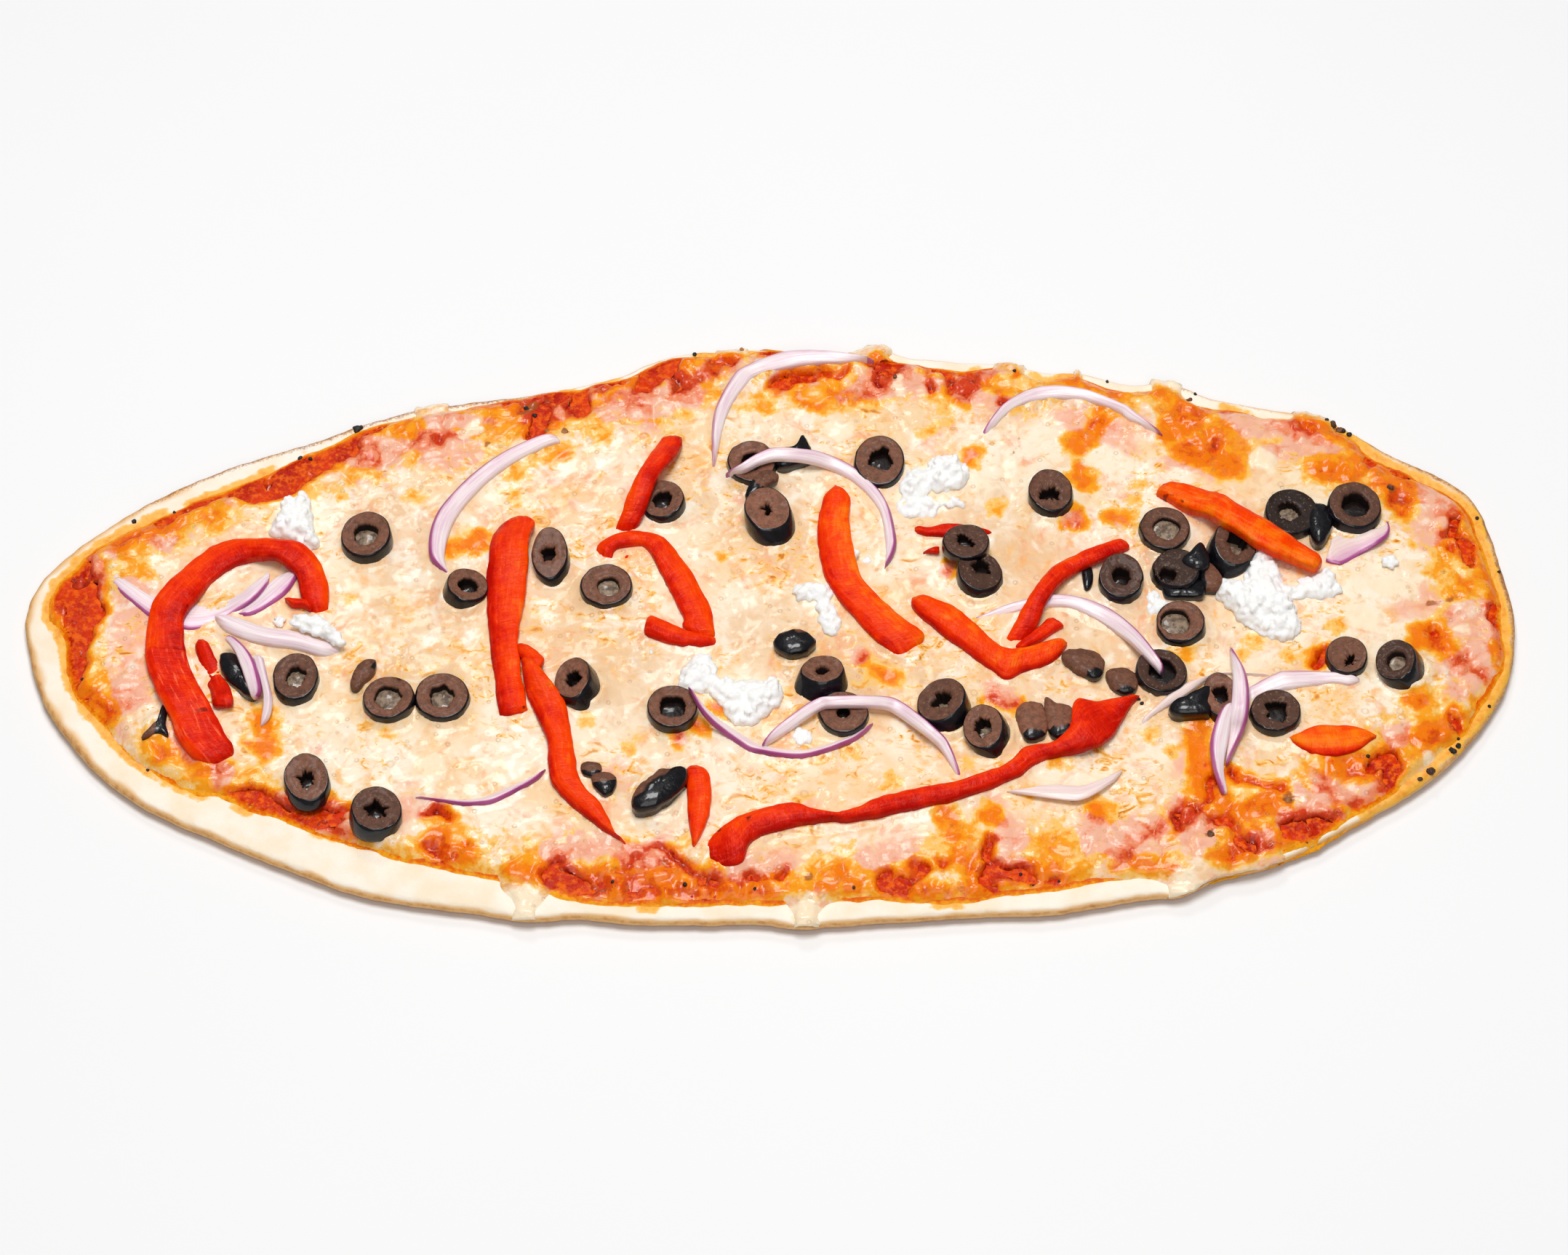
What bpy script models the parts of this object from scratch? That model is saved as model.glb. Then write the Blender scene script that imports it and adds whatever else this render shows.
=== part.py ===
"""A long oval flatbread pizza, greek style: dough, sauce and cheese with olives, peppers, onion and feta.

The plan is laid out in millimetres, +X to the right and +Y away from the front. The bread lies on z = 0.
Toppings are laid one after another on a relief map, so each rests on whatever is already under it.
"""

import math

import bmesh
import bpy
import numpy as np
from mathutils import geometry

MM = 0.001  # the layout is in millimetres, the scene in metres

# Driving heights of the layers, from the underside up.
DOUGH_TOP = 4.4
DOUGH_WAIST = 1.9
DOUGH_FOOT_INSET = 1.6
RIM_SWELL = 0.11  # how much a bare rim swells for each millimetre of its width
SAUCE_TOP = 5.3
CHEESE_TOP = 7.2
CHEESE_RELIEF = 0.35
GAP = 0.35  # clear space between touching pieces
BITE = 0.7  # how deep joined pieces sink into each other

# A thing seen from the front, 55 degrees above the table, appears further back the higher it lies.
# The layout below is read on the plane SEEN_Z, and seen_to_plan takes a point down to its true place.
SEEN_Z = 8.0
SEEN_SLOPE = 1 / math.tan(math.radians(55.0))

# The edge of the bread, clockwise from the left tip: x, y, width of bare dough before the sauce starts,
# and width before the cheese starts. Below zero the cheese has run over the edge.
EDGE = [
    (-204.6, 1, 6, 22), (-202, 12, 4.5, 19), (-195, 21.5, 4, 10), (-185, 31.3, 4, 12),
    (-170, 42.5, 6, 11), (-150, 53.1, 7, 12), (-130, 61, 2.5, 15), (-115, 67.8, 1.5, 7),
    (-100, 72.7, 3, 1.5), (-85, 75.6, 1.5, 3), (-70, 78, 1, 10), (-45, 84, 0.8, 8),
    (-35, 89.4, 0.6, 9), (-25, 93.1, 0.6, 6), (-12, 94.3, 2, 0.5), (0, 94.3, 0.5, 4),
    (12, 91.5, 0.5, 3), (22, 92.2, 1.5, 0.8), (30, 96, 3, 0), (38, 92, 2.5, 3),
    (50, 90.4, 4, 8), (66, 89.2, 2, 1), (78, 86.3, 3.5, 3), (88, 85.8, 2, 1.5),
    (101, 82.2, 3, 4), (113, 82.3, 3, 0.3), (125, 77.2, 3, 5), (140, 73.3, 2.5, 3),
    (158, 68.8, 2, 1), (175, 56.5, 4, 9), (190, 47.3, 4, 5.5), (198, 37, 4, 6),
    (203, 13, 5, 6), (204.3, 0, 5, 8), (202, -17, 3, 5), (195, -31.6, 3, 3.5),
    (183, -47, 2.5, 3), (172, -56.5, 1.5, 2), (150, -70.4, 0.7, 3), (132, -79.8, 0.7, 1.2),
    (119, -83.4, 0.9, 1), (109, -88.6, 4, -0.3), (98, -89.9, 5, 5), (75, -94.2, 5.5, 7),
    (55, -95, 3, 9), (30, -96.8, 6, 9), (17, -97.9, 6, 5), (10, -98.9, 6, -0.2),
    (3, -98.2, 6, 5), (-5, -97.2, 5, 12), (-32, -97.6, 5, 14), (-50, -95.8, 3, 13),
    (-58, -96.3, 6, 5), (-65, -96.4, 8, -0.2), (-72, -95.2, 8, 6.8), (-80, -93.8, 9, 14),
    (-105, -89.4, 12, 14), (-125, -82, 12, 17), (-150, -70.3, 10, 12), (-170, -59.5, 9, 9),
    (-185, -45.6, 9, 9), (-197, -28, 8, 12), (-203, -10, 9, 18),
]
EDGE_STEP = 10.0  # spacing of the points along the built edge
SHEET_STEP = 9.2  # spacing of the cheese relief
SHEET_SEED = 11

# The map of heights that the toppings are laid on.
MAP_CELL = 0.5
MAP_HALF_X = 212
MAP_HALF_Y = 106

OLIVE_SIDES = 11
LUMP_SIDES = 10
STRIP_STEP = 6.0
STRIP_LEAN = 0.45  # steepest rise of a strip that climbs over something
LUMP_SEED = 5


# ------------------------------------------------------------------ the toppings, in the order they are laid
# A ring of olive: x, y seen at the middle of its cut face, outer radius, hole radius, height at the middle,
# slope of the cut face towards the front and towards the right, in degrees.
# A lump: x, y, half length, half width, turn in degrees, height.
# A strip: thickness, then x, y and width along its centreline.

OLIVES = {
    "olive_left_far": [("ring", -112.2, 26.2, 7.0, 3.3, 4.6, 14, -12)],
    "olive_by_pepper": [("ring", -85.4, 8.6, 6.1, 2.9, 4.0, 4, 10)],
    "olive_long": [("ring", -61.0, 19.2, 6.0, 2.6, 4.6, 20, 0)],
    "olive_flat_centre": [("ring", -45.6, 8.4, 7.4, 3.3, 3.4, 0, 0)],
    "olive_behind_strip": [("ring", -30.2, 38.2, 6.0, 2.6, 3.8, 6, -12)],
    "olives_under_arc": [
        ("ring", -5.6, 52.0, 6.9, 3.2, 3.8, 7, 0),
        ("lump", 5.6, 52.0, 5.8, 3.6, 20, 4.2),
        ("ring", 0.3, 35.2, 7.2, 1.6, 6.0, 8, 8),
        ("lump", -2.2, 42.4, 5.6, 3.8, 80, 3.2),
    ],
    "olive_ragged": [("ring", 30.4, 52.2, 7.1, 3.8, 3.4, 8, 0)],
    "olive_slit": [("ring", 78.0, 41.8, 6.5, 1.6, 4.4, 10, 8)],
    "olives_on_strip": [
        ("ring", 53.8, 23.6, 6.3, 2.2, 3.4, 0, 0),
        ("ring", 57.6, 13.0, 6.7, 2.5, 4.2, 6, 14),
    ],
    "olives_far_right_group": [
        ("ring", 109.0, 28.2, 7.4, 2.9, 3.2, 0, 0),
        ("ring", 111.6, 16.8, 7.2, 2.4, 4.8, 6, -8),
        ("lump", 120.2, 13.2, 4.6, 4.6, 100, 4.0),
        ("ring", 127.2, 21.8, 6.6, 3.0, 4.2, 5, 4),
        ("lump", 113.6, 4.8, 6.0, 5.0, 10, 3.2),
        ("ring", 112.0, -3.6, 6.9, 3.1, 3.8, 4, -4),
    ],
    "olive_oval_right": [("ring", 96.2, 11.4, 6.2, 2.4, 4.6, 16, 0)],
    "olives_far_right_pair": [
        ("ring", 144.4, 33.4, 7.3, 2.9, 4.0, 4, 4),
        ("lump", 152.4, 28.8, 4.4, 4.8, 10, 4.2),
        ("ring", 161.8, 36.4, 7.5, 3.0, 4.8, 10, 8),
    ],
    "olive_with_onion_end": [
        ("ring", 106.0, -19.6, 7.2, 3.5, 3.6, 0, 4),
        ("lump", 95.4, -23.4, 4.8, 3.0, 0, 3.0),
        ("lump", 87.2, -19.2, 6.0, 3.4, -25, 3.4),
    ],
    "olives_centre_pair": [
        ("ring", 47.2, -30.8, 7.2, 2.6, 5.4, 6, -14),
        ("ring", 58.8, -38.2, 7.1, 2.6, 4.8, 4, -4),
        ("lump", 69.2, -36.6, 5.0, 4.4, 60, 3.4),
        ("lump", 76.8, -35.0, 4.8, 4.4, 60, 3.0),
    ],
    "olives_centre_low": [
        ("ring", 19.6, -33.2, 6.9, 1.8, 3.4, 0, 0),
        ("ring", 13.2, -20.8, 6.9, 2.2, 5.6, -10, 0),
        ("lump", 7.4, -14.0, 6.0, 5.0, -10, 4.4),
    ],
    "olive_flat_low": [("ring", -26.6, -31.2, 7.1, 3.4, 4.2, 0, 0)],
    "olive_faces_left": [("ring", -51.4, -22.6, 6.9, 2.8, 5.6, 0, -16)],
    "olive_black_half": [("lump", -29.4, -58.4, 8.4, 5.0, 42, 5.0)],
    "olives_left_pair": [
        ("ring", -88.8, -27.6, 7.7, 3.2, 3.4, 0, 0),
        ("ring", -103.1, -28.4, 7.3, 3.3, 4.0, 0, -6),
        ("lump", -110.0, -22.2, 3.5, 4.8, -12, 2.8),
    ],
    "olive_under_tangle": [("ring", -128.2, -21.4, 6.5, 2.2, 4.0, 8, 0)],
    "olive_black_sliver": [("lump", -144.2, -22.4, 8.6, 3.9, -58, 3.6)],
    "olive_low_left": [("ring", -124.0, -54.8, 6.4, 2.1, 4.4, 16, 0)],
    "olive_low_round": [("ring", -105.4, -64.6, 7.2, 2.3, 4.6, 6, 4)],
    "olives_right_wedge": [
        ("lump", 112.6, -31.8, 6.4, 4.3, 28, 4.6),
        ("ring", 121.4, -28.4, 5.6, 1.9, 4.0, 6, 0),
    ],
    "olive_low_right": [("ring", 136.0, -32.6, 7.0, 3.0, 3.4, 0, 0)],
    "olive_small_right": [("ring", 156.8, -13.6, 5.7, 1.3, 3.8, 6, 0)],
    "olive_faces_left_right": [("ring", 171.4, -16.4, 6.8, 2.6, 4.8, 0, -8)],
}

PEPPERS = {
    "pepper_loop": [
        (3.6, [(-148, -49, 8), (-151, -42, 11.5), (-156, -33, 12), (-161, -24, 11.5), (-164.6, -14, 11),
               (-165.6, -4, 10.7), (-163, 5, 9.5), (-157, 13, 8), (-149, 19, 7), (-140, 21.2, 7),
               (-132, 19.6, 8), (-126, 14, 8), (-124, 7, 8), (-125.4, 1, 7)]),
        (2.6, [(-155.6, -11, 3), (-152.4, -20, 4), (-148.6, -27, 4), (-147.4, -32, 4), (-151, -36, 4)]),
    ],
    "pepper_long_left": [
        (2.8, [(-70.5, 32, 5), (-72.5, 25, 9.5), (-73, 15, 10.5), (-73.1, 0, 10), (-72.7, -10, 9.2),
               (-72, -20, 8.8), (-70.9, -33.5, 8.2)]),
    ],
    "pepper_upright": [
        (3.2, [(-27.8, 59, 5), (-31, 52, 7.5), (-34.5, 44, 7.5), (-37, 36, 7), (-40, 28, 6)]),
    ],
    "pepper_curl": [
        (3.4, [(-45.5, 20, 5), (-43, 24.5, 6), (-36, 24.8, 6), (-30, 22.6, 7), (-25, 15, 7), (-21, 7, 7),
               (-18.4, -1, 7.4), (-18.6, -8.4, 7), (-26, -8.6, 5.4), (-31.6, -4.6, 4.4)]),
    ],
    "pepper_centre": [
        (3.0, [(18.4, 41.5, 5), (17, 33, 8.5), (17.5, 24, 9.4), (19.5, 14, 9.6), (24, 4, 10), (30, -4, 10),
               (37.6, -11.8, 8.4)]),
    ],
    "pepper_tapered": [
        (3.2, [(-65.0, -13.4, 3.6), (-64.0, -22, 6), (-60.4, -32, 6.6), (-57, -42, 6.6), (-56, -52, 6.4),
               (-53.5, -59, 6), (-48, -64, 5), (-43, -70, 4), (-40, -74, 2.6)]),
    ],
    "pepper_short_low": [
        (2.6, [(-19.3, -52, 4.4), (-18.8, -60, 6.3), (-19.5, -68, 5.6), (-20, -75.5, 2.4)]),
    ],
    "pepper_short_high": [
        (2.4, [(40.6, 27.8, 3.4), (50, 27.6, 4.5), (60.4, 27.4, 3.2)]),
    ],
    "pepper_bent_high": [
        (3.0, [(98, 21.8, 4.4), (90, 20, 5.6), (82, 15.5, 6), (77, 10, 6), (73, 4, 6), (70, -3, 6),
               (67.2, -8.4, 5)]),
    ],
    "pepper_fork": [
        (3.4, [(40.4, 4.4, 5), (44, 1, 8.4), (50, -5, 9), (55, -11, 9), (62, -16, 9), (70, -16, 8.4),
               (77, -12.6, 7), (80, -9, 5)]),
    ],
    "pepper_bulb": [
        (4.0, [(-12, -77.5, 9), (-6, -71.5, 9), (1, -68, 8), (10, -66.8, 6), (20, -67, 4.2),
               (30, -64.6, 5), (42, -60.4, 5.6), (55, -55.5, 6), (66, -49.6, 5.6), (77, -43, 8),
               (84, -38, 12), (90, -33.4, 10), (97, -29.4, 5)]),
    ],
    "pepper_orange": [
        (4.2, [(110, 41.2, 5), (118, 38.5, 8.4), (126, 35, 9), (133, 30, 9), (141, 23.5, 8.6),
               (150.4, 16, 6.4)]),
    ],
    "pepper_lens": [
        (2.4, [(140, -41.4, 2.4), (145, -42.2, 8), (151, -42.4, 10), (156, -42, 7.6), (160, -41, 2.6)]),
    ],
}

ONIONS = {
    "onion_arc_high": [
        (2.6, [(-15.8, 50, 2.4), (-15.5, 58, 3.6), (-14.5, 67, 4.4), (-11, 76, 5), (-5, 83, 5.4),
               (2, 87, 5.4), (12, 88.6, 5), (22, 88.2, 4), (29.6, 86.8, 2.4)]),
    ],
    "onion_arc_left": [
        (2.8, [(-90.2, 15.4, 3.4), (-92.6, 20, 4.6), (-93, 26, 5), (-90, 35, 5), (-84, 44.5, 5),
               (-76, 52, 5), (-68, 57.5, 5), (-60.4, 60, 4.6)]),
    ],
    "onion_arc_centre": [
        (2.4, [(-11.6, 47.6, 2.4), (-7, 51, 4), (0, 54, 5), (8, 54.5, 5), (16, 52.3, 4.8),
               (22.4, 47.6, 4.6), (28, 40.8, 4.4), (31.6, 33, 4), (33, 25, 3.6), (31.6, 15, 2)]),
    ],
    "onion_arc_right": [
        (2.8, [(60.4, 61.6, 2.4), (64, 67.5, 4.6), (70, 73, 5.8), (78, 76, 6), (86, 76.5, 6),
               (94, 74, 6), (101, 70, 5.4), (106, 65, 4), (109.6, 61, 2.4)]),
    ],
    "onion_lens_pair": [
        (2.4, [(-20.6, -29, 2.4), (-17.6, -35, 4), (-13, -40, 4.6), (-7, -44, 4.6), (0, -46.5, 4.4),
               (8, -47, 4), (16, -45.5, 3.6), (23, -42, 3), (27.2, -36.4, 2)]),
        (2.4, [(-2, -43.5, 2.4), (3, -37, 4), (10, -31.5, 5), (18, -29, 5), (27, -29, 5), (35, -32, 4.8),
               (41, -37, 4.4), (46, -44, 3.6), (49.4, -53, 2.2)]),
    ],
    "onion_through_bend": [
        (2.4, [(56, -1, 3), (60, 1, 4), (66, 3.5, 5), (72, 4.4, 5), (78, 3.5, 5.6), (86, 1.0, 6),
               (93, -3.2, 6), (99, -8.6, 5.6), (103, -14, 4.6), (105.6, -19, 3)]),
    ],
    "onion_pale_right": [
        (1.8, [(100.0, -35.0, 2.6), (103, -27.8, 3.8), (109.8, -21.2, 4.0), (118, -19.4, 4.0),
               (127, -19.4, 3.8), (136, -21.6, 3.2)]),
        (2.4, [(159.4, -23.6, 3), (150, -22.4, 4.6), (142, -21.0, 4.6), (135, -21.2, 4.2), (129.6, -23.6, 3.2)]),
    ],
    "onion_crossed_right": [
        (2.6, [(125.5, -12.6, 2.4), (127.5, -19, 5), (128, -27, 6), (127.5, -35, 6), (126, -42, 4.6),
               (122.8, -49.4, 2.4)]),
        (2.4, [(125.6, -30, 3.4), (121.4, -38, 6), (119.7, -47, 6.4), (120.8, -59, 3)]),
    ],
    "onion_thin_low": [
        (1.8, [(-94, -60.6, 1.8), (-88, -61.5, 2.6), (-80, -61.8, 3.2), (-72, -60, 3.2),
               (-65, -57, 2.8), (-61, -54, 2)]),
    ],
    "onion_tangle_front": [
        (3.0, [(-151, -4, 5), (-140, -7, 7.4), (-130, -9.5, 7.4), (-118, -13.4, 4)]),
        (2.2, [(-149.2, -6.2, 3), (-144.4, -15, 5), (-140.4, -23, 5), (-139, -27.4, 3.4)]),
        (2.0, [(-144.6, -10.2, 2.4), (-138.6, -18, 3.2), (-136.6, -25, 3.2), (-136.6, -31, 3), (-137.4, -37, 2)]),
    ],
    "onion_tangle_back": [
        (1.6, [(-180.4, 13.4, 2.4), (-175, 7, 5), (-168, 1, 6), (-158, 0.6, 6), (-150, 3, 6),
               (-143, 8, 5), (-138, 12.4, 3)]),
        (1.6, [(-145.6, 3.4, 3), (-139, 7.4, 5), (-133, 11.6, 3)]),
    ],
}

FETA = {
    "feta_spires": [(-131.6, 27.5, 7.2, 6.0, 80, 5.0), (-130.4, 35.0, 3.6, 5.2, 0, 4.4),
                    (-127.8, 22.0, 4.6, 3.6, 0, 3.6)],
    "feta_on_tangle": [(-126.0, -4.6, 6.0, 3.6, -20, 3.2), (-120.6, -9.4, 4.2, 2.8, -50, 2.6)],
    "feta_crumbly": [(47.4, 48.6, 7.0, 5.4, 10, 4.6), (41.4, 40.0, 6.2, 5.0, 0, 3.8),
                     (49.4, 37.8, 4.8, 3.4, 0, 3.0), (45.6, 33.6, 4.6, 3.2, -10, 3.4)],
    "feta_hook": [(9.8, 5.2, 4.2, 3.0, 20, 3.4), (13.4, 1.4, 4.2, 2.8, 70, 3.2),
                  (14.4, -3.2, 3.8, 2.6, 70, 2.6)],
    "feta_low": [(-19.6, -20.0, 5.2, 4.2, -30, 4.2), (-12.4, -25.4, 5.6, 4.2, -20, 4.4),
                 (-4.4, -28.6, 6.6, 6.8, 0, 4.6)],
    "feta_great": [(138.8, 10.8, 5.2, 5.4, 20, 5.4), (132.8, 3.0, 8.4, 6.4, 10, 5.8),
                   (137.6, -3.6, 6.0, 4.6, -20, 4.2), (149.6, 8.0, 6.4, 4.0, 20, 3.6),
                   (143.0, 6.0, 4.0, 3.4, 0, 3.4)],
}

# Scraps and translucent slices that have melted onto the cheese: they are one body with it.
CHEESE_LUMPS = [
    (-48.4, -52.6, 3.6, 2.8, 20, 2.4), (-44.0, -57.4, 3.0, 4.0, 15, 2.8), (-165.6, -37.6, 5.4, 2.0, 65, 2.2),
    (-22.8, 29.4, 3.0, 2.2, 35, 2.0), (87.6, 11.6, 4.4, 1.6, 80, 2.2), (21.6, -14.8, 2.6, 1.8, 0, 1.6),
    (-18.4, 42.0, 2.0, 1.6, 0, 1.0), (103.2, 2.0, 2.0, 2.8, 0, 2.2), (170.2, 17.4, 2.6, 2.4, 0, 2.2),
    (27.4, 27.0, 1.6, 1.4, 0, 1.4), (8.4, -41.0, 2.8, 1.8, -30, 1.8), (30.4, -17.8, 2.6, 2.2, 0, 1.4),
    (68.4, 57.2, 3.2, 1.6, 60, 1.2), (-178.6, -23.6, 3.0, 2.6, 0, 1.8), (-172.6, -22.4, 2.6, 2.2, 0, 1.6),
]
CHEESE_STRIPS = [
    (1.2, [(152.6, 16.4, 2.4), (160, 18.6, 5), (166, 22.6, 5.4), (169.4, 28, 4)]),
    (1.2, [(66, -58.6, 3), (74, -58.4, 5.6), (82, -58, 5.6), (88.6, -56.6, 4), (92.4, -53, 2.4)]),
]

# Which topping goes on first: what is named later lies on top of what is named earlier.
LAYING_ORDER = [
    "olive_left_far", "olive_by_pepper", "olive_long", "olive_flat_centre", "olive_behind_strip",
    "olives_under_arc", "olive_ragged", "olive_slit", "olives_far_right_group", "olives_far_right_pair",
    "olives_centre_pair", "olives_centre_low", "olive_flat_low", "olive_faces_left", "olive_black_half",
    "olives_left_pair", "olive_under_tangle", "olive_black_sliver", "olive_low_left", "olive_low_round",
    "olive_low_right", "olive_small_right", "olive_faces_left_right",
    "feta_spires", "feta_crumbly", "feta_low", "feta_great",
    "onion_tangle_back", "onion_tangle_front", "pepper_loop", "feta_on_tangle", "onion_arc_left",
    "pepper_long_left", "pepper_tapered", "pepper_upright", "pepper_curl", "onion_arc_high",
    "onion_arc_centre", "pepper_centre", "feta_hook", "pepper_short_high", "olives_on_strip",
    "onion_arc_right", "olive_oval_right", "olive_with_onion_end", "onion_through_bend",
    "pepper_bent_high", "pepper_fork", "onion_lens_pair", "pepper_short_low", "onion_thin_low",
    "olives_right_wedge", "onion_pale_right", "onion_crossed_right", "pepper_orange", "pepper_lens",
    "pepper_bulb",
]

FINISHES = {
    "dough": ((0.80, 0.58, 0.32), 0.75),
    "sauce": ((0.45, 0.05, 0.02), 0.35),
    "cheese": ((0.85, 0.68, 0.42), 0.35),
    "olive": ((0.035, 0.022, 0.018), 0.3),
    "pepper": ((0.72, 0.06, 0.01), 0.3),
    "onion": ((0.72, 0.50, 0.66), 0.35),
    "feta": ((0.93, 0.91, 0.86), 0.8),
}


# ------------------------------------------------------------------ curves
def smooth_row(rows, i, share, closed):
    """A row between rows i and i + 1, on a smooth curve through all the rows."""
    count = len(rows)

    def row(k):
        return rows[k % count] if closed else rows[min(max(k, 0), count - 1)]

    before, here, after, beyond = row(i - 1), row(i), row(i + 1), row(i + 2)
    result = []
    for p0, p1, p2, p3 in zip(before, here, after, beyond):
        bend = (2 * p0 - 5 * p1 + 4 * p2 - p3) * share + (3 * p1 - p0 - 3 * p2 + p3) * share * share
        result.append(0.5 * (2 * p1 + (p2 - p0) * share + bend * share))
    return result


def smooth_rows(rows, step, closed=False):
    """Rows about step apart along a smooth curve. The first two numbers of a row are its place."""
    spans = len(rows) if closed else len(rows) - 1
    result = []
    for i in range(spans):
        near, far = rows[i], rows[(i + 1) % len(rows)]
        parts = max(1, round(math.dist(near[:2], far[:2]) / step))
        result += [smooth_row(rows, i, k / parts, closed) for k in range(parts)]
    if not closed:
        result.append(list(rows[-1]))
    return np.array(result)


def bread_edge():
    """Points of the built edge, the unit vectors that point inwards, and the two rim widths."""
    rows = smooth_rows(EDGE, EDGE_STEP, closed=True)
    place = rows[:, :2] - edge_middle(rows)
    along = np.roll(place, -2, axis=0) - np.roll(place, 2, axis=0)
    inward = np.stack([along[:, 1], -along[:, 0]], axis=1)
    inward = np.roll(inward, 1, axis=0) + 2 * inward + np.roll(inward, -1, axis=0)
    inward /= np.linalg.norm(inward, axis=1)[:, None]
    return place, inward, rows[:, 2], rows[:, 3]


def edge_middle(rows):
    """The middle of the box round everything, which goes to the origin. Cheese may reach past the dough."""
    return (rows[:, :2].min(axis=0) + rows[:, :2].max(axis=0)) / 2


PLAN_SHIFT = -edge_middle(smooth_rows(EDGE, EDGE_STEP, closed=True))


def seen_to_plan(x, y, z):
    """The true place of a point seen at x, y on the reading plane when it is z high."""
    return x + PLAN_SHIFT[0], y + PLAN_SHIFT[1] - SEEN_SLOPE * (z - SEEN_Z)


# ------------------------------------------------------------------ the map of heights
class ReliefMap:
    """The height of whatever lies uppermost, on a square grid."""

    def __init__(self, level):
        self.xs = np.arange(-MAP_HALF_X, MAP_HALF_X, MAP_CELL)
        self.ys = np.arange(-MAP_HALF_Y, MAP_HALF_Y, MAP_CELL)
        self.height = np.full((len(self.ys), len(self.xs)), float(level))

    def at(self, x, y):
        """Heights at the cells nearest to the given places."""
        column = np.clip(np.rint((np.asarray(x) + MAP_HALF_X) / MAP_CELL), 0, len(self.xs) - 1)
        row = np.clip(np.rint((np.asarray(y) + MAP_HALF_Y) / MAP_CELL), 0, len(self.ys) - 1)
        return self.height[row.astype(int), column.astype(int)]

    def stamp(self, points, triangles):
        """Raises the map to the top of a mesh, and to a cell beyond its outline."""
        layer = np.full(self.height.shape, -np.inf)
        for corners in points[triangles]:
            self.stamp_triangle(layer, corners)
        grown = layer.copy()
        for axis in (0, 1):
            for shift in (-1, 1):
                grown = np.maximum(grown, np.roll(layer, shift, axis=axis))
        self.height = np.maximum(self.height, grown)

    def stamp_triangle(self, layer, corners):
        """Raises the cells under one triangle."""
        low = corners.min(axis=0)
        high = corners.max(axis=0)
        columns = np.where((self.xs >= low[0] - MAP_CELL) & (self.xs <= high[0] + MAP_CELL))[0]
        rows = np.where((self.ys >= low[1] - MAP_CELL) & (self.ys <= high[1] + MAP_CELL))[0]
        if not len(columns) or not len(rows):
            return
        x, y = np.meshgrid(self.xs[columns], self.ys[rows])
        (ax, ay, az), (bx, by, bz), (cx, cy, cz) = corners
        area = (bx - ax) * (cy - ay) - (cx - ax) * (by - ay)
        if abs(area) < 1e-6:
            return
        b_share = ((x - ax) * (cy - ay) - (cx - ax) * (y - ay)) / area
        c_share = ((bx - ax) * (y - ay) - (x - ax) * (by - ay)) / area
        inside = (b_share >= -0.02) & (c_share >= -0.02) & (b_share + c_share <= 1.02)
        z = az + b_share * (bz - az) + c_share * (cz - az)
        block = np.ix_(rows, columns)
        layer[block] = np.maximum(layer[block], np.where(inside, z, -np.inf))


def base_over(footprint, others, own):
    """The lowest base clear of other pieces at these places, sunk a little into the piece's own parts."""
    x, y = footprint
    heights = others.at(x, y) + GAP
    joined = own.at(x, y)
    return np.where(joined > 0, np.maximum(heights, joined - BITE), heights)


# ------------------------------------------------------------------ meshes
def ring_mesh(x, y, radius, hole, height, pitch, roll, relief):
    """A slice of olive: flat underneath, barrel-shaped skin, a cut face that may slope, a stone hole."""
    slope_x = math.tan(math.radians(roll))
    slope_y = math.tan(math.radians(pitch))
    turns = np.arange(OLIVE_SIDES) * 2 * math.pi / OLIVE_SIDES
    spots = np.array([(math.cos(a) * r, math.sin(a) * r) for a in turns for r in (0.5 * radius, radius)])
    face_z = SEEN_Z + 3
    for _ in range(3):
        px, py = seen_to_plan(x, y, face_z)
        base = relief.at(px + spots[:, 0], py + spots[:, 1]).max() + GAP
        face_z = base + height
    profile = [(hole, 0), (0.9 * radius, 0), (radius, 0.45), (0.92 * radius, 1), (hole, 1)]
    points = []
    for a in turns:
        for r, share in profile:
            dx, dy = r * math.cos(a), r * math.sin(a)
            lift = height - slope_x * dx + slope_y * dy
            points.append((px + dx, py + dy, base + share * max(lift, 0.35 * height)))
    sides = len(profile)
    faces = []
    for i in range(OLIVE_SIDES):
        j = (i + 1) % OLIVE_SIDES
        for k in range(sides):
            m = (k + 1) % sides
            faces.append((i * sides + k, j * sides + k, j * sides + m, i * sides + m))
    return points, faces


def lump_mesh(x, y, half_length, half_width, turn, height, base, rng, sides=LUMP_SIDES):
    """An uneven dome with a flat foot."""
    angle = math.radians(turn)
    swell = 1 + 0.10 * rng.standard_normal(sides)
    points = []
    for level, reach in ((0.0, 0.9), (0.38, 1.0), (0.82, 0.62)):
        for i in range(sides):
            a = 2 * math.pi * i / sides
            u = half_length * reach * swell[i] * math.cos(a)
            v = half_width * reach * swell[i] * math.sin(a)
            bump = 0 if level == 0 else 0.07 * height * rng.standard_normal()
            points.append((
                x + u * math.cos(angle) - v * math.sin(angle),
                y + u * math.sin(angle) + v * math.cos(angle),
                base + height * level + bump,
            ))
    points.append((x, y, base + height))
    faces = [tuple(range(sides - 1, -1, -1))]
    for level in range(2):
        for i in range(sides):
            j = (i + 1) % sides
            low, high = level * sides, (level + 1) * sides
            faces.append((low + i, low + j, high + j, high + i))
    top = 2 * sides
    faces += [(top + i, top + (i + 1) % sides, 3 * sides) for i in range(sides)]
    return points, faces


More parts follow.
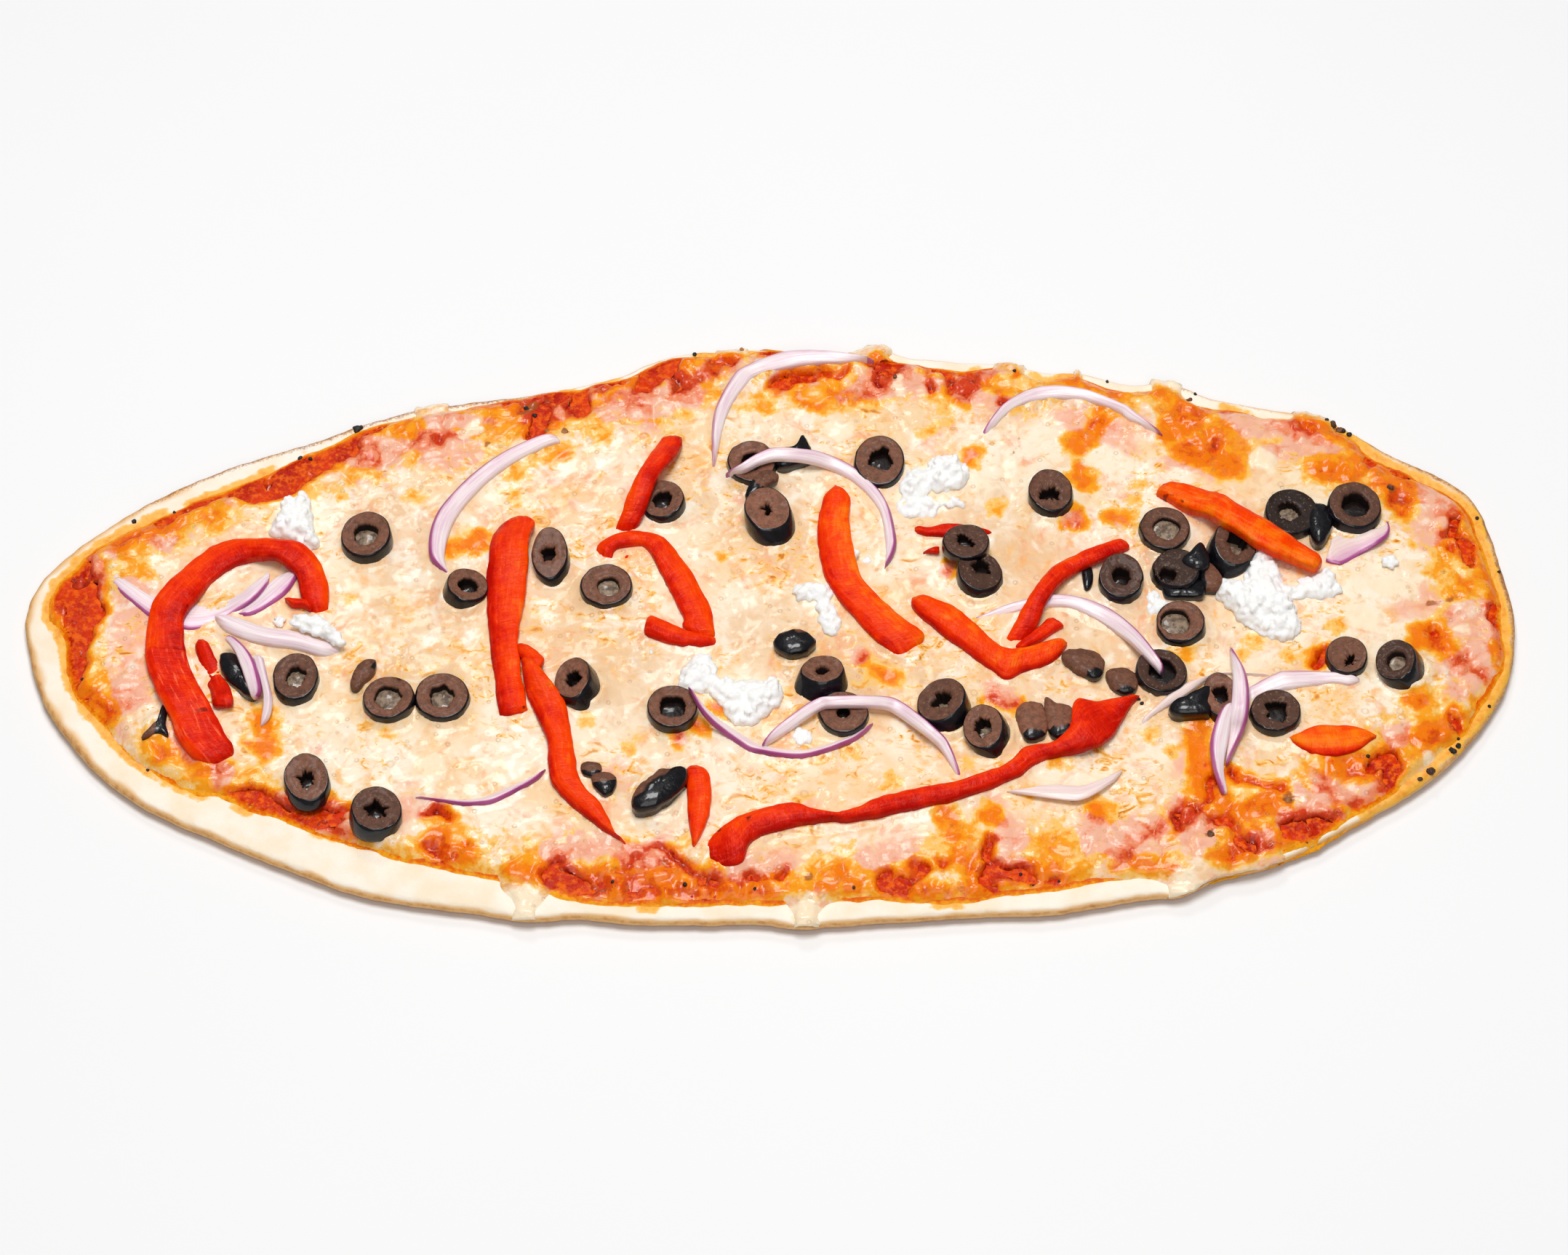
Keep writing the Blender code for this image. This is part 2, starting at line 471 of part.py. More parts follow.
def laid_lump(x, y, half_length, half_width, turn, height, relief, rng):
    """A lump that rests on what is under it."""
    angle = math.radians(turn)
    turns = np.linspace(0, 2 * math.pi, 16, endpoint=False)
    rings = np.array([(math.cos(a) * s, math.sin(a) * s) for a in turns for s in (0.0, 0.55, 1.12)])
    u, v = rings[:, 0] * half_length, rings[:, 1] * half_width
    spot_x = u * math.cos(angle) - v * math.sin(angle)
    spot_y = u * math.sin(angle) + v * math.cos(angle)
    base = CHEESE_TOP
    for _ in range(3):
        px, py = seen_to_plan(x, y, base + 0.6 * height)
        base = relief.at(px + spot_x, py + spot_y).max() + GAP
    return lump_mesh(px, py, half_length, half_width, turn, height, base, rng)


def strip_mesh(thickness, rows, relief, own, sink=None):
    """A strip of pepper or onion that follows its centreline and drapes over what is under it."""
    rows = smooth_rows(rows, STRIP_STEP)
    x, seen_y, width = rows.T
    top = np.full(len(rows), CHEESE_TOP + GAP + thickness)
    for _ in range(4):
        px, py = seen_to_plan(x, seen_y, top)
        side = side_vectors(px, py)
        base = strip_base(px, py, side, width, relief, own) if sink is None else relief.at(px, py) - sink
        top = base + thickness
    section = [(-0.86, 0), (0.86, 0), (1, 0.45), (0.62, 1), (-0.62, 1), (-1, 0.45)]
    if thickness < 2.8:
        section = [(-1, 0), (1, 0), (0.66, 1), (-0.66, 1)]
    points = []
    for i in range(len(rows)):
        for across, up in section:
            reach = 0.5 * width[i] * across
            points.append((px[i] + side[i, 0] * reach, py[i] + side[i, 1] * reach, base[i] + up * thickness))
    count = len(section)
    last = (len(rows) - 1) * count
    faces = [tuple(range(count)), tuple(last + k for k in reversed(range(count)))]
    for i in range(len(rows) - 1):
        for k in range(count):
            m = (k + 1) % count
            faces.append((i * count + m, i * count + k, (i + 1) * count + k, (i + 1) * count + m))
    return points, faces


def side_vectors(px, py):
    """Unit vectors to the right of a line of points."""
    along = np.stack([np.gradient(px), np.gradient(py)], axis=1)
    along /= np.linalg.norm(along, axis=1)[:, None]
    return np.stack([along[:, 1], -along[:, 0]], axis=1)


def strip_base(px, py, side, width, relief, own):
    """The height of a strip's underside at each station: clear of all beneath, with no sudden steps."""
    fine = 6
    places = np.linspace(0, len(px) - 1, (len(px) - 1) * fine + 1)
    index = np.arange(len(px))
    cx, cy = np.interp(places, index, px), np.interp(places, index, py)
    sx, sy = np.interp(places, index, side[:, 0]), np.interp(places, index, side[:, 1])
    half = np.interp(places, index, width) / 2 + MAP_CELL
    need = np.full(len(places), -np.inf)
    for across in np.linspace(-1, 1, 13):
        spot = (cx + sx * half * across, cy + sy * half * across)
        need = np.maximum(need, base_over(spot, relief, own))
    run = np.concatenate([[0], np.cumsum(np.hypot(np.diff(cx), np.diff(cy)))])
    eased = (need[None, :] - STRIP_LEAN * np.abs(run[:, None] - run[None, :])).max(axis=1)
    stations = np.arange(len(px)) * fine
    result = eased[stations]
    # Between two stations the underside is straight, so both rise until nothing pokes through it.
    short = need - np.interp(places, index, result)
    for i, station in enumerate(stations):
        near = slice(max(0, station - fine), station + fine + 1)
        result[i] += max(0.0, short[near].max())
    return result


def loop_solid(loops, heights, top_grid=None):
    """A closed body through stacked loops of equal length, from the underside up."""
    count = len(loops[0])
    points = [(x, y, z) for loop, height in zip(loops, heights) for (x, y), z in zip(loop, height)]
    faces = cap_faces(loops[0], 0, upward=False)
    for level in range(len(loops) - 1):
        low, high = level * count, (level + 1) * count
        for i in range(count):
            j = (i + 1) % count
            faces.append((low + i, high + i, high + j, low + j))
    if top_grid is None:
        faces += cap_faces(loops[-1], (len(loops) - 1) * count, upward=True)
        return points, faces
    inner, relief = top_grid
    rim_start = (len(loops) - 1) * count
    flat = [tuple(p) for p in loops[-1]] + [tuple(p) for p in inner]
    made = geometry.delaunay_2d_cdt(flat, [], [list(range(count))], 1, 1e-5)
    found, triangles, origins = made[0], made[2], made[3]
    index = {}
    for k, origin in enumerate(origins):
        if origin and origin[0] < count:
            index[k] = rim_start + origin[0]
        else:
            index[k] = len(points)
            points.append((found[k][0], found[k][1], relief(found[k][0], found[k][1])))
    faces += [tuple(index[k] for k in turned(found, triangle, upward=True)) for triangle in triangles]
    return points, faces


def turned(found, face, upward):
    """The face with its corners in the order that makes it look up, or down."""
    corners = [found[k] for k in face]
    area = sum(a[0] * b[1] - b[0] * a[1] for a, b in zip(corners, corners[1:] + corners[:1]))
    return list(face) if (area > 0) == upward else list(reversed(face))


def cap_faces(loop, start, upward):
    """Triangles that close a flat loop."""
    flat = [tuple(p) for p in loop]
    made = geometry.delaunay_2d_cdt(flat, [], [list(range(len(flat)))], 1, 1e-5)
    faces = []
    for triangle in made[2]:
        corners = turned(made[0], triangle, upward)
        faces.append(tuple(start + made[3][k][0] for k in corners))
    return faces


# ------------------------------------------------------------------ objects
def add_object(name, points, faces, kind):
    """An object with the finish of its kind, from points in millimetres."""
    mesh = bpy.data.meshes.new(name)
    mesh.from_pydata([(x * MM, y * MM, z * MM) for x, y, z in points], [], faces)
    work = bmesh.new()
    work.from_mesh(mesh)
    bmesh.ops.recalc_face_normals(work, faces=work.faces)
    work.to_mesh(mesh)
    work.free()
    mesh.materials.append(finish(kind))
    result = bpy.data.objects.new(name, mesh)
    bpy.context.scene.collection.objects.link(result)
    mesh.shade_smooth()
    mesh.set_sharp_from_angle(angle=math.radians(40))
    return result


def finish(kind):
    """The material of one kind of food."""
    if kind in bpy.data.materials:
        return bpy.data.materials[kind]
    colour, roughness = FINISHES[kind]
    material = bpy.data.materials.new(kind)
    material.use_nodes = True
    shader = material.node_tree.nodes["Principled BSDF"]
    shader.inputs["Base Color"].default_value = (*colour, 1)
    shader.inputs["Roughness"].default_value = roughness
    shader.inputs["Metallic"].default_value = 0
    material.diffuse_color = (*colour, 1)
    return material


def join_all(body, parts, solver="EXACT"):
    """Joins the parts to the body with one Boolean union, then removes the loose parts."""
    group = bpy.data.collections.new(f"{body.name}_parts")
    bpy.context.scene.collection.children.link(group)
    for part in parts:
        bpy.context.scene.collection.objects.unlink(part)
        group.objects.link(part)
    union = body.modifiers.new("joined", "BOOLEAN")
    union.operation = "UNION"
    union.operand_type = "COLLECTION"
    union.collection = group
    union.solver = solver
    bpy.context.view_layer.update()
    evaluated = body.evaluated_get(bpy.context.evaluated_depsgraph_get())
    joined = bpy.data.meshes.new_from_object(evaluated)
    body.modifiers.clear()
    body.data = joined
    for part in parts:
        bpy.data.objects.remove(part)
    bpy.data.collections.remove(group)


def as_arrays(points, faces):
    """The points, and each face split into triangles."""
    triangles = [(f[0], f[k], f[k + 1]) for f in faces for k in range(1, len(f) - 1)]
    return np.array(points), np.array(triangles)


# ------------------------------------------------------------------ the layers
def cheese_height(x, y):
    """The gently uneven top of the cheese."""
    broad = math.sin(x / 17 + 0.7 * math.sin(y / 23)) + math.sin(y / 14 + 1.1 * math.sin(x / 29))
    fine = math.sin(x / 6.1 + 2.0) * math.sin(y / 7.3 + 0.5)
    return CHEESE_TOP + CHEESE_RELIEF * (0.35 * broad + 0.3 * fine - 0.3)


def inside_loop(x, y, loop, margin):
    """Whether a point lies in a loop, further than the margin from its line."""
    inside = False
    nearest = math.inf
    for (ax, ay), (bx, by) in zip(loop, np.roll(loop, -1, axis=0)):
        if (ay > y) != (by > y) and x < (bx - ax) * (y - ay) / (by - ay) + ax:
            inside = not inside
        nearest = min(nearest, math.hypot(ax - x, ay - y), math.hypot((ax + bx) / 2 - x, (ay + by) / 2 - y))
    return inside and nearest > margin


def relief_points(loop):
    """Points of the cheese relief: rows set in a triangular pattern, each nudged a little."""
    rng = np.random.default_rng(SHEET_SEED)
    row_step = SHEET_STEP * math.sqrt(3) / 2
    result = []
    for r, y in enumerate(np.arange(-98, 98, row_step)):
        for x in np.arange(-204, 204, SHEET_STEP):
            dx, dy = rng.uniform(-0.18, 0.18, 2) * SHEET_STEP
            px, py = x + dx + (r % 2) * SHEET_STEP / 2, y + dy
            if inside_loop(px, py, loop, 0.6 * SHEET_STEP):
                result.append((px, py))
    return result


def build_dough(place, inward, bare):
    """The bread: a flat foot, a rounded edge and a rim that swells where it is bare."""
    count = len(place)
    swell = np.clip(bare, 0, 12) * RIM_SWELL
    crest = np.clip(0.45 * bare, 2.4, None)
    back = np.clip(bare, 3.4, None)
    loops = [
        place + inward * DOUGH_FOOT_INSET, place, place + inward * 1.0,
        place + inward * crest[:, None], place + inward * back[:, None],
    ]
    heights = [
        np.zeros(count), np.full(count, DOUGH_WAIST), DOUGH_TOP - 0.7 + 0.5 * swell,
        DOUGH_TOP + swell, np.full(count, DOUGH_TOP),
    ]
    add_object("dough", *loop_solid(loops, heights), "dough")


def build_sauce(place, inward, start):
    """The sheet of sauce on the dough."""
    count = len(place)
    outer = place + inward * start[:, None]
    inner = place + inward * (start + 1.2)[:, None]
    loops = [outer, outer, inner]
    heights = [
        np.full(count, DOUGH_TOP + GAP), np.full(count, DOUGH_TOP + GAP + 0.2), np.full(count, SAUCE_TOP),
    ]
    add_object("sauce", *loop_solid(loops, heights), "sauce")


def build_cheese(place, inward, sauce_start, start):
    """The sheet of cheese, with the scraps that have melted onto it. Returns its arrays."""
    count = len(place)
    over_sauce = start > sauce_start - 1.6
    tuck = np.where(over_sauce, start + 1.0, sauce_start - 0.5)
    foot = np.where(over_sauce, SAUCE_TOP + GAP, DOUGH_TOP + GAP)
    outer = place + inward * start[:, None]
    shoulder = place + inward * (start + 1.3)[:, None]
    loops = [place + inward * tuck[:, None], outer, outer, shoulder]
    shoulder_top = np.array([cheese_height(x, y) - 0.15 for x, y in shoulder])
    heights = [np.full(count, SAUCE_TOP + GAP), foot, foot + 0.6, shoulder_top]
    points, faces = loop_solid(loops, heights, (relief_points(shoulder), cheese_height))
    body = add_object("cheese", points, faces, "cheese")
    return body, as_arrays(points, faces)


def melted_scraps(relief):
    """The scraps and slices that are one with the cheese."""
    rng = np.random.default_rng(LUMP_SEED)
    nothing = ReliefMap(0)
    parts = []
    meshes = []
    for number, (x, y, length, width, turn, height) in enumerate(CHEESE_LUMPS):
        px, py = seen_to_plan(x, y, CHEESE_TOP + 0.6 * height)
        base = float(relief.at(px, py)) - BITE
        meshes.append(lump_mesh(px, py, length, width, turn, height + BITE, base, rng, 7))
        parts.append(add_object(f"scrap_{number}", *meshes[-1], "cheese"))
    for number, (thickness, rows) in enumerate(CHEESE_STRIPS):
        meshes.append(strip_mesh(thickness + BITE, rows, relief, nothing, sink=BITE))
        parts.append(add_object(f"slice_{number}", *meshes[-1], "cheese"))
    return parts, meshes


# ------------------------------------------------------------------ the toppings
def topping_meshes(name, relief, own, rng):
    """The meshes of one topping, each laid on what is already there."""
    if name in OLIVES:
        for form, *numbers in OLIVES[name]:
            if form == "ring":
                yield ring_mesh(*numbers, relief)
            else:
                yield laid_lump(*numbers, relief, rng)
    elif name in FETA:
        for numbers in FETA[name]:
            yield laid_lump(*numbers, relief, rng)
    else:
        strips = PEPPERS.get(name) or ONIONS[name]
        for thickness, rows in strips:
            yield strip_mesh(thickness, rows, relief, own)


def lay_topping(name, relief, rng):
    """Builds one topping and raises the map to its top."""
    own = ReliefMap(0)
    kind = name.split("_")[0].rstrip("s")
    parts = []
    made = []
    for points, faces in topping_meshes(name, relief, own, rng):
        arrays = as_arrays(points, faces)
        own.stamp(*arrays)
        made.append(arrays)
        label = name if not parts else f"{name}_{len(parts)}"
        parts.append(add_object(label, points, faces, kind))
    if len(parts) > 1:
        join_all(parts[0], parts[1:])
    for arrays in made:
        relief.stamp(*arrays)


def main():
    """Builds the bread, then lays the toppings in order."""
    for leftover in list(bpy.data.objects):
        bpy.data.objects.remove(leftover)
    place, inward, sauce_start, cheese_start = bread_edge()
    build_dough(place, inward, np.minimum(sauce_start, cheese_start))
    build_sauce(place, inward, sauce_start)
    cheese, cheese_arrays = build_cheese(place, inward, sauce_start, cheese_start)
    relief = ReliefMap(SAUCE_TOP)
    relief.stamp(*cheese_arrays)
    parts, meshes = melted_scraps(relief)
    join_all(cheese, parts)
    for mesh in meshes:
        relief.stamp(*as_arrays(*mesh))
    rng = np.random.default_rng(LUMP_SEED)
    for name in LAYING_ORDER:
        lay_topping(name, relief, rng)


main()
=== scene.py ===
"""Looks of a long oval flatbread pizza, greek style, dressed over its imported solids."""

import itertools
import logging
import math
from dataclasses import dataclass, field

import bpy
import numpy as np
from bpy.types import Material, Node, NodeSocket, NodeTree, Object
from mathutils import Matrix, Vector
from mathutils.bvhtree import BVHTree

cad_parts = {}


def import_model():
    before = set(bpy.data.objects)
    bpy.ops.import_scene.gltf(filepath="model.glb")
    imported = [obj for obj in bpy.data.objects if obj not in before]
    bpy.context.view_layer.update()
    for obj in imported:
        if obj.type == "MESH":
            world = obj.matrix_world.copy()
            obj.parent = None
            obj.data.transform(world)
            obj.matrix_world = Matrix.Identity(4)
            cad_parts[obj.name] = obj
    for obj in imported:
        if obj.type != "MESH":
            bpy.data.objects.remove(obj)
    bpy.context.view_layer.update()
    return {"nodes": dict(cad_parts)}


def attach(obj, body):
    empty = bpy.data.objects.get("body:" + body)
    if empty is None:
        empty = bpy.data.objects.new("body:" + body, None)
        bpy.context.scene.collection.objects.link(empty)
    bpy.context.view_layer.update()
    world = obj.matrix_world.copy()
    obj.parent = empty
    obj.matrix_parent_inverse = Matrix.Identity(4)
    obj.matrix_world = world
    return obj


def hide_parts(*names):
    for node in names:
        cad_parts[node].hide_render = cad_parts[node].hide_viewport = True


Array = np.ndarray
LOG = logging.getLogger("pizza")
MM = 0.001  # the layout is in millimetres, the scene in metres

# The camera of the photograph. The layout is read on the plane SEEN_Z above the table, as it sees it.
ELEVATION = math.radians(55.0)
DISTANCE = 1302.0
TARGET_X = 3.6
SENSOR = 36.0
LENS = 108.72
SHIFT = (0.15, 1.45)  # from the layout to the built frame
SEEN_Z = 8.0
EYE = (TARGET_X, -DISTANCE * math.cos(ELEVATION), DISTANCE * math.sin(ELEVATION))

# Heights of the layers.
DOUGH_TOP = 4.4
RIM_SWELL = 0.06
SAUCE_TOP = 5.3
CHEESE_TOP = 7.2
HEAT_RANGE = 1.6  # the stored stain of 1 stands for this much
SCATTER_MM = 1.5  # how far light creeps under a surface

# The bread's edge on the layout: x, y, and how far inside it the sauce and the cheese begin.
EDGE = [
    (-204.6, 1, 6, 22), (-202, 12, 4.5, 19), (-195, 21.5, 4, 10), (-185, 31.3, 4, 12),
    (-170, 42.5, 6, 11), (-150, 53.1, 7, 12), (-130, 61, 2.5, 15), (-115, 67.8, 1.5, 7),
    (-100, 72.7, 3, 1.5), (-85, 75.6, 1.5, 3), (-70, 78, 1, 10), (-45, 84, 0.8, 8),
    (-35, 89.4, 0.6, 9), (-25, 93.1, 0.6, 6), (-12, 94.3, 2, 0.5), (0, 94.3, 0.5, 4),
    (12, 91.5, 0.5, 3), (22, 92.2, 1.5, 0.8), (30, 96, 3, 0), (38, 92, 2.5, 3),
    (50, 90.4, 4, 8), (66, 89.2, 2, 1), (78, 86.3, 3.5, 3), (88, 85.8, 2, 1.5),
    (101, 82.2, 3, 4), (113, 82.3, 3, 0.3), (125, 77.2, 3, 5), (140, 73.3, 2.5, 3),
    (158, 68.8, 2, 1), (175, 56.5, 4, 9), (190, 47.3, 4, 5.5), (198, 37, 3, 6),
    (203, 13, 3, 6), (204.3, 0, 3, 8), (202, -17, 2, 5), (195, -31.6, 2, 3.5),
    (183, -47, 2.5, 3), (172, -56.5, 1.5, 2), (150, -70.4, 0.7, 3), (132, -79.8, 0.7, 1.2),
    (119, -83.4, 0.9, 1), (109, -88.6, 4, -0.3), (98, -89.9, 5, 5), (75, -94.2, 5.5, 7),
    (55, -95, 3, 9), (30, -96.8, 4, 9), (17, -97.9, 5, 5), (10, -98.9, 6, -0.2),
    (3, -98.2, 5, 5), (-5, -97.2, 4, 12), (-32, -97.6, 4, 14), (-50, -95.8, 3, 13),
    (-58, -96.3, 6, 5), (-65, -96.4, 8, -0.2), (-72, -95.2, 8, 6.8), (-80, -93.8, 9, 14),
    (-105, -89.4, 12, 14), (-125, -82, 12, 17), (-150, -70.3, 10, 12), (-170, -59.5, 9, 9),
    (-185, -45.6, 9, 9), (-197, -28, 8, 12), (-203, -10, 9, 18),
]


# --- numbers and noise
def paint(code: str) -> tuple[float, float, float, float]:
    """Linear colour of an sRGB hex code.

    Args:
        code: a code such as "#F3DFBE".

    Returns:
        Red, green, blue and alpha, linear.
    """
    parts = [int(code[k:k + 2], 16) / 255 for k in (1, 3, 5)]
    linear = [p / 12.92 if p <= 0.04045 else ((p + 0.055) / 1.055) ** 2.4 for p in parts]
    return (*linear, 1.0)


def smoothstep(low: float, high: float, value: Array) -> Array:
    """A smooth rise from 0 at low to 1 at high."""
    share = np.clip((value - low) / (high - low), 0, 1)
    return share * share * (3 - 2 * share)


def noise(points: Array, size: float, seed: int = 0, octaves: int = 2) -> Array:
    """Smooth noise from -1 to 1 at points of any number of dimensions.

    Args:
        points: one row for each point, in millimetres.
        size: width of the coarsest bumps.
        seed: another number gives other noise.
        octaves: how many finer layers there are, each half as wide and half as high.

    Returns:
        One value for each point.
    """
    points = np.asarray(points, float)
    total = np.zeros(len(points))
    height, whole = 1.0, 0.0
    for octave in range(octaves):
        at = points / (size / 2 ** octave) + 37.7 * (seed + octave)
        cell = np.floor(at).astype(np.int64)
        part = at - cell
        part = part * part * (3 - 2 * part)
        layer = np.zeros(len(points))
        for corner in itertools.product((0, 1), repeat=points.shape[1]):
            weight = np.ones(len(points))
            mixed = np.full(len(points), 1274126177 * (seed + 7 * octave + 1), np.int64)
            for axis, step in enumerate(corner):
                weight = weight * (part[:, axis] if step else 1 - part[:, axis])
                mixed = mixed + (cell[:, axis] + step) * (374761393, 668265263, 2147483629)[axis]
            mixed = mixed & 0xFFFFFFFF
            mixed = ((mixed ^ (mixed >> 13)) * 1274126177) & 0xFFFFFFFF
            mixed = mixed ^ (mixed >> 16)
            layer += weight * (mixed / 2 ** 31 - 1)
        total += height * layer
        whole += height
        height /= 2
    return total / whole


def smooth_rows(rows: list, step: float, closed: bool = False) -> Array:
    """Rows about step apart on a smooth curve through the given rows, whose first two numbers are a place."""
    count = len(rows)
    table = np.array(rows, float)
    spans = count if closed else count - 1
    result = []
    for i in range(spans):
        index = [(i + k) % count if closed else min(max(i + k, 0), count - 1) for k in (-1, 0, 1, 2)]
        p0, p1, p2, p3 = table[index]
        parts = max(1, round(math.dist(p1[:2], p2[:2]) / step))
        share = (np.arange(parts) / parts)[:, None]
        bend = (2 * p0 - 5 * p1 + 4 * p2 - p3) * share + (3 * p1 - p0 - 3 * p2 + p3) * share ** 2
        result.append(0.5 * (2 * p1 + (p2 - p0) * share + bend * share))
    if not closed:
        result.append(table[-1:])
    return np.concatenate(result)


def to_plan(x: Array, y: Array, z: Array) -> tuple[Array, Array]:
    """True place, in the built frame, of what is seen at x, y of the layout and is z high."""
    share = (z - SEEN_Z) / (EYE[2] - SEEN_Z)
    return x + (EYE[0] - x) * share + SHIFT[0], y + (EYE[1] - y) * share + SHIFT[1]


def outward(points: Array, heart: Array, least: float) -> Array:
    """Directions from a heart to points, of length 1 beyond least of it."""
    away = points - heart
    return away / np.maximum(np.linalg.norm(away, axis=1), least)[:, None]


# --- finishes
def add_node(tree: NodeTree, kind: str, inputs: dict | None = None, **settings) -> Node:
    """Adds a shader node.

    Args:
        tree: the material's tree.
        kind: the node's type name without its ShaderNode start.
        inputs: values or sockets by input name or number.
        settings: properties of the node.

    Returns:
        The new node.
    """
    made = tree.nodes.new("ShaderNode" + kind)
    for name, value in settings.items():
        setattr(made, name, value)
    for key, value in (inputs or {}).items():
        if isinstance(value, NodeSocket):
            tree.links.new(value, made.inputs[key])
        else:
            made.inputs[key].default_value = value
    return made


@dataclass
class Finish:
    """A food's material: its shader settings, with its pattern added by a subclass."""

    name: str
    roughness: float = 0.4
    specular: float = 0.5
    coat: float = 0.0
    subsurface: float = 0.0
    scatter: tuple = (1.0, 0.6, 0.3)
    tree: NodeTree | None = field(default=None, repr=False)
    shader: Node | None = field(default=None, repr=False)
    coords: NodeSocket | None = field(default=None, repr=False)

    def build(self) -> Material:
        """Makes the material, with colour, roughness and bump from nodes."""
        material = bpy.data.materials.new(self.name)
        material.use_nodes = True
        self.tree = material.node_tree
        self.shader = self.tree.nodes["Principled BSDF"]
        for name, value in (("Roughness", self.roughness), ("Specular IOR Level", self.specular),
                            ("Coat Weight", self.coat), ("Coat Roughness", 0.10),
                            ("Subsurface Weight", self.subsurface), ("Subsurface Radius", self.scatter),
                            ("Subsurface Scale", SCATTER_MM * MM)):
            self.shader.inputs[name].default_value = value
        self.coords = add_node(self.tree, "TexCoord").outputs["Object"]
        self.link("Base Color", self.pattern())
        return material

    def pattern(self) -> NodeSocket:
        """The colour. Each finish has its own, and adds its roughness and relief there."""
        raise NotImplementedError

    def link(self, name: str, value: NodeSocket) -> None:
        """Feeds an input of the shader."""
        self.tree.links.new(value, self.shader.inputs[name])

    def masks(self, name: str) -> list[NodeSocket]:
        """The three numbers of a colour stored on the mesh."""
        colour = add_node(self.tree, "Attribute", attribute_name=name).outputs["Color"]
        return list(add_node(self.tree, "SeparateColor", {0: colour}).outputs)

    def speckle(self, size_mm: float, detail: float = 2.0, roughness: float = 0.5, distortion: float = 0.0,
                stretch: tuple | None = None, coords: NodeSocket | None = None) -> NodeSocket:
        """Noise whose bumps are about size_mm wide."""
        source = coords or self.coords
        if stretch:
            source = add_node(self.tree, "Mapping", {"Vector": source, "Scale": stretch}).outputs[0]
        return add_node(self.tree, "TexNoise", {
            "Vector": source, "Scale": 1 / (size_mm * MM), "Detail": detail, "Roughness": roughness,
            "Distortion": distortion}).outputs["Fac"]

    def cells(self, size_mm: float) -> Node:
        """A pattern of cells about size_mm wide."""
        return add_node(self.tree, "TexVoronoi", {"Vector": self.coords, "Scale": 1 / (size_mm * MM)})

    def ramp(self, value: NodeSocket, low: float, high: float, start: float = 0.0, end: float = 1.0,
             smooth: bool = True) -> NodeSocket:
        """The value spread from start at low to end at high."""
        return add_node(self.tree, "MapRange", {
            "Value": value, "From Min": low, "From Max": high, "To Min": start, "To Max": end},
            interpolation_type="SMOOTHSTEP" if smooth else "LINEAR").outputs[0]

    def chain(self, operation: str, values: tuple) -> NodeSocket:
        """The values taken together by one operation."""
        result = values[0]
        for value in values[1:]:
            result = add_node(self.tree, "Math", {0: result, 1: value}, operation=operation).outputs[0]
        return result

    def times(self, *values: NodeSocket | float) -> NodeSocket:
        """The product of the values."""
        return self.chain("MULTIPLY", values)

    def plus(self, *values: NodeSocket | float) -> NodeSocket:
        """The sum of the values."""
        return self.chain("ADD", values)

    def sway(self, value: NodeSocket, reach: float) -> NodeSocket:
        """A pattern's swing about 0, reach from its lowest to its highest."""
        return self.times(self.plus(value, -0.5), reach)

    def mix(self, share: NodeSocket, first: NodeSocket | str, second: NodeSocket | str) -> NodeSocket:
        """The first colour, turning into the second as share goes to 1. Each is a hex code or a socket."""
        colours = {number: paint(colour) if isinstance(colour, str) else colour
                   for number, colour in ((6, first), (7, second))}
        return add_node(self.tree, "Mix", {0: share, **colours}, data_type="RGBA").outputs[2]

    def tinge(self, colour: NodeSocket | str, *steps: tuple) -> NodeSocket:
        """The colour, turned by steps: a value, its low and high, the new hue and how much of it there is."""
        for value, low, high, hue, *share in steps:
            colour = self.mix(self.ramp(value, low, high, end=share[0] if share else 1.0), colour, hue)
        return colour

    def relief(self, *layers: tuple) -> None:
        """Relief that the mesh is too coarse for, from pairs of a height and its depth in millimetres."""
        below = {}
        for height, depth_mm in layers:
            inputs = {"Height": height, "Distance": depth_mm * MM, "Strength": 1.0, **below}
            made = add_node(self.tree, "Bump", inputs)
            below = {"Normal": made.outputs[0]}
        self.link("Normal", below["Normal"])


@dataclass
class DoughFinish(Finish):
    """Baked bread: pale on top, golden to brown at its foot and where it caught the heat."""

    def pattern(self) -> NodeSocket:
        """Pale crust, browned by its masks and stained by oil."""
        baked, oil, toast = self.masks("bake")
        grain = self.speckle(2.2, 4, 0.6)
        fine = self.speckle(0.7, 3, 0.7)
        stained = self.plus(oil, self.sway(grain, 0.8))
        self.relief((grain, 0.28), (fine, 0.10))
        return self.tinge(
            "#FFF4E4", (self.speckle(11, 3), 0.35, 0.7, "#FCE8CC"), (baked, 0.05, 0.75, "#ECB468", 0.9),
            (self.plus(baked, self.sway(grain, 0.8)), 0.6, 1.05, "#C17C38", 0.9),
            (self.plus(toast, self.sway(fine, 1.6)), 0.55, 1.1, "#9A5522", 0.8),
            (stained, 0.45, 0.75, "#FBBA3C", 0.9), (stained, 0.75, 1.15, "#E98318", 0.85))


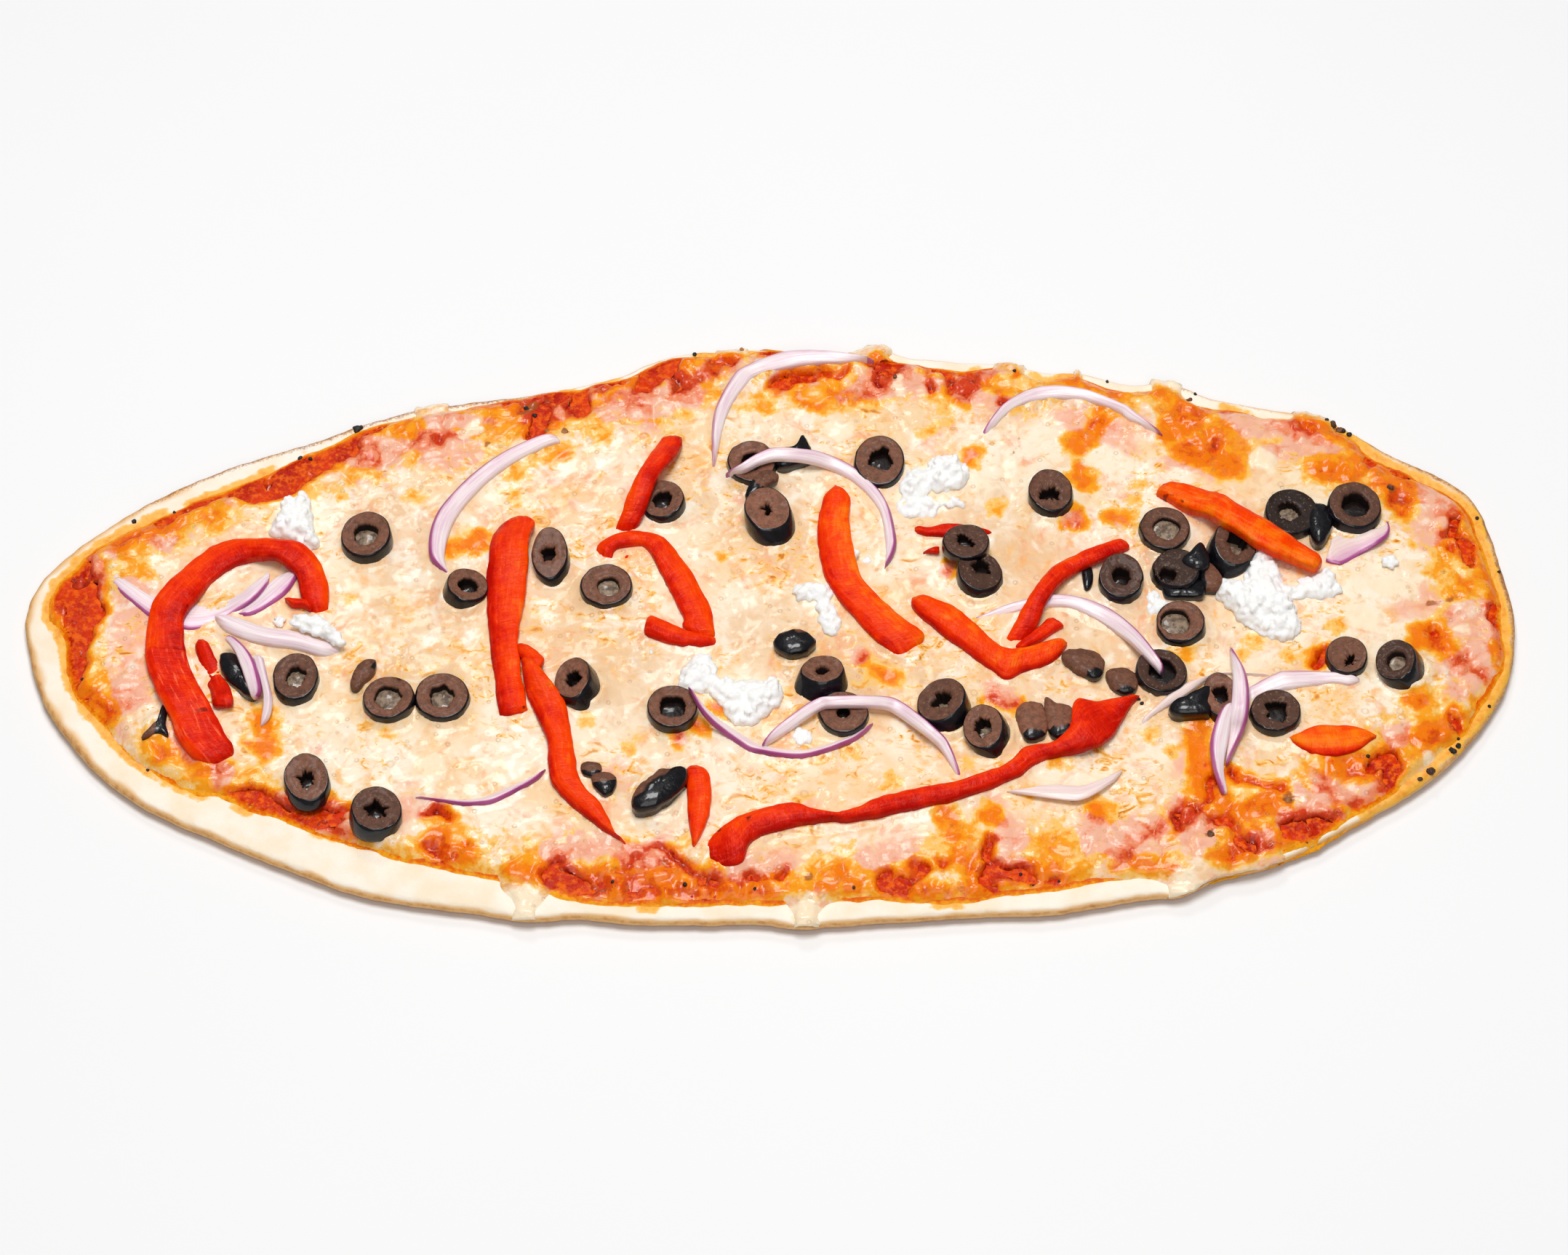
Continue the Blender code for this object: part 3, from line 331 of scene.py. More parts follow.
@dataclass
class SauceFinish(Finish):
    """Cooked tomato sauce: grainy, darker where thick, orange where its oil has run."""

    def pattern(self) -> NodeSocket:
        """Grainy red, orange to yellow at its edge."""
        grain = self.speckle(1.6, 4, 0.6)
        thin = self.plus(self.masks("cook")[0], self.sway(grain, 0.7))
        bits = self.ramp(self.cells(1.9).outputs["Distance"], 0.1, 0.6)
        self.link("Roughness", self.ramp(grain, 0.3, 0.7, 0.20, 0.40))
        self.relief((grain, 0.35), (bits, 0.12))
        return self.tinge("#B01600", (self.speckle(7, 3), 0.3, 0.7, "#D83804"),
                          (grain, 0.44, 0.66, "#F06408", 0.9), (thin, 0.3, 0.75, "#EC6602"),
                          (thin, 0.74, 1.05, "#F9A81C"))


@dataclass
class CheeseFinish(Finish):
    """Melted cheese: cream and glassy in turns, stained by sauce and oil, with flecks and small bubbles.

    Where it thins out over the sauce it turns from cream to yellow, orange and red where oil has run,
    and to pink and red elsewhere.
    """

    OILY = ((0.18, 0.34, "#FCC664"), (0.34, 0.52, "#FA9E10"), (0.56, 0.78, "#F47A04"),
            (0.86, 1.06, "#DA4602"), (1.06, 1.30, "#980E00"))
    ROSY = ((0.16, 0.44, "#F4B89C"), (0.46, 0.70, "#F08A62"), (0.70, 0.92, "#D43A10"),
            (0.96, 1.20, "#8E0A00"))

    def pattern(self) -> NodeSocket:
        """Cream with stains of every kind, wet and smooth."""
        thinned, oily, gap = self.masks("stain")
        pink, grey, wet = self.masks("tone")
        brown, cream, _ = self.masks("mark")
        patch = self.speckle(5, 2, 0.5, 0.8)
        mid = self.speckle(2.6, 3, 0.5)
        fine = self.speckle(0.8, 3, 0.6)
        wander = self.sway(mid, 1.5)
        loose = self.sway(patch, 1.7)
        colour = self.tinge(
            "#FFEED4", (self.speckle(22, 3, 0.55), 0.38, 0.62, "#F9D6A8"),
            (self.plus(grey, loose), 0.2, 1.1, "#EBC296", 0.8),
            (self.plus(pink, loose), 0.2, 1.0, "#F8B89C", 0.9),
            (self.plus(pink, wander), 0.8, 1.4, "#EA9470", 0.6), (patch, 0.44, 0.32, "#EFB47C", 0.35),
            (self.speckle(8, 3, 0.5, 0.4), 0.52, 0.68, "#FFF2DE", 0.8))
        # Oil and sauce that have soaked in, salmon and yellow.
        for size, hue in ((12, "#F49A66"), (9, "#FBB04C")):
            soaked = self.ramp(self.speckle(size, 4, 0.62, 1.0), 0.5, 0.72, end=0.75)
            colour = self.mix(self.times(soaked, self.ramp(mid, 0.3, 0.6)), colour, hue)
        colour = self.flecks(colour)
        heat = self.plus(self.times(thinned, HEAT_RANGE), self.times(wander, 0.45), self.sway(fine, 0.3))
        warm = self.stained(heat, colour, self.OILY)
        colour = self.tinge(self.stained(heat, colour, self.ROSY), (self.plus(oily, loose), 0.25, 0.75, warm),
                            (self.plus(gap, wander), 0.4, 1.1, "#E07838", 0.25),
                            (self.plus(cream, wander), 0.4, 0.9, "#FFEBCB", 0.85),
                            (self.plus(brown, wander), 0.4, 0.9, "#A85C28", 0.85))
        patchy = self.ramp(patch, 0.3, 0.7, 0.36, 0.20)
        self.link("Roughness", self.plus(patchy, self.times(self.plus(wet, pink), -0.07)))
        rings = self.plus(self.bubbles(2.7, 0.72), self.bubbles(4.6, 0.8))
        self.relief((patch, 0.5), (mid, 0.2), (fine, 0.04), (rings, 0.12))
        return self.mix(self.times(rings, 0.3), colour, "#D89450")

    def stained(self, heat: NodeSocket, colour: NodeSocket, steps: tuple) -> NodeSocket:
        """The colour, turned step by step as the cheese thins over the sauce."""
        return self.tinge(colour, *((heat, *step, 0.96) for step in steps))

    def flecks(self, colour: NodeSocket) -> NodeSocket:
        """Small toasted flecks of orange, yellow and brown, in swarms."""
        swarm = self.ramp(self.speckle(17, 2), 0.44, 0.64, end=0.85)
        for size, low in ((5.0, 0.57), (2.8, 0.60)):
            lumps = self.speckle(size, 3, 0.55, 1.6, (0.75, 1.2, 1.0))
            for start, hue in ((low, "#FBCB74"), (low + 0.05, "#F2A030"), (low + 0.11, "#CC7224")):
                share = self.times(self.ramp(lumps, start - 0.02, start + 0.03), swarm)
                colour = self.mix(share, colour, hue)
        return colour

    def bubbles(self, size_mm: float, rare: float) -> NodeSocket:
        """Rims of small burst bubbles, here and there."""
        cell = self.cells(size_mm)
        distance = cell.outputs["Distance"]
        chosen = add_node(self.tree, "SeparateColor", {0: cell.outputs["Color"]}).outputs[0]
        return self.times(self.ramp(distance, 0.12, 0.20), self.ramp(distance, 0.20, 0.31, 1.0, 0.0),
                          self.ramp(chosen, rare, rare + 0.1))


@dataclass
class OliveFinish(Finish):
    """Black olive: glossy blue-black skin, brown cut face, a stone hole painted near black as shade and, in
    some, cheese run into it, painted grey-brown as shade in the hole.
    """

    def pattern(self) -> NodeSocket:
        """Skin, flesh, and the hole and its filling painted dark as shade, each where its mask is."""
        face, hole, own = self.masks("olive")
        core = self.masks("core")[0]
        fine = self.speckle(0.55, 3, 0.6)
        mid = self.speckle(1.7, 3, 0.6)
        skin = self.tinge("#07060A", (mid, 0.4, 0.7, "#131118"))
        flesh = self.tinge(self.mix(self.ramp(own, 0.5, 1.0, smooth=False), "#98624A", "#2A1D18"),
                           (mid, 0.35, 0.7, "#33221A", 0.45), (self.speckle(0.8), 0.60, 0.70, "#93765F", 0.5),
                           (fine, 0.5, 0.75, "#1E1613", 0.4))
        self.link("Coat Weight", self.ramp(face, 0.2, 0.6, 0.6, 0.08))
        self.link("Roughness", self.plus(self.ramp(face, 0.3, 0.7, 0.30, 0.6), self.times(core, -0.1)))
        self.relief((mid, 0.2), (fine, 0.09))
        # The hole mask paints the hole's walls and plug near black, as painted shade; the core mask paints
        # cheese in the hole grey-brown, also painted shade.
        return self.mix(core, self.tinge(skin, (face, 0.35, 0.65, flesh), (hole, 0.3, 0.8, "#170D0A")),
                        self.tinge("#9C8670", (mid, 0.35, 0.65, "#5E4C3E")))


@dataclass
class PepperFinish(Finish):
    """Roasted red pepper: moist, wrinkled and fibrous, from deep red to orange, its deep red partly painted
    shade on a flank and at its foot.
    """

    def pattern(self) -> NodeSocket:
        """Streaks and creases that run with the strip, burnt spots, and painted shade at the strip's foot."""
        hue, hatch, dark = self.masks("pepper")
        run = add_node(self.tree, "UVMap", uv_map="along").outputs[0]
        streaks = self.speckle(1.2, 3, 0.6, 0.0, (0.14, 1, 1), run)
        creases = self.speckle(1.3, 3, 0.6, 0.4, (1, 0.3, 1), run)
        fine = self.speckle(0.55, 3, 0.6)
        tint = self.plus(hue, self.sway(self.speckle(3.6, 3), 0.6), self.sway(streaks, 0.45))
        colour = "#BC0C02"
        for low, high, shade in ((0.2, 0.5, "#E82404"), (0.45, 0.70, "#FA4200"), (0.74, 1.0, "#FF7C08")):
            colour = self.mix(self.ramp(tint, low, high, smooth=False), colour, shade)
        fibres = self.times(self.ramp(streaks, 0.55, 0.7), self.plus(self.times(hatch, 0.45), 0.12))
        self.link("Roughness", self.ramp(fine, 0.3, 0.7, 0.16, 0.30))
        self.relief((creases, 0.55), (streaks, 0.16), (fine, 0.08))
        # The dark mask carries burnt spots and painted shade at the strip's foot, both deep red-brown.
        return self.tinge(self.mix(fibres, colour, "#FF7A50"),
                          (self.plus(dark, self.sway(fine, 0.6)), 0.4, 0.85, "#560A06", 0.85))


@dataclass
class OnionFinish(Finish):
    """Red onion: wet white flesh, lilac towards its outer side, with a purple skin line."""

    def pattern(self) -> NodeSocket:
        """Fine lines along the band, lilac and purple by its masks."""
        outer, purple, clear = self.masks("onion")
        run = add_node(self.tree, "UVMap", uv_map="along").outputs[0]
        lines = self.speckle(0.8, 3, 0.6, 0.0, (0.05, 1, 1), run)
        patchy = self.sway(self.speckle(7), 0.5)
        stained = self.plus(purple, patchy)
        self.relief((lines, 0.12))
        pale = self.tinge("#FAECEA", (lines, 0.35, 0.7, "#ECD0DA"))
        flesh = self.mix(self.times(clear, 0.8), pale, "#F3D6C6")
        outside = self.plus(outer, patchy, self.sway(lines, 0.4))
        return self.tinge(flesh, (outside, 0.3, 0.95, "#D896C0", 0.75), (stained, 0.25, 0.9, "#B4488F", 0.9),
                          (stained, 0.85, 1.15, "#852A68", 0.7))


@dataclass
class FetaFinish(Finish):
    """Crumbled white cheese: matt, chalky and open."""

    def pattern(self) -> NodeSocket:
        """Chalk white, a little warmer in its dips."""
        mid = self.speckle(1.6, 4, 0.65)
        self.relief((mid, 0.18), (self.speckle(0.45, 3, 0.7), 0.08))
        return self.tinge("#FFFFFD", (mid, 0.35, 0.7, "#FDFAF2"))


@dataclass
class CrispFinish(Finish):
    """Burnt cheese and bread: black and dry, brown where thin."""

    def pattern(self) -> NodeSocket:
        """Brown to black by its mask."""
        grain = self.speckle(0.8, 3, 0.6)
        deep = self.plus(self.masks("burn")[0], self.sway(grain, 0.6))
        self.relief((grain, 0.2))
        return self.tinge("#B4703A", (deep, 0.2, 0.6, "#4A2818"), (deep, 0.6, 0.9, "#17110F"))


@dataclass
class StageFinish(Finish):
    """The plain pale floor."""

    def pattern(self) -> NodeSocket:
        """Nearly white."""
        return self.mix(self.speckle(200, 1), "#F4F4F4", "#F7F7F7")


# --- meshes
@dataclass
class Shape:
    """Points in millimetres, faces, and numbers stored on the points."""

    points: Array
    faces: list
    masks: dict[str, Array] = field(default_factory=dict)
    uv: Array | None = None

    @staticmethod
    def joined(shapes: list["Shape"]) -> "Shape":
        """Several shapes as one."""
        faces, start = [], 0
        for shape in shapes:
            faces += [tuple(start + k for k in face) for face in shape.faces]
            start += len(shape.points)
        masks = {name: np.concatenate([s.masks[name] for s in shapes]) for name in shapes[0].masks}
        uv = None if shapes[0].uv is None else np.concatenate([s.uv for s in shapes])
        return Shape(np.concatenate([s.points for s in shapes]), faces, masks, uv)

    def build(self, name: str, material: Material) -> Object:
        """Makes the object, smooth, with its masks as colours on its points.

        Args:
            name: the object's name.
            material: its finish.

        Returns:
            The object, at the origin.
        """
        mesh = bpy.data.meshes.new(name)
        mesh.from_pydata((np.asarray(self.points) * MM).tolist(), [], self.faces)
        for label, values in self.masks.items():
            layer = mesh.attributes.new(label, "FLOAT_COLOR", "POINT")
            rgba = np.ones((len(self.points), 4), np.float32)
            rgba[:, :values.shape[1]] = np.clip(values, 0, 1)
            layer.data.foreach_set("color", rgba.ravel())
        if self.uv is not None:
            layer = mesh.uv_layers.new(name="along")
            corners = np.empty(len(mesh.loops), np.int32)
            mesh.loops.foreach_get("vertex_index", corners)
            layer.data.foreach_set("uv", (self.uv[corners] * MM).astype(np.float32).ravel())
        mesh.materials.append(material)
        mesh.shade_smooth()
        made = bpy.data.objects.new(name, mesh)
        bpy.context.scene.collection.objects.link(made)
        return made


def tube_faces(rings: int, sides: int, looped: bool = False) -> list:
    """Quads between rings of equal length, numbered ring by ring. The ends meet, or else are capped."""
    faces = []
    for i in range(rings if looped else rings - 1):
        j = (i + 1) % rings
        for k in range(sides):
            m = (k + 1) % sides
            faces.append((i * sides + k, i * sides + m, j * sides + m, j * sides + k))
    if not looped:
        faces.append(tuple(range(sides - 1, -1, -1)))
        faces.append(tuple(range((rings - 1) * sides, rings * sides)))
    return faces


def ball(centre: Array, size: tuple, sides: int = 10, levels: int = 7) -> Shape:
    """A closed ball, squashed to the given half sizes."""
    turns = np.arange(sides) * 2 * math.pi / sides
    rings = []
    for level in range(levels):
        tilt = math.pi * (level + 0.35) / (levels - 0.3)
        rings.append(np.stack([np.cos(turns) * math.sin(tilt), np.sin(turns) * math.sin(tilt),
                               np.full(sides, -math.cos(tilt))], axis=1))
    return Shape(np.asarray(centre) + np.concatenate(rings) * np.array(size), tube_faces(levels, sides))


# --- where things are
class Seat:
    """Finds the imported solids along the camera's lines of sight."""

    def __init__(self, nodes: dict) -> None:
        self.nodes = nodes
        self.trees: dict[str, BVHTree] = {}

    def tree(self, name: str) -> BVHTree:
        """The search tree of one node's mesh."""
        if name not in self.trees:
            mesh = self.nodes[name].data
            corners = [vertex.co.copy() for vertex in mesh.vertices]
            self.trees[name] = BVHTree.FromPolygons(corners, [tuple(p.vertices) for p in mesh.polygons])
        return self.trees[name]

    def height(self, name: str, x: float, y: float) -> float:
        """Height of the solid seen at x, y of the layout, or nan where it isn't there."""
        eye = Vector(((EYE[0] + SHIFT[0]) * MM, (EYE[1] + SHIFT[1]) * MM, EYE[2] * MM))
        spot = Vector(((x + SHIFT[0]) * MM, (y + SHIFT[1]) * MM, SEEN_Z * MM))
        hit = self.tree(name).ray_cast(eye, (spot - eye).normalized())[0]
        return hit.z / MM if hit is not None else math.nan

    def heights(self, name: str, spots: list) -> list:
        """Heights at all spots where the solid is."""
        found = [self.height(name, x, y) for x, y in spots]
        return [z for z in found if not math.isnan(z)]

    def ring_base(self, name: str, x: float, y: float, middle: float, height: float) -> float:
        """Height of the underside of a ring whose face is seen round x, y, with its flesh middle away."""
        turns = np.linspace(0, 2 * math.pi, 16, endpoint=False)
        found = self.heights(name, [(x + middle * math.cos(a), y + middle * math.sin(a)) for a in turns])
        return float(np.median(found)) - height if found else CHEESE_TOP

    def lump_top(self, name: str, x: float, y: float) -> float:
        """Height of the top of a lump near x, y."""
        spots = [(0, 0), (1.5, 0), (-1.5, 0), (0, 1.5), (0, -1.5)]
        return max(self.heights(name, [(x + dx, y + dy) for dx, dy in spots]), default=CHEESE_TOP + 3)

    def strip_tops(self, name: str, rows: Array, over: list[Array]) -> Array:
        """Heights of the top of a strip along its rows.

        Args:
            name: the node.
            rows: x, y and width along the strip, closely spaced.
            over: rows of the node's other strips that lie over this one.

        Returns:
            A height for each row, eased.
        """
        tops = np.array([self.height(name, row[0], row[1]) for row in rows])
        for other in over:
            apart = np.hypot(rows[:, None, 0] - other[None, :, 0], rows[:, None, 1] - other[None, :, 1])
            hidden = (apart < 0.5 * other[None, :, 2] + 1.5).any(axis=1)
            if not hidden.all():
                tops[hidden] = math.nan
        known = np.where(~np.isnan(tops))[0]
        if not len(known):
            return np.full(len(rows), CHEESE_TOP + 3)
        tops = np.interp(np.arange(len(rows)), known, tops[known])
        reach = min(9, len(rows) // 3)
        kernel = np.hanning(2 * reach + 3)[1:-1]
        return np.convolve(np.pad(tops, reach, mode="edge"), kernel / kernel.sum(), mode="valid")


@dataclass
class Footprints:
    """Round spots that the toppings cover low down, where the melted cheese climbs up to them."""

    spots: list = field(default_factory=list)

    def add(self, x: float, y: float, radius: float, base: float, rise: float) -> None:
        """Notes a spot and how far the cheese climbs there, if it is low enough for that."""
        if base < CHEESE_TOP + 1.6:
            self.spots.append((x, y, radius, base, rise))


# --- the bread and what is spread on it
class Outline:
    """The edge of the bread, and how far inside it every place lies."""

    STEP = 0.9
    COARSE = 2.5

    def __init__(self) -> None:
        rows = smooth_rows(EDGE, self.STEP, closed=True)
        self.place = rows[:, :2] + np.array(SHIFT)
        along = np.roll(self.place, -6, axis=0) - np.roll(self.place, 6, axis=0)
        inward = np.stack([along[:, 1], -along[:, 0]], axis=1)
        self.inward = inward / np.linalg.norm(inward, axis=1)[:, None]
        wobble = 0.35 * noise(self.place, 7, 3) + 0.2 * noise(self.place, 2.2, 4)
        self.place = self.place - self.inward * (wobble - 0.3)[:, None] * 0.8
        self.sauce, self.cheese = rows[:, 2], rows[:, 3]

    def fields(self, grid: "Grid") -> None:
        """Fills the grid's inset, inward direction and rim widths."""
        xs = np.arange(-grid.HALF_X, grid.HALF_X + self.COARSE, self.COARSE)
        ys = np.arange(-grid.HALF_Y, grid.HALF_Y + self.COARSE, self.COARSE)
        gx, gy = np.meshgrid(xs, ys)
        inset, index = self.inset(np.stack([gx.ravel(), gy.ravel()], axis=1))
        for name, values in (("inset", inset), ("sauce", self.sauce[index]), ("cheese", self.cheese[index]),
                             ("in_x", self.inward[index, 0]), ("in_y", self.inward[index, 1])):
            grid.put(name, xs, ys, values.reshape(gx.shape))

    def inset(self, spots: Array) -> tuple[Array, Array]:
        """Distance inside the edge, below 0 outside, and the nearest point of the edge."""
        inset = np.empty(len(spots))
        index = np.empty(len(spots), int)
        for start in range(0, len(spots), 4000):
            block = spots[start:start + 4000]
            apart = block[:, None, :] - self.place[None, :, :]
            far = (apart ** 2).sum(axis=2)
            near = far.argmin(axis=1)
            rows = np.arange(len(block))
            side = (apart[rows, near] * self.inward[near]).sum(axis=1)
            inset[start:start + 4000] = np.sqrt(far[rows, near]) * np.where(side >= 0, 1, -1)
            index[start:start + 4000] = near
        return inset, index


class Grid:
    """Fields over the whole pizza, on a square grid in the built frame."""

    CELL = 0.5
    HALF_X = 210.0
    HALF_Y = 104.0

    def __init__(self) -> None:
        self.xs = np.arange(-self.HALF_X, self.HALF_X + self.CELL, self.CELL)
        self.ys = np.arange(-self.HALF_Y, self.HALF_Y + self.CELL, self.CELL)
        gx, gy = np.meshgrid(self.xs, self.ys)
        self.spots = np.stack([gx.ravel(), gy.ravel()], axis=1)
        self.shape = gx.shape
        self.layers: dict[str, Array] = {}

    def put(self, name: str, xs: Array, ys: Array, values: Array) -> None:
        """Stores a coarser field, spread onto this grid."""
        across = np.array([np.interp(self.xs, xs, row) for row in values])
        column = np.clip(np.searchsorted(ys, self.ys) - 1, 0, len(ys) - 2)
        share = ((self.ys - ys[column]) / (ys[1] - ys[0]))[:, None]
        self.layers[name] = across[column] * (1 - share) + across[column + 1] * share

    def noise(self, size: float, seed: int, octaves: int = 2) -> Array:
        """Noise on every cell."""
        return noise(self.spots, size, seed, octaves).reshape(self.shape)

    def window(self, x: float, y: float, reach: float) -> tuple[slice, slice, Array]:
        """The cells within reach of a place, and their distances from it."""
        rows, columns = (
            slice(max(0, int((at - reach + half) / self.CELL)), int((at + reach + half) / self.CELL) + 2)
            for at, half in ((y, self.HALF_Y), (x, self.HALF_X)))
        gx, gy = np.meshgrid(self.xs[columns], self.ys[rows])
        return rows, columns, np.hypot(gx - x, gy - y)

    def strokes(self, strokes: list, soft: float, grow: float = 0.0) -> Array:
        """A mask painted softly with strokes, each a list of seen x, y and width, or one dot of them."""
        mask = np.zeros(self.shape)
        for rows in strokes:
            for x, y, width in smooth_rows(rows, 1.2) if isinstance(rows, list) else [rows]:
                px, py = to_plan(x, y, CHEESE_TOP)
                width += grow
                row, column, far = self.window(px, py, 0.5 * width + soft)
                value = 1 - smoothstep(0, 1, (far - 0.5 * width + 0.5 * soft) / soft)
                mask[row, column] = np.maximum(mask[row, column], value)
        return mask

    def warped(self, layer: Array, reach: float, size: float, seed: int) -> Array:
        """A layer whose outlines wander by up to reach."""
        dx = reach * self.noise(size, seed, 3) / self.CELL
        dy = reach * self.noise(size, seed + 50, 3) / self.CELL
        rows, columns = np.indices(self.shape)
        return self.pick(layer, rows + dy, columns + dx)

    def lobes(self, size: float, seed: int) -> tuple[Array, Array]:
        """Rounded lobes: how far inside its lobe every cell is, and a number of each lobe's own."""
        drops = np.random.default_rng(seed).uniform(size=(64, 64, 3))
        x = (self.spots[:, 0] + 0.3 * size * noise(self.spots, size, seed)) / size + 100
        y = (self.spots[:, 1] + 0.3 * size * noise(self.spots, size, seed + 1)) / size + 100
        column, row = x.astype(int), y.astype(int)
        near, second, own = np.full(len(x), 9.0), np.full(len(x), 9.0), np.zeros(len(x))
        for dx, dy in itertools.product((-1, 0, 1), repeat=2):
            drop = drops[(column + dx) % 64, (row + dy) % 64]
            far = np.hypot(column + dx + drop[:, 0] - x, row + dy + drop[:, 1] - y)
            own = np.where(far < near, drop[:, 2], own)
            second = np.where(far < near, near, np.minimum(second, far))
            near = np.minimum(near, far)
        return ((second - near) * size).reshape(self.shape), own.reshape(self.shape)

    def pick(self, layer: Array, rows: Array, columns: Array) -> Array:
        """Values between cells."""
        rows = np.clip(rows, 0, self.shape[0] - 1.001)
        columns = np.clip(columns, 0, self.shape[1] - 1.001)
        r, c = np.asarray(rows).astype(int), np.asarray(columns).astype(int)
        fr, fc = rows - r, columns - c
        near = layer[r, c] * (1 - fc) + layer[r, c + 1] * fc
        far = layer[r + 1, c] * (1 - fc) + layer[r + 1, c + 1] * fc
        return near * (1 - fr) + far * fr

    def at(self, layer: Array, x: Array, y: Array) -> Array:
        """Values at places in the built frame."""
        return self.pick(layer, (y + self.HALF_Y) / self.CELL, (x + self.HALF_X) / self.CELL)

    def sheet(self, height: Array, keep: Array, step: float, masks: dict, skirt: float) -> Shape:
        """A sheet over the cells to keep, trimmed to where keep crosses 0, with a skirt that closes it below.

        Args:
            height: the sheet's top.
            keep: above 0 where the sheet is, in millimetres inside its outline.
            step: spacing of its points.
            masks: lists of layers by name.
            skirt: how far the sheet's sides reach down.

        Returns:
            The closed sheet.
        """
        xs = np.arange(-self.HALF_X + 1, self.HALF_X - 1, step)
        ys = np.arange(-self.HALF_Y + 1, self.HALF_Y - 1, step)
        gx, gy = np.meshgrid(xs, ys)
        inside = self.at(keep, gx, gy)
        solid = inside > 0
        cell = solid[:-1, :-1] | solid[1:, :-1] | solid[:-1, 1:] | solid[1:, 1:]
        used = np.zeros(gx.shape, bool)
        for dr, dc in ((0, 0), (1, 0), (0, 1), (1, 1)):
            used[dr:cell.shape[0] + dr, dc:cell.shape[1] + dc] |= cell
        slope_y, slope_x = np.gradient(keep, self.CELL)
        for _ in range(2):
            off = np.minimum(self.at(keep, gx, gy), 0)
            sx, sy = self.at(slope_x, gx, gy), self.at(slope_y, gx, gy)
            limit = np.clip(-off / np.maximum(sx * sx + sy * sy, 0.25), 0, 1.2 * step)
            gx = gx + np.where(inside < 0, limit * sx, 0)
            gy = gy + np.where(inside < 0, limit * sy, 0)
        number = np.full(gx.shape, -1)
        count = int(used.sum())
        number[used] = np.arange(count)
        px, py = gx[used], gy[used]
        points = np.stack([px, py, self.at(height, px, py)], axis=1)
        faces = np.stack([number[:-1, :-1][cell], number[:-1, 1:][cell], number[1:, 1:][cell],
                          number[1:, :-1][cell]], axis=1)
        edges = np.concatenate([faces[:, [k, (k + 1) % 4]] for k in range(4)])
        key = np.sort(edges, axis=1) @ np.array([count, 1])
        _, first, times = np.unique(key, return_index=True, return_counts=True)
        rim = edges[first[times == 1]]
        rim_points = np.unique(rim)
        low = {int(k): count + i for i, k in enumerate(rim_points)}
        below = points[rim_points] - np.array([0, 0, skirt])
        faces = faces.tolist() + [(int(q), int(p), low[int(p)], low[int(q)]) for p, q in rim]
        stored = {}
        for name, layers in masks.items():
            columns = np.stack([self.at(layer, px, py) for layer in layers], axis=1)
            stored[name] = np.concatenate([columns, columns[rim_points]])
        return Shape(np.concatenate([points, below]), faces, stored)


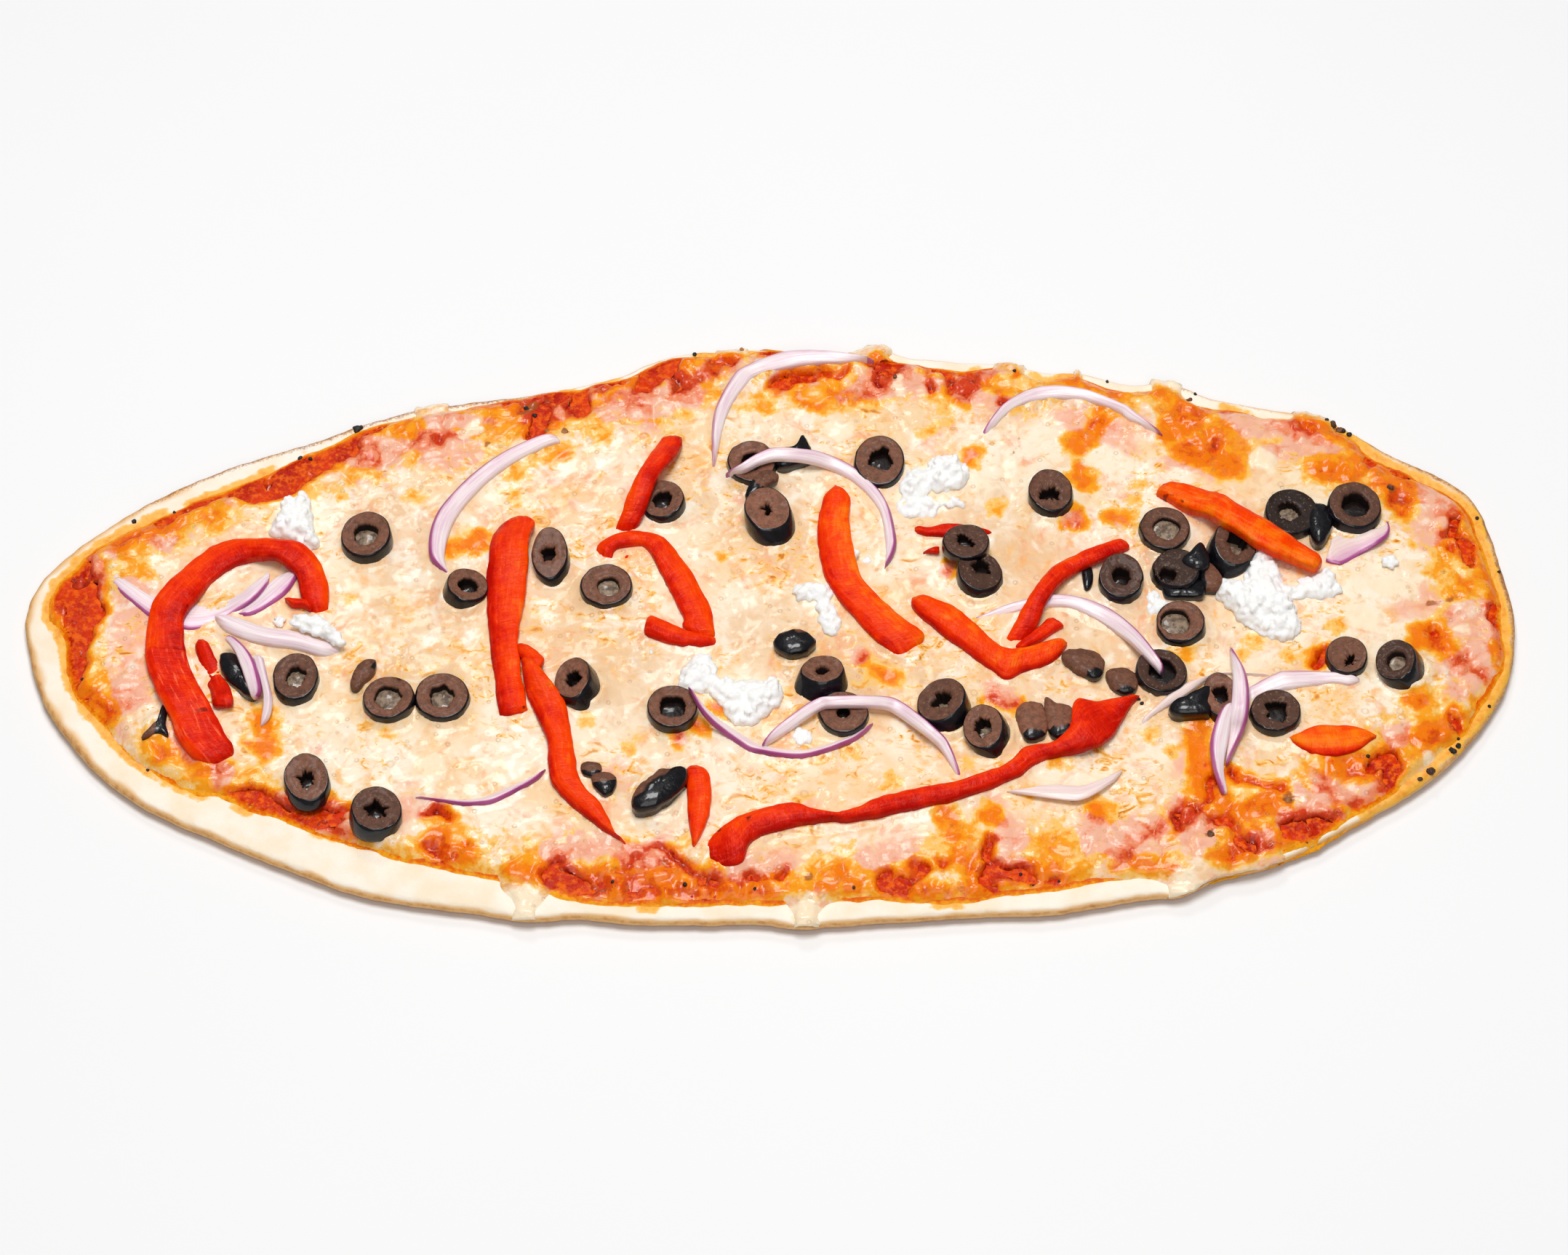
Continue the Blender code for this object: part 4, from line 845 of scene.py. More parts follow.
# Strokes as seen: x, y and width along each, or of a dot.
# Places of sauce with no cheese on it.
BARE_SAUCE = [
    [(-190, 19, 9), (-191, 10, 14), (-188, 2, 11)], [(-190, -2, 8), (-189.5, -30, 5)], [(-169, 32.8, 3.4),
    (-160.5, 37.4, 5.5), (-152, 42.5, 4), (-146, 41.7, 9), (-140, 44, 11.5), (-122, 57, 10), (-117, 61, 5),
    (-111, 63, 2.6)], [(-187, -30, 4), (-172, -50, 3)], [(-150.5, -59.8, 2.4), (-139, -60.4, 6),
    (-123, -67.2, 8.4), (-112.5, -65.4, 4.4)], [(-77, 73, 1.6), (-68, 74, 2.6), (-60, 77, 3), (-42, 81, 3)],
    [(-65, 62, 5), (-65.5, 70, 5.4)], [(-55, 70, 4), (-53, 77, 5)], [(-36, 79, 5), (-32, 84, 7),
    (-28, 91, 4.4)], [(-4, 91.5, 3.4), (12, 91, 3.6)], [(1, 78.5, 3), (22, 84.5, 3)], (20, 91.8, 1.4),
    (31, 91, 1.4), [(28, 86, 2), (42, 88, 4.2), (50, 86, 4)], [(31, 79.5, 1.7), (31, 86, 2)],
    [(44.7, 77, 1.9), (44.7, 85, 2.4)], [(51, 77, 2.8), (51, 85, 3.6)], (64, 73, 2.2), [(61, 88, 1.8),
    (60, 83, 1.8)], [(70, 88, 1.8), (70.5, 83, 1.8)], [(168.5, 51, 3.6), (172, 52, 4.6), (187, 46.4, 3.6)],
    [(185, 25.4, 1.3), (188, 27, 2.8), (190, 31, 2.8)], [(190, 26, 2.8), (192.4, 21, 4.6),
    (192, 18.4, 3.6)], [(198.6, 3, 3.2), (197.4, -3, 3.2), (199, -15, 2.8)], (180, -5.6, 3),
    [(183, -34, 3.2), (186, -38, 3.2)], [(161, -51.5, 4), (166, -50, 5), (168, -48, 2.8),
    (166.5, -55, 2.8)], [(111, -62, 2), (115, -62, 1.8)], [(109, -65, 1.8), (108.6, -69, 2.8)],
    [(113, -63, 1.8), (124, -70, 2.4)], [(118, -55, 4.6), (117, -60, 3.6)], [(123, -53, 3.6),
    (124, -56, 2.2)], [(125, -55.4, 1.3), (137, -58, 1.8), (137, -61, 1.5)], [(135, -68, 4.6),
    (141, -69.4, 6.2), (152.6, -68.6, 2.4)], [(124.6, -73, 2.8), (127.6, -76, 3.6), (129, -73, 2.8)],
    (158.6, -63, 2.6), [(147, -16.8, 2.2), (150.6, -14, 3.6)], [(-4, -85, 3), (4, -85, 3)],
    (31.6, -86.6, 4.2), [(35, -86.6, 3), (40, -82, 3.4)], (45.5, -81, 2.8), [(57, -87, 3.6),
    (61, -90, 2.8)], [(59, -83, 4.6), (68, -84.5, 3.6)], [(57.5, -74, 2.2), (57, -79, 2.2)],
    [(-90.6, -67, 2), (-87, -67, 2.4)], (-83, -79, 2), (-81, -76, 1.8), [(-57, -85, 5.6), (-51, -87, 4.6)],
    (-45.5, -86.5, 3.2), [(-41, -85, 2.2), (-37, -82, 2.4), (-36, -77.5, 2.2), (-29, -76.8, 2.2),
    (-23.5, -79.5, 2.8), (-21.5, -85, 2.2)], [(-18.5, -86, 2.8), (-15, -87, 2.8)],
]
# Cheese reddened by the sauce under it.
STAINED = [
    [(-26, 80, 9), (-14, 86, 7)], [(54, 75, 8), (60, 83, 8), (52, 86, 6)], [(93, 77, 5), (99, 78, 6)],
    [(55, 50, 3), (56.5, 53, 3)], [(92, -82, 4), (99, -83, 4)], [(128, 71, 2.6), (138, 71.6, 3)],
    [(176, 36, 6), (174, 42, 6)], [(155, 60, 8), (150, 66, 6)], [(124, 53, 5), (124, 57, 3.6)],
    [(-94, 58, 4), (-86, 60, 4)], [(-191, 16, 13), (-190, 4, 14)], (182, -9, 7), [(115, -52, 7),
    (118, -60, 8)], [(128, -75, 10), (132, -72, 7)], (162, -52, 9), [(166, -57, 5), (158, -63, 6)],
    [(60, -28, 3), (65, -31, 3)], (24, -15.6, 3), (-24, -42, 3.4), (-20, -38, 3), (-14, -32, 2.6),
    [(-36, -80, 9), (-28, -83, 9)], [(-56, -86, 9), (-46, -86, 8)], [(-130, -66, 12), (-118, -66, 10)],
    (48, 14, 3.4), [(40, 88, 7), (31, 84, 5)], (84, 31, 5), [(60, -85, 10), (68, -83, 6)], [(181, 50, 8),
    (170, 50, 7)], [(150, -68, 8), (136, -68, 8)], [(198, 0, 5), (199, -14, 5)], (191, 22, 7),
    [(-78, 74, 3), (-62, 76, 6), (-48, 80, 6)], (-66, 66, 9), (-139.6, -43.6, 2.4), (-86, 22, 3),
    (87, 47, 2), [(102, -82, 5), (90, -79, 4)], (-15, -86, 6), [(109, -66, 5), (121, -68, 5)],
    (-80, -78, 4),
]
ORANGE = [
    [(-186, 24, 4.6), (-178, 28.5, 5), (-168, 29.5, 4)], [(-187, -28, 5), (-180, -34, 5)],
    [(-136, -35, 4.6), (-135.4, -44, 5.6)], [(-86, 72, 3.4), (-78, 72.6, 3.4)], [(-50, 82.4, 1.8),
    (-38, 84.6, 2)], [(-24, 86, 2), (-22, 89, 2)], [(81, 80, 5), (94, 80.4, 6)], [(86, 57, 4.6),
    (92, 63, 5.4)], [(86.6, 44, 2.2), (86.4, 48, 2.2)], [(93, 33, 1.6), (99, 32, 1.8)], [(112, 62, 6),
    (118, 68, 8), (122, 73, 6)], [(118, 54, 7), (128, 50, 7)], [(153, 66, 7), (158, 62, 7)],
    [(152, 50, 4.6), (160, 45, 4)], [(170, 45, 6), (175, 42, 6)], (175.4, 36, 4.6), [(181, -9, 6),
    (184, -12, 5)], (201.4, -10, 2.6), [(176, -40, 6), (184, -40, 6)], [(152, -50, 5), (157, -52, 6)],
    [(121, -64, 6), (128, -66, 6), (133, -62, 6)], (136.6, -74.4, 4), [(118, -80, 4), (125, -79, 3)],
    [(98, -82, 4), (107, -82.6, 3)], [(114.6, -36, 4), (115, -57, 5)], [(174, -30, 2.2),
    (176.6, -28.8, 2.2)], [(-89, -74, 5), (-80, -80, 5)], (-45, -84, 5), [(-35, -86, 5), (-28, -86, 6),
    (-31, -91, 4)], (-16, -91, 4.6), [(1, -88.6, 2.8), (7, -88.6, 2.8)], (21, -88, 4.6), [(46, -66, 5),
    (49, -72, 6)], [(50.4, -79, 4), (54, -85, 3.2)], (58, -66, 6), (87, -65, 4.4), [(29, -20, 2.6),
    (33, -22, 2.4)], [(-88, 20, 3), (-80, 24, 2.4)], (-52, -92.6, 3), (176, -10, 4), (-59, 53, 2.4),
    (64, 79, 3), [(9, 74, 2), (13, 70, 2)],
]
YELLOW = [
    (-154, 29.6, 6), (-164, -48, 6), [(-103, 64, 5), (-102, 70, 5)], (-72, 46, 5), (-71, 37.5, 3),
    (-3, 71, 5), (62, 36, 4), (63, 78.6, 4), [(103, 78, 5), (114, 77, 5)], [(153, 48, 7), (163, 48, 6)],
    (128.6, -14, 3.4), [(57, -91, 3.6), (64, -91.6, 3)], [(75, -76, 6), (74, -84, 7)], (82, -85, 3.6),
    [(12, -81, 4.6), (18, -84, 5)], [(-66, -86, 7), (-64, -93, 7)], [(-87, -82, 6), (-84, -72, 6)],
    (-144, -66, 5), (-125, -75.5, 3), (-103, -80, 3), (-12, 18, 2.4), (-103, -41, 2), (31, -55, 2.6),
    (78, -50, 3), (53, -50, 2), (21.6, -46, 2), [(-196.6, 18, 2), (-199, 6, 2), (-196.6, -6, 2),
    (-194, -28, 2)], [(-178, 35, 2.4), (-160, 42, 2.2)], (-137, -53, 3), (107.4, -46, 2), (101, -41, 3),
    (176.4, 23, 2), (182, 14, 2.2), (190, 7, 2), [(196.6, 30, 3), (201, 6, 2.4)], [(192, 42, 3),
    (195, 36, 2.6)], [(131, -66, 5), (124, -62, 5)], [(176, -46, 4), (171, -53, 3)], (103, 44, 3),
    (101, 38, 2.4), (113, -15, 3), (-100, 38, 2), (-120, 40, 2.4), (-116, 4, 2), (-50, -36, 2),
    (-38, -44, 2), (70, -60, 3), (-152, -52, 3), (-172, 12, 2), (126, 62, 5), (117, 77, 5), (-47, 60, 2.4),
    (-24, 67, 2), (44, 62, 2), (140, -14, 2), (133, -9.6, 2), (155, -5, 2),
]
PINK = [
    [(-115, 55, 10), (-100, 56, 14), (-84, 54, 10)], [(-174, 6, 14), (-172, -10, 16), (-172, -26, 12)],
    (-182, 20, 6), (-168, 26, 10), [(-60, 68, 7), (-47, 77, 5)], [(-45, 70, 12), (-24, 74, 12)],
    [(-95, 66, 6), (-80, 66, 6)], [(-30, 86, 8), (-12, 85, 8)], [(20, 74, 7), (36, 79, 8), (47, 78, 5)],
    [(55, 78, 9), (64, 70, 8)], (66, 86, 6), [(84, 66, 8), (100, 58, 10)], (84, 31, 7), (-54, 36, 6),
    (-10, 36, 5), [(130, 66, 9), (142, 65, 10)], [(152, 60, 10), (160, 58, 8), (156, 64, 6)], [(140, 54, 6),
    (150, 56, 8)], [(182, 42, 8), (186, 34, 12), (182, 26, 10)], [(196, 24, 3), (199, 12, 3)],
    [(190, -2, 12), (190, -14, 12), (186, -24, 10)], [(172, 0, 7), (180, 4, 8)], [(174, -38, 7),
    (168, -42, 7)], [(164, -58, 6), (146, -58, 12), (142, -63, 8)], [(114, -68, 9), (114, -76, 9)],
    (131, -74, 8), [(100, -70, 9), (88, -74, 10), (86, -68, 8)], [(102, -78, 7), (92, -79, 6)],
    (-115, -71, 5), [(-100, -66, 10), (-90, -62, 8)], [(-56, -76, 9), (-42, -77, 8)], (-30, -72, 6),
    [(-8, -84, 8), (4, -80, 8)], [(26, -80, 8), (36, -76, 8)], (30, -70, 7), [(64, -74, 8), (60, -60, 7)],
    (-150, 36, 6), (-176, -40, 5), [(-146, -54, 8), (-160, -38, 8)], (60, -22, 8), (20, -12, 6),
    (-38, 40, 7), (-62, 46, 7), (-40, -52, 8), [(122, 46, 5), (110, 50, 6)], (148, 60, 8), [(106, 62, 6),
    (98, 63, 5)], (-120, -45, 6), (-34, 62, 7), (150, -44, 6), (-70, -62, 6), (10, -64, 8), [(112, -40, 7),
    (110, -50, 8)],
]
GLASSY = [
    [(-110, 35, 22), (-96, 15, 30), (-100, -14, 34)], [(-60, 0, 30), (-40, -20, 34)], [(-12, 40, 26),
    (6, 24, 26)], [(0, -6, 30), (34, -24, 30)], [(60, 30, 26), (76, 14, 28)], [(76, -20, 30), (108, 4, 40)],
    [(114, 20, 30), (124, 30, 20)], [(130, -38, 20), (122, -46, 16)], (152, 24, 16), (-40, -60, 18),
    (60, -44, 18), (-145, 0, 22), (100, -28, 22),
]
CREAM = [
    (-84, 62, 7), (-120, 14, 8), (-70, 56, 7), (36, 78, 6), (74, 82, 5), (138, 52, 9), [(107, 81, 4),
    (115, 80, 6)], (110, -84, 7), (10, -92, 6), (-64, -91, 5), (176, -47, 5), (20, 62, 8), (-30, 10, 7),
    (90, 52, 6), (60, 44, 6), (-90, -52, 8), (-20, -62, 7), (30, -64, 7), (160, -2, 9), (170, 8, 8),
    (130, -22, 6), (-150, -40, 6), (50, -6, 6), (146, 46, 6), (124, 10, 4), (-120, -34, 6), (10, -52, 5),
    (88, -56, 7), (188, -6, 5), (170, 60, 5),
]
BROWN = [
    [(69, 60, 1), (70, 57, 1), (65, 50, 0.9)], (10, -85.6, 2.4), (48, -70, 1.6), (-80, 57, 2),
    [(-70, 68, 3), (-66, 72, 3)], (118, 74.4, 2.4), [(180, 3, 1.6), (187, 3, 1.4)], (185, 13, 2),
    (116.4, -72, 3), (138, -61, 4), (190, 28, 1.4), (176.6, -51.6, 3.4), (160, 66.6, 3), (126.4, -6, 1.6),
    (-108, 48, 1.4), (35, 81, 2), (172.4, 42, 3), (-50, 52, 1.4),
]


class Bread:
    """The dough, the sauce on it and the cheese over that."""

    # The dough's rings: insets and heights up its wall, then insets over its top.
    WALL = ((3.4, 0.0), (2.0, 0.2), (1.1, 0.7), (0.5, 1.4), (0.15, 2.2), (0.03, 2.9))
    TOP = (0.15, 0.4, 0.75, 1.2, 1.8, 2.6, 3.6, 4.8, 6.2, 8, 10, 12.4, 15)
    WIDEST_RIM = 14
    SAUCE_STEP = 1.0
    CHEESE_STEP = 0.85
    # Strokes that heat the cheese, with their strength, how much they are widened and their noise.
    HOT = ((1.3, BARE_SAUCE, 2.0, 44), (0.88, STAINED, 2.4, 51), (0.80, ORANGE, 4.0, 52),
           (0.52, YELLOW, 2.6, 53))
    # Strokes by mask, with the softness of their edges and the reach, size and seed of their wandering.
    PAINTED = {"pink": (PINK, 7, 4, 9, 54), "grey": (GLASSY, 16, 5, 13, 55), "cream": (CREAM, 5, 3, 8, 56),
               "brown": (BROWN, 1.2, 0.8, 3, 57)}

    def __init__(self, outline: Outline, grid: Grid) -> None:
        self.outline = outline
        self.grid = grid
        outline.fields(grid)

    def bare(self, sauce: Array, cheese: Array) -> Array:
        """How wide the bare rim is, from how far in the sauce and the cheese begin."""
        return np.clip(np.minimum(sauce, cheese), 0, self.WIDEST_RIM)

    def dough_top(self, inset: Array, bare: Array, spots: Array) -> Array:
        """Height of the top of the dough at a distance inside its edge."""
        swell = RIM_SWELL * np.clip(bare, 0, 12)
        share = np.clip(inset / np.maximum(bare, 3.4), 0, 1)
        rounded = DOUGH_TOP - 1.15 * (1 - smoothstep(-0.1, 1.4, inset)) ** 1.4
        puff = 0.34 * noise(spots, 9, 21) + 0.20 * noise(spots, 3.6, 22, 2)
        return rounded + swell * np.sin(math.pi * share ** 0.75) ** 1.2 + puff

    def build_dough(self, material: Material) -> Object:
        """The bread, from its flat foot up over its rim."""
        edge = self.outline
        count = len(edge.place)
        bare = self.bare(edge.sauce, edge.cheese)
        rings, bake = [], []
        toast = self.toast(edge.place)
        ends = smoothstep(130, 175, np.abs(edge.place[:, 0]))
        oiled = smoothstep(0.0, 0.5, noise(edge.place, 13, 32) + 0.9 * ends - 0.05)
        for inset, height in self.WALL:
            place = edge.place + edge.inward * inset
            rings.append(np.column_stack([place, np.full(count, height)]))
            bake.append(np.column_stack([np.full(count, 1.0 - 0.12 * height), np.zeros(count), toast]))
        for inset in self.TOP:
            place = edge.place + edge.inward * inset
            rings.append(np.column_stack([place, self.dough_top(np.full(count, inset), bare, place)]))
            broad = 1.2 + 2.4 * smoothstep(140, 190, np.abs(place[:, 0])) + 1.4 * toast
            baked = 0.85 * (1 - smoothstep(0.0, 1.0, inset / (broad * (1 + 0.5 * noise(place, 6, 34)))))
            oil = 0.9 * (1 - smoothstep(0.4, 3.2, bare - inset + 0.8 * noise(place, 4, 35))) * oiled
            bake.append(np.column_stack([baked, oil, toast * (1 - float(smoothstep(0.5, 4.5, inset)))]))
        faces = tube_faces(len(rings), count)
        shape = Shape(np.concatenate(rings), faces, {"bake": np.concatenate(bake)})
        return shape.build("bread_rim", material)

    def toast(self, place: Array) -> Array:
        """How browned the rim is at each point of the edge."""
        far_left = smoothstep(20, 45, place[:, 1]) * (1 - smoothstep(-75, -50, place[:, 0]))
        far_right = 0.6 * smoothstep(40, 60, place[:, 1]) * smoothstep(60, 120, place[:, 0])
        right_end = 0.7 * smoothstep(165, 190, place[:, 0])
        spots = smoothstep(0.2, 0.7, noise(place, 14, 31))
        return np.clip(far_left + far_right + right_end + 0.35 * spots, 0, 1)

    def layer_fields(self) -> None:
        """Works out the height of dough, sauce and cheese everywhere."""
        grid = self.grid
        layers = grid.layers
        inset = layers["inset"]
        bare = self.bare(layers["sauce"], layers["cheese"])
        dough = self.dough_top(inset.ravel(), bare.ravel(), grid.spots).reshape(grid.shape)
        grain = 0.16 * grid.noise(2.6, 41, 3) + 0.08 * grid.noise(0.9, 42, 2)
        start = layers["sauce"] + 1.8 * grid.noise(11, 43, 4)
        rise = smoothstep(-0.5, 2.4, inset - start)
        sauce_top = np.minimum(DOUGH_TOP, dough) - 0.6 + rise * (SAUCE_TOP - DOUGH_TOP + 0.7) + grain * rise
        zone = 1 - smoothstep(12, 32, inset + 6 * grid.noise(14, 45, 3))
        border, own = grid.lobes(6.5, 91)
        lumps = zone * (0.30 * grid.noise(5.2, 55, 3) + 0.75 * smoothstep(0, 3.2, border) - 0.45)
        heat = self.heat(zone, start, border, own)
        cover = inset - np.minimum(layers["cheese"], start + 0.6) + 0.8 * grid.noise(5, 46, 3)
        over_rim = np.maximum(cover, 3.2 + 0.8 * grid.noise(5, 47))
        cover = np.where(layers["cheese"] < 1.6, over_rim, cover)
        thick = 2.25 * smoothstep(0, 4.5, cover) - 0.35 - 2.6 * smoothstep(0.82, 1.30, heat)
        relief = (0.35 * grid.noise(22, 48) + 0.30 * grid.noise(6.5, 49) + 0.10 * grid.noise(2.6, 50)
                  + lumps - self.bubbles())
        base = np.minimum(np.maximum(dough, sauce_top), SAUCE_TOP + 0.2)
        layers.update(dough=dough, sauce_in=inset - start, sauce_top=sauce_top, zone=zone,
                      heat=heat / HEAT_RANGE, gap=(1 - smoothstep(0.2, 2.2, border)) * zone, cover=thick,
                      cheese_top=base + thick + relief * smoothstep(0, 1.5, thick))
        self.stains()

    def heat(self, zone: Array, start: Array, border: Array, own: Array) -> Array:
        """How far the cheese has thinned over the sauce, and where oil rather than sauce colours it.

        Args:
            zone: 1 near the edge, 0 in the middle of the pizza.
            start: how far in the sauce begins.
            border: how far inside its lobe of cheese every cell is.
            own: a number of each lobe's own.

        Returns:
            The heat of every cell. The oil is stored as the grid's layer oily.
        """
        grid, inset = self.grid, self.grid.layers["inset"]
        fiery = grid.strokes(ORANGE + YELLOW, 11)
        rosy = grid.strokes(STAINED + PINK, 5)
        oily = smoothstep(-0.3, 0.3, fiery - 0.5 * rosy + 0.25 + 0.5 * grid.noise(11, 63, 3))
        oily = np.maximum(oily, 1 - smoothstep(0, 3.5, inset - start))
        band = 1 - smoothstep(-3.5, 3.5, inset - grid.layers["cheese"] + 3 * grid.noise(8, 64, 3))
        heat = np.maximum(0.90 * band, zone * (0.36 + 0.52 * fiery + 0.10 * rosy))
        for strength, strokes, grow, seed in self.HOT:
            heat = np.maximum(heat, strength * grid.warped(grid.strokes(strokes, 6, grow), 3, 6, seed))
        gap = 1 - smoothstep(0.2, 2.2, border)
        patchy = (0.12 + 0.46 * zone) * grid.noise(9, 65, 4) + zone * (0.5 * own - 0.22 + 0.12 * gap)
        heat = heat + (1 - 0.4 * oily) * patchy
        fade = (smoothstep(-1.5, 1.0, inset - start) + smoothstep(0.4, 3.4, inset - start)) / 2
        grid.layers["oily"] = oily
        return np.clip(heat * fade, 0, HEAT_RANGE)

    def bubbles(self) -> Array:
        """Dips and rims left by bubbles that burst in the melting cheese, in swarms."""
        grid = self.grid
        rng = np.random.default_rng(77)
        depth = np.zeros(grid.shape)
        swarm = grid.noise(24, 78)
        for _ in range(1800):
            x, y = rng.uniform(-200, 200), rng.uniform(-94, 94)
            size = rng.uniform(0.7, 1.9)
            if grid.at(swarm, x, y) < rng.uniform(-0.5, 0.7):
                continue
            rows, columns, far = grid.window(x, y, 2.2 * size)
            dip = np.exp(-(far / (0.62 * size)) ** 2) - 0.55 * np.exp(-((far - size) / (0.34 * size)) ** 2)
            depth[rows, columns] += 0.30 * size * dip
        return np.clip(depth, -0.35, 0.5)

    def stains(self) -> None:
        """Masks for the cheese."""
        grid, layers = self.grid, self.grid.layers
        for name, (strokes, soft, *wandering) in self.PAINTED.items():
            layers[name] = grid.warped(grid.strokes(strokes, soft), *wandering)
        layers["pink"] = np.clip(0.85 * layers["pink"] + 0.4 * layers["zone"], 0, 1)
        layers["grey"] = np.clip(0.8 * layers["grey"] * (1 - layers["zone"]), 0, 1)
        layers["cream"] = np.maximum(layers["cream"], 1.2 * smoothstep(0.3, 2.0, -layers["sauce_in"]))

    def place_on(self, x: float, y: float, margin: float) -> tuple[float, float, float]:
        """The nearest place at least margin inside the edge, and the height of the pizza there."""
        def value(name: str) -> float:
            """A layer's value at x, y."""
            return float(self.grid.at(self.grid.layers[name], x, y))

        short = max(0.0, margin - value("inset"))
        x += short * value("in_x")
        y += short * value("in_y")
        sheets = (("sauce_in", "sauce_top"), ("cover", "cheese_top"))
        return x, y, max([value("dough")] + [value(top) for inside, top in sheets if value(inside) > 0])

    def climb(self, footprints: Footprints) -> None:
        """Lets the cheese climb a little up whatever stands in it, and marks it as wet there."""
        grid = self.grid
        rise, wet = np.zeros(grid.shape), np.zeros(grid.shape)
        for x, y, radius, base, height in footprints.spots:
            rows, columns, far = grid.window(x, y, radius + 5)
            beyond = np.clip(far - radius, 0, None)
            value = np.exp(-beyond / (0.7 + 0.5 * height)) * smoothstep(0.6, 0.9, far / radius)
            wet[rows, columns] = np.maximum(wet[rows, columns], np.exp(-beyond / 0.9))
            height *= 1 - 0.5 * float(smoothstep(0, 1.6, base - CHEESE_TOP))
            rise[rows, columns] = np.maximum(rise[rows, columns], height * value)
        covered = smoothstep(0.2, 1.2, grid.layers["cover"])
        grid.layers["wet"] = wet
        grid.layers["cheese_top"] = grid.layers["cheese_top"] + rise * covered

    def build_sauce(self, material: Material) -> Object:
        """The sheet of sauce."""
        grid, layers = self.grid, self.grid.layers
        edge = 1 - smoothstep(0.8, 3.4, layers["sauce_in"]) + 0.4 * smoothstep(0, 0.6, grid.noise(9, 66, 2))
        keep = layers["sauce_in"] + 0.8
        shape = grid.sheet(layers["sauce_top"], keep, self.SAUCE_STEP, {"cook": [edge]}, 0.5)
        return shape.build("sauce_sheet", material)

    def build_cheese(self, material: Material) -> Object:
        """The sheet of cheese."""
        layers = self.grid.layers
        keep = np.minimum(layers["inset"] + 0.15, layers["cover"] * 2.5 + 0.6)
        masks = {"stain": ("heat", "oily", "gap"), "tone": ("pink", "grey", "wet"),
                 "mark": ("brown", "cream")}
        stored = {name: [layers[layer] for layer in names] for name, names in masks.items()}
        shape = self.grid.sheet(layers["cheese_top"], keep, self.CHEESE_STEP, stored, 0.9)
        return shape.build("cheese_sheet", material)


# --- olives
@dataclass(frozen=True)
class Ring:
    """A slice of olive: where its cut face is seen, its size and its slopes in degrees."""

    x: float
    y: float
    radius: float
    hole: float
    height: float
    pitch: float = 0.0
    roll: float = 0.0
    ragged: float = 0.12
    tone: float = 0.3  # how dark its face is
    long: float = 1.0  # its length over its width
    turn: float = 90.0  # the way it is long
    lean: tuple = (0.0, 0.0)  # how far its foot lies from below its face
    swell: float = 0.0  # how much wider its foot is than its face
    off: tuple = (0.0, 0.0)  # the stone hole's place from the middle
    fill: float = 0.0  # how far up melted cheese fills the hole


@dataclass(frozen=True)
class Lump:
    """A broken piece: its outline as seen, its height and the side on which its flesh is cut, in degrees."""

    outline: list
    height: float
    cut: float | None = None
    share: float = 0.5  # how much of it is cut flesh
    tone: float = 0.4

    def middle(self) -> Array:
        """The middle of its outline."""
        return np.array(self.outline, float).mean(axis=0)

    def rim(self, base: float, step: float, slope: float) -> Array:
        """Its outline in the built frame: low where it faces the eye and high where it faces away."""
        middle = self.middle()
        seen = smooth_rows(self.outline, step, closed=True)
        facing = (seen[:, 1] - middle[1]) / np.maximum(np.hypot(*(seen - middle).T), 0.3)
        return np.stack(to_plan(seen[:, 0], seen[:, 1], base + self.height * (0.45 + slope * facing)), axis=1)


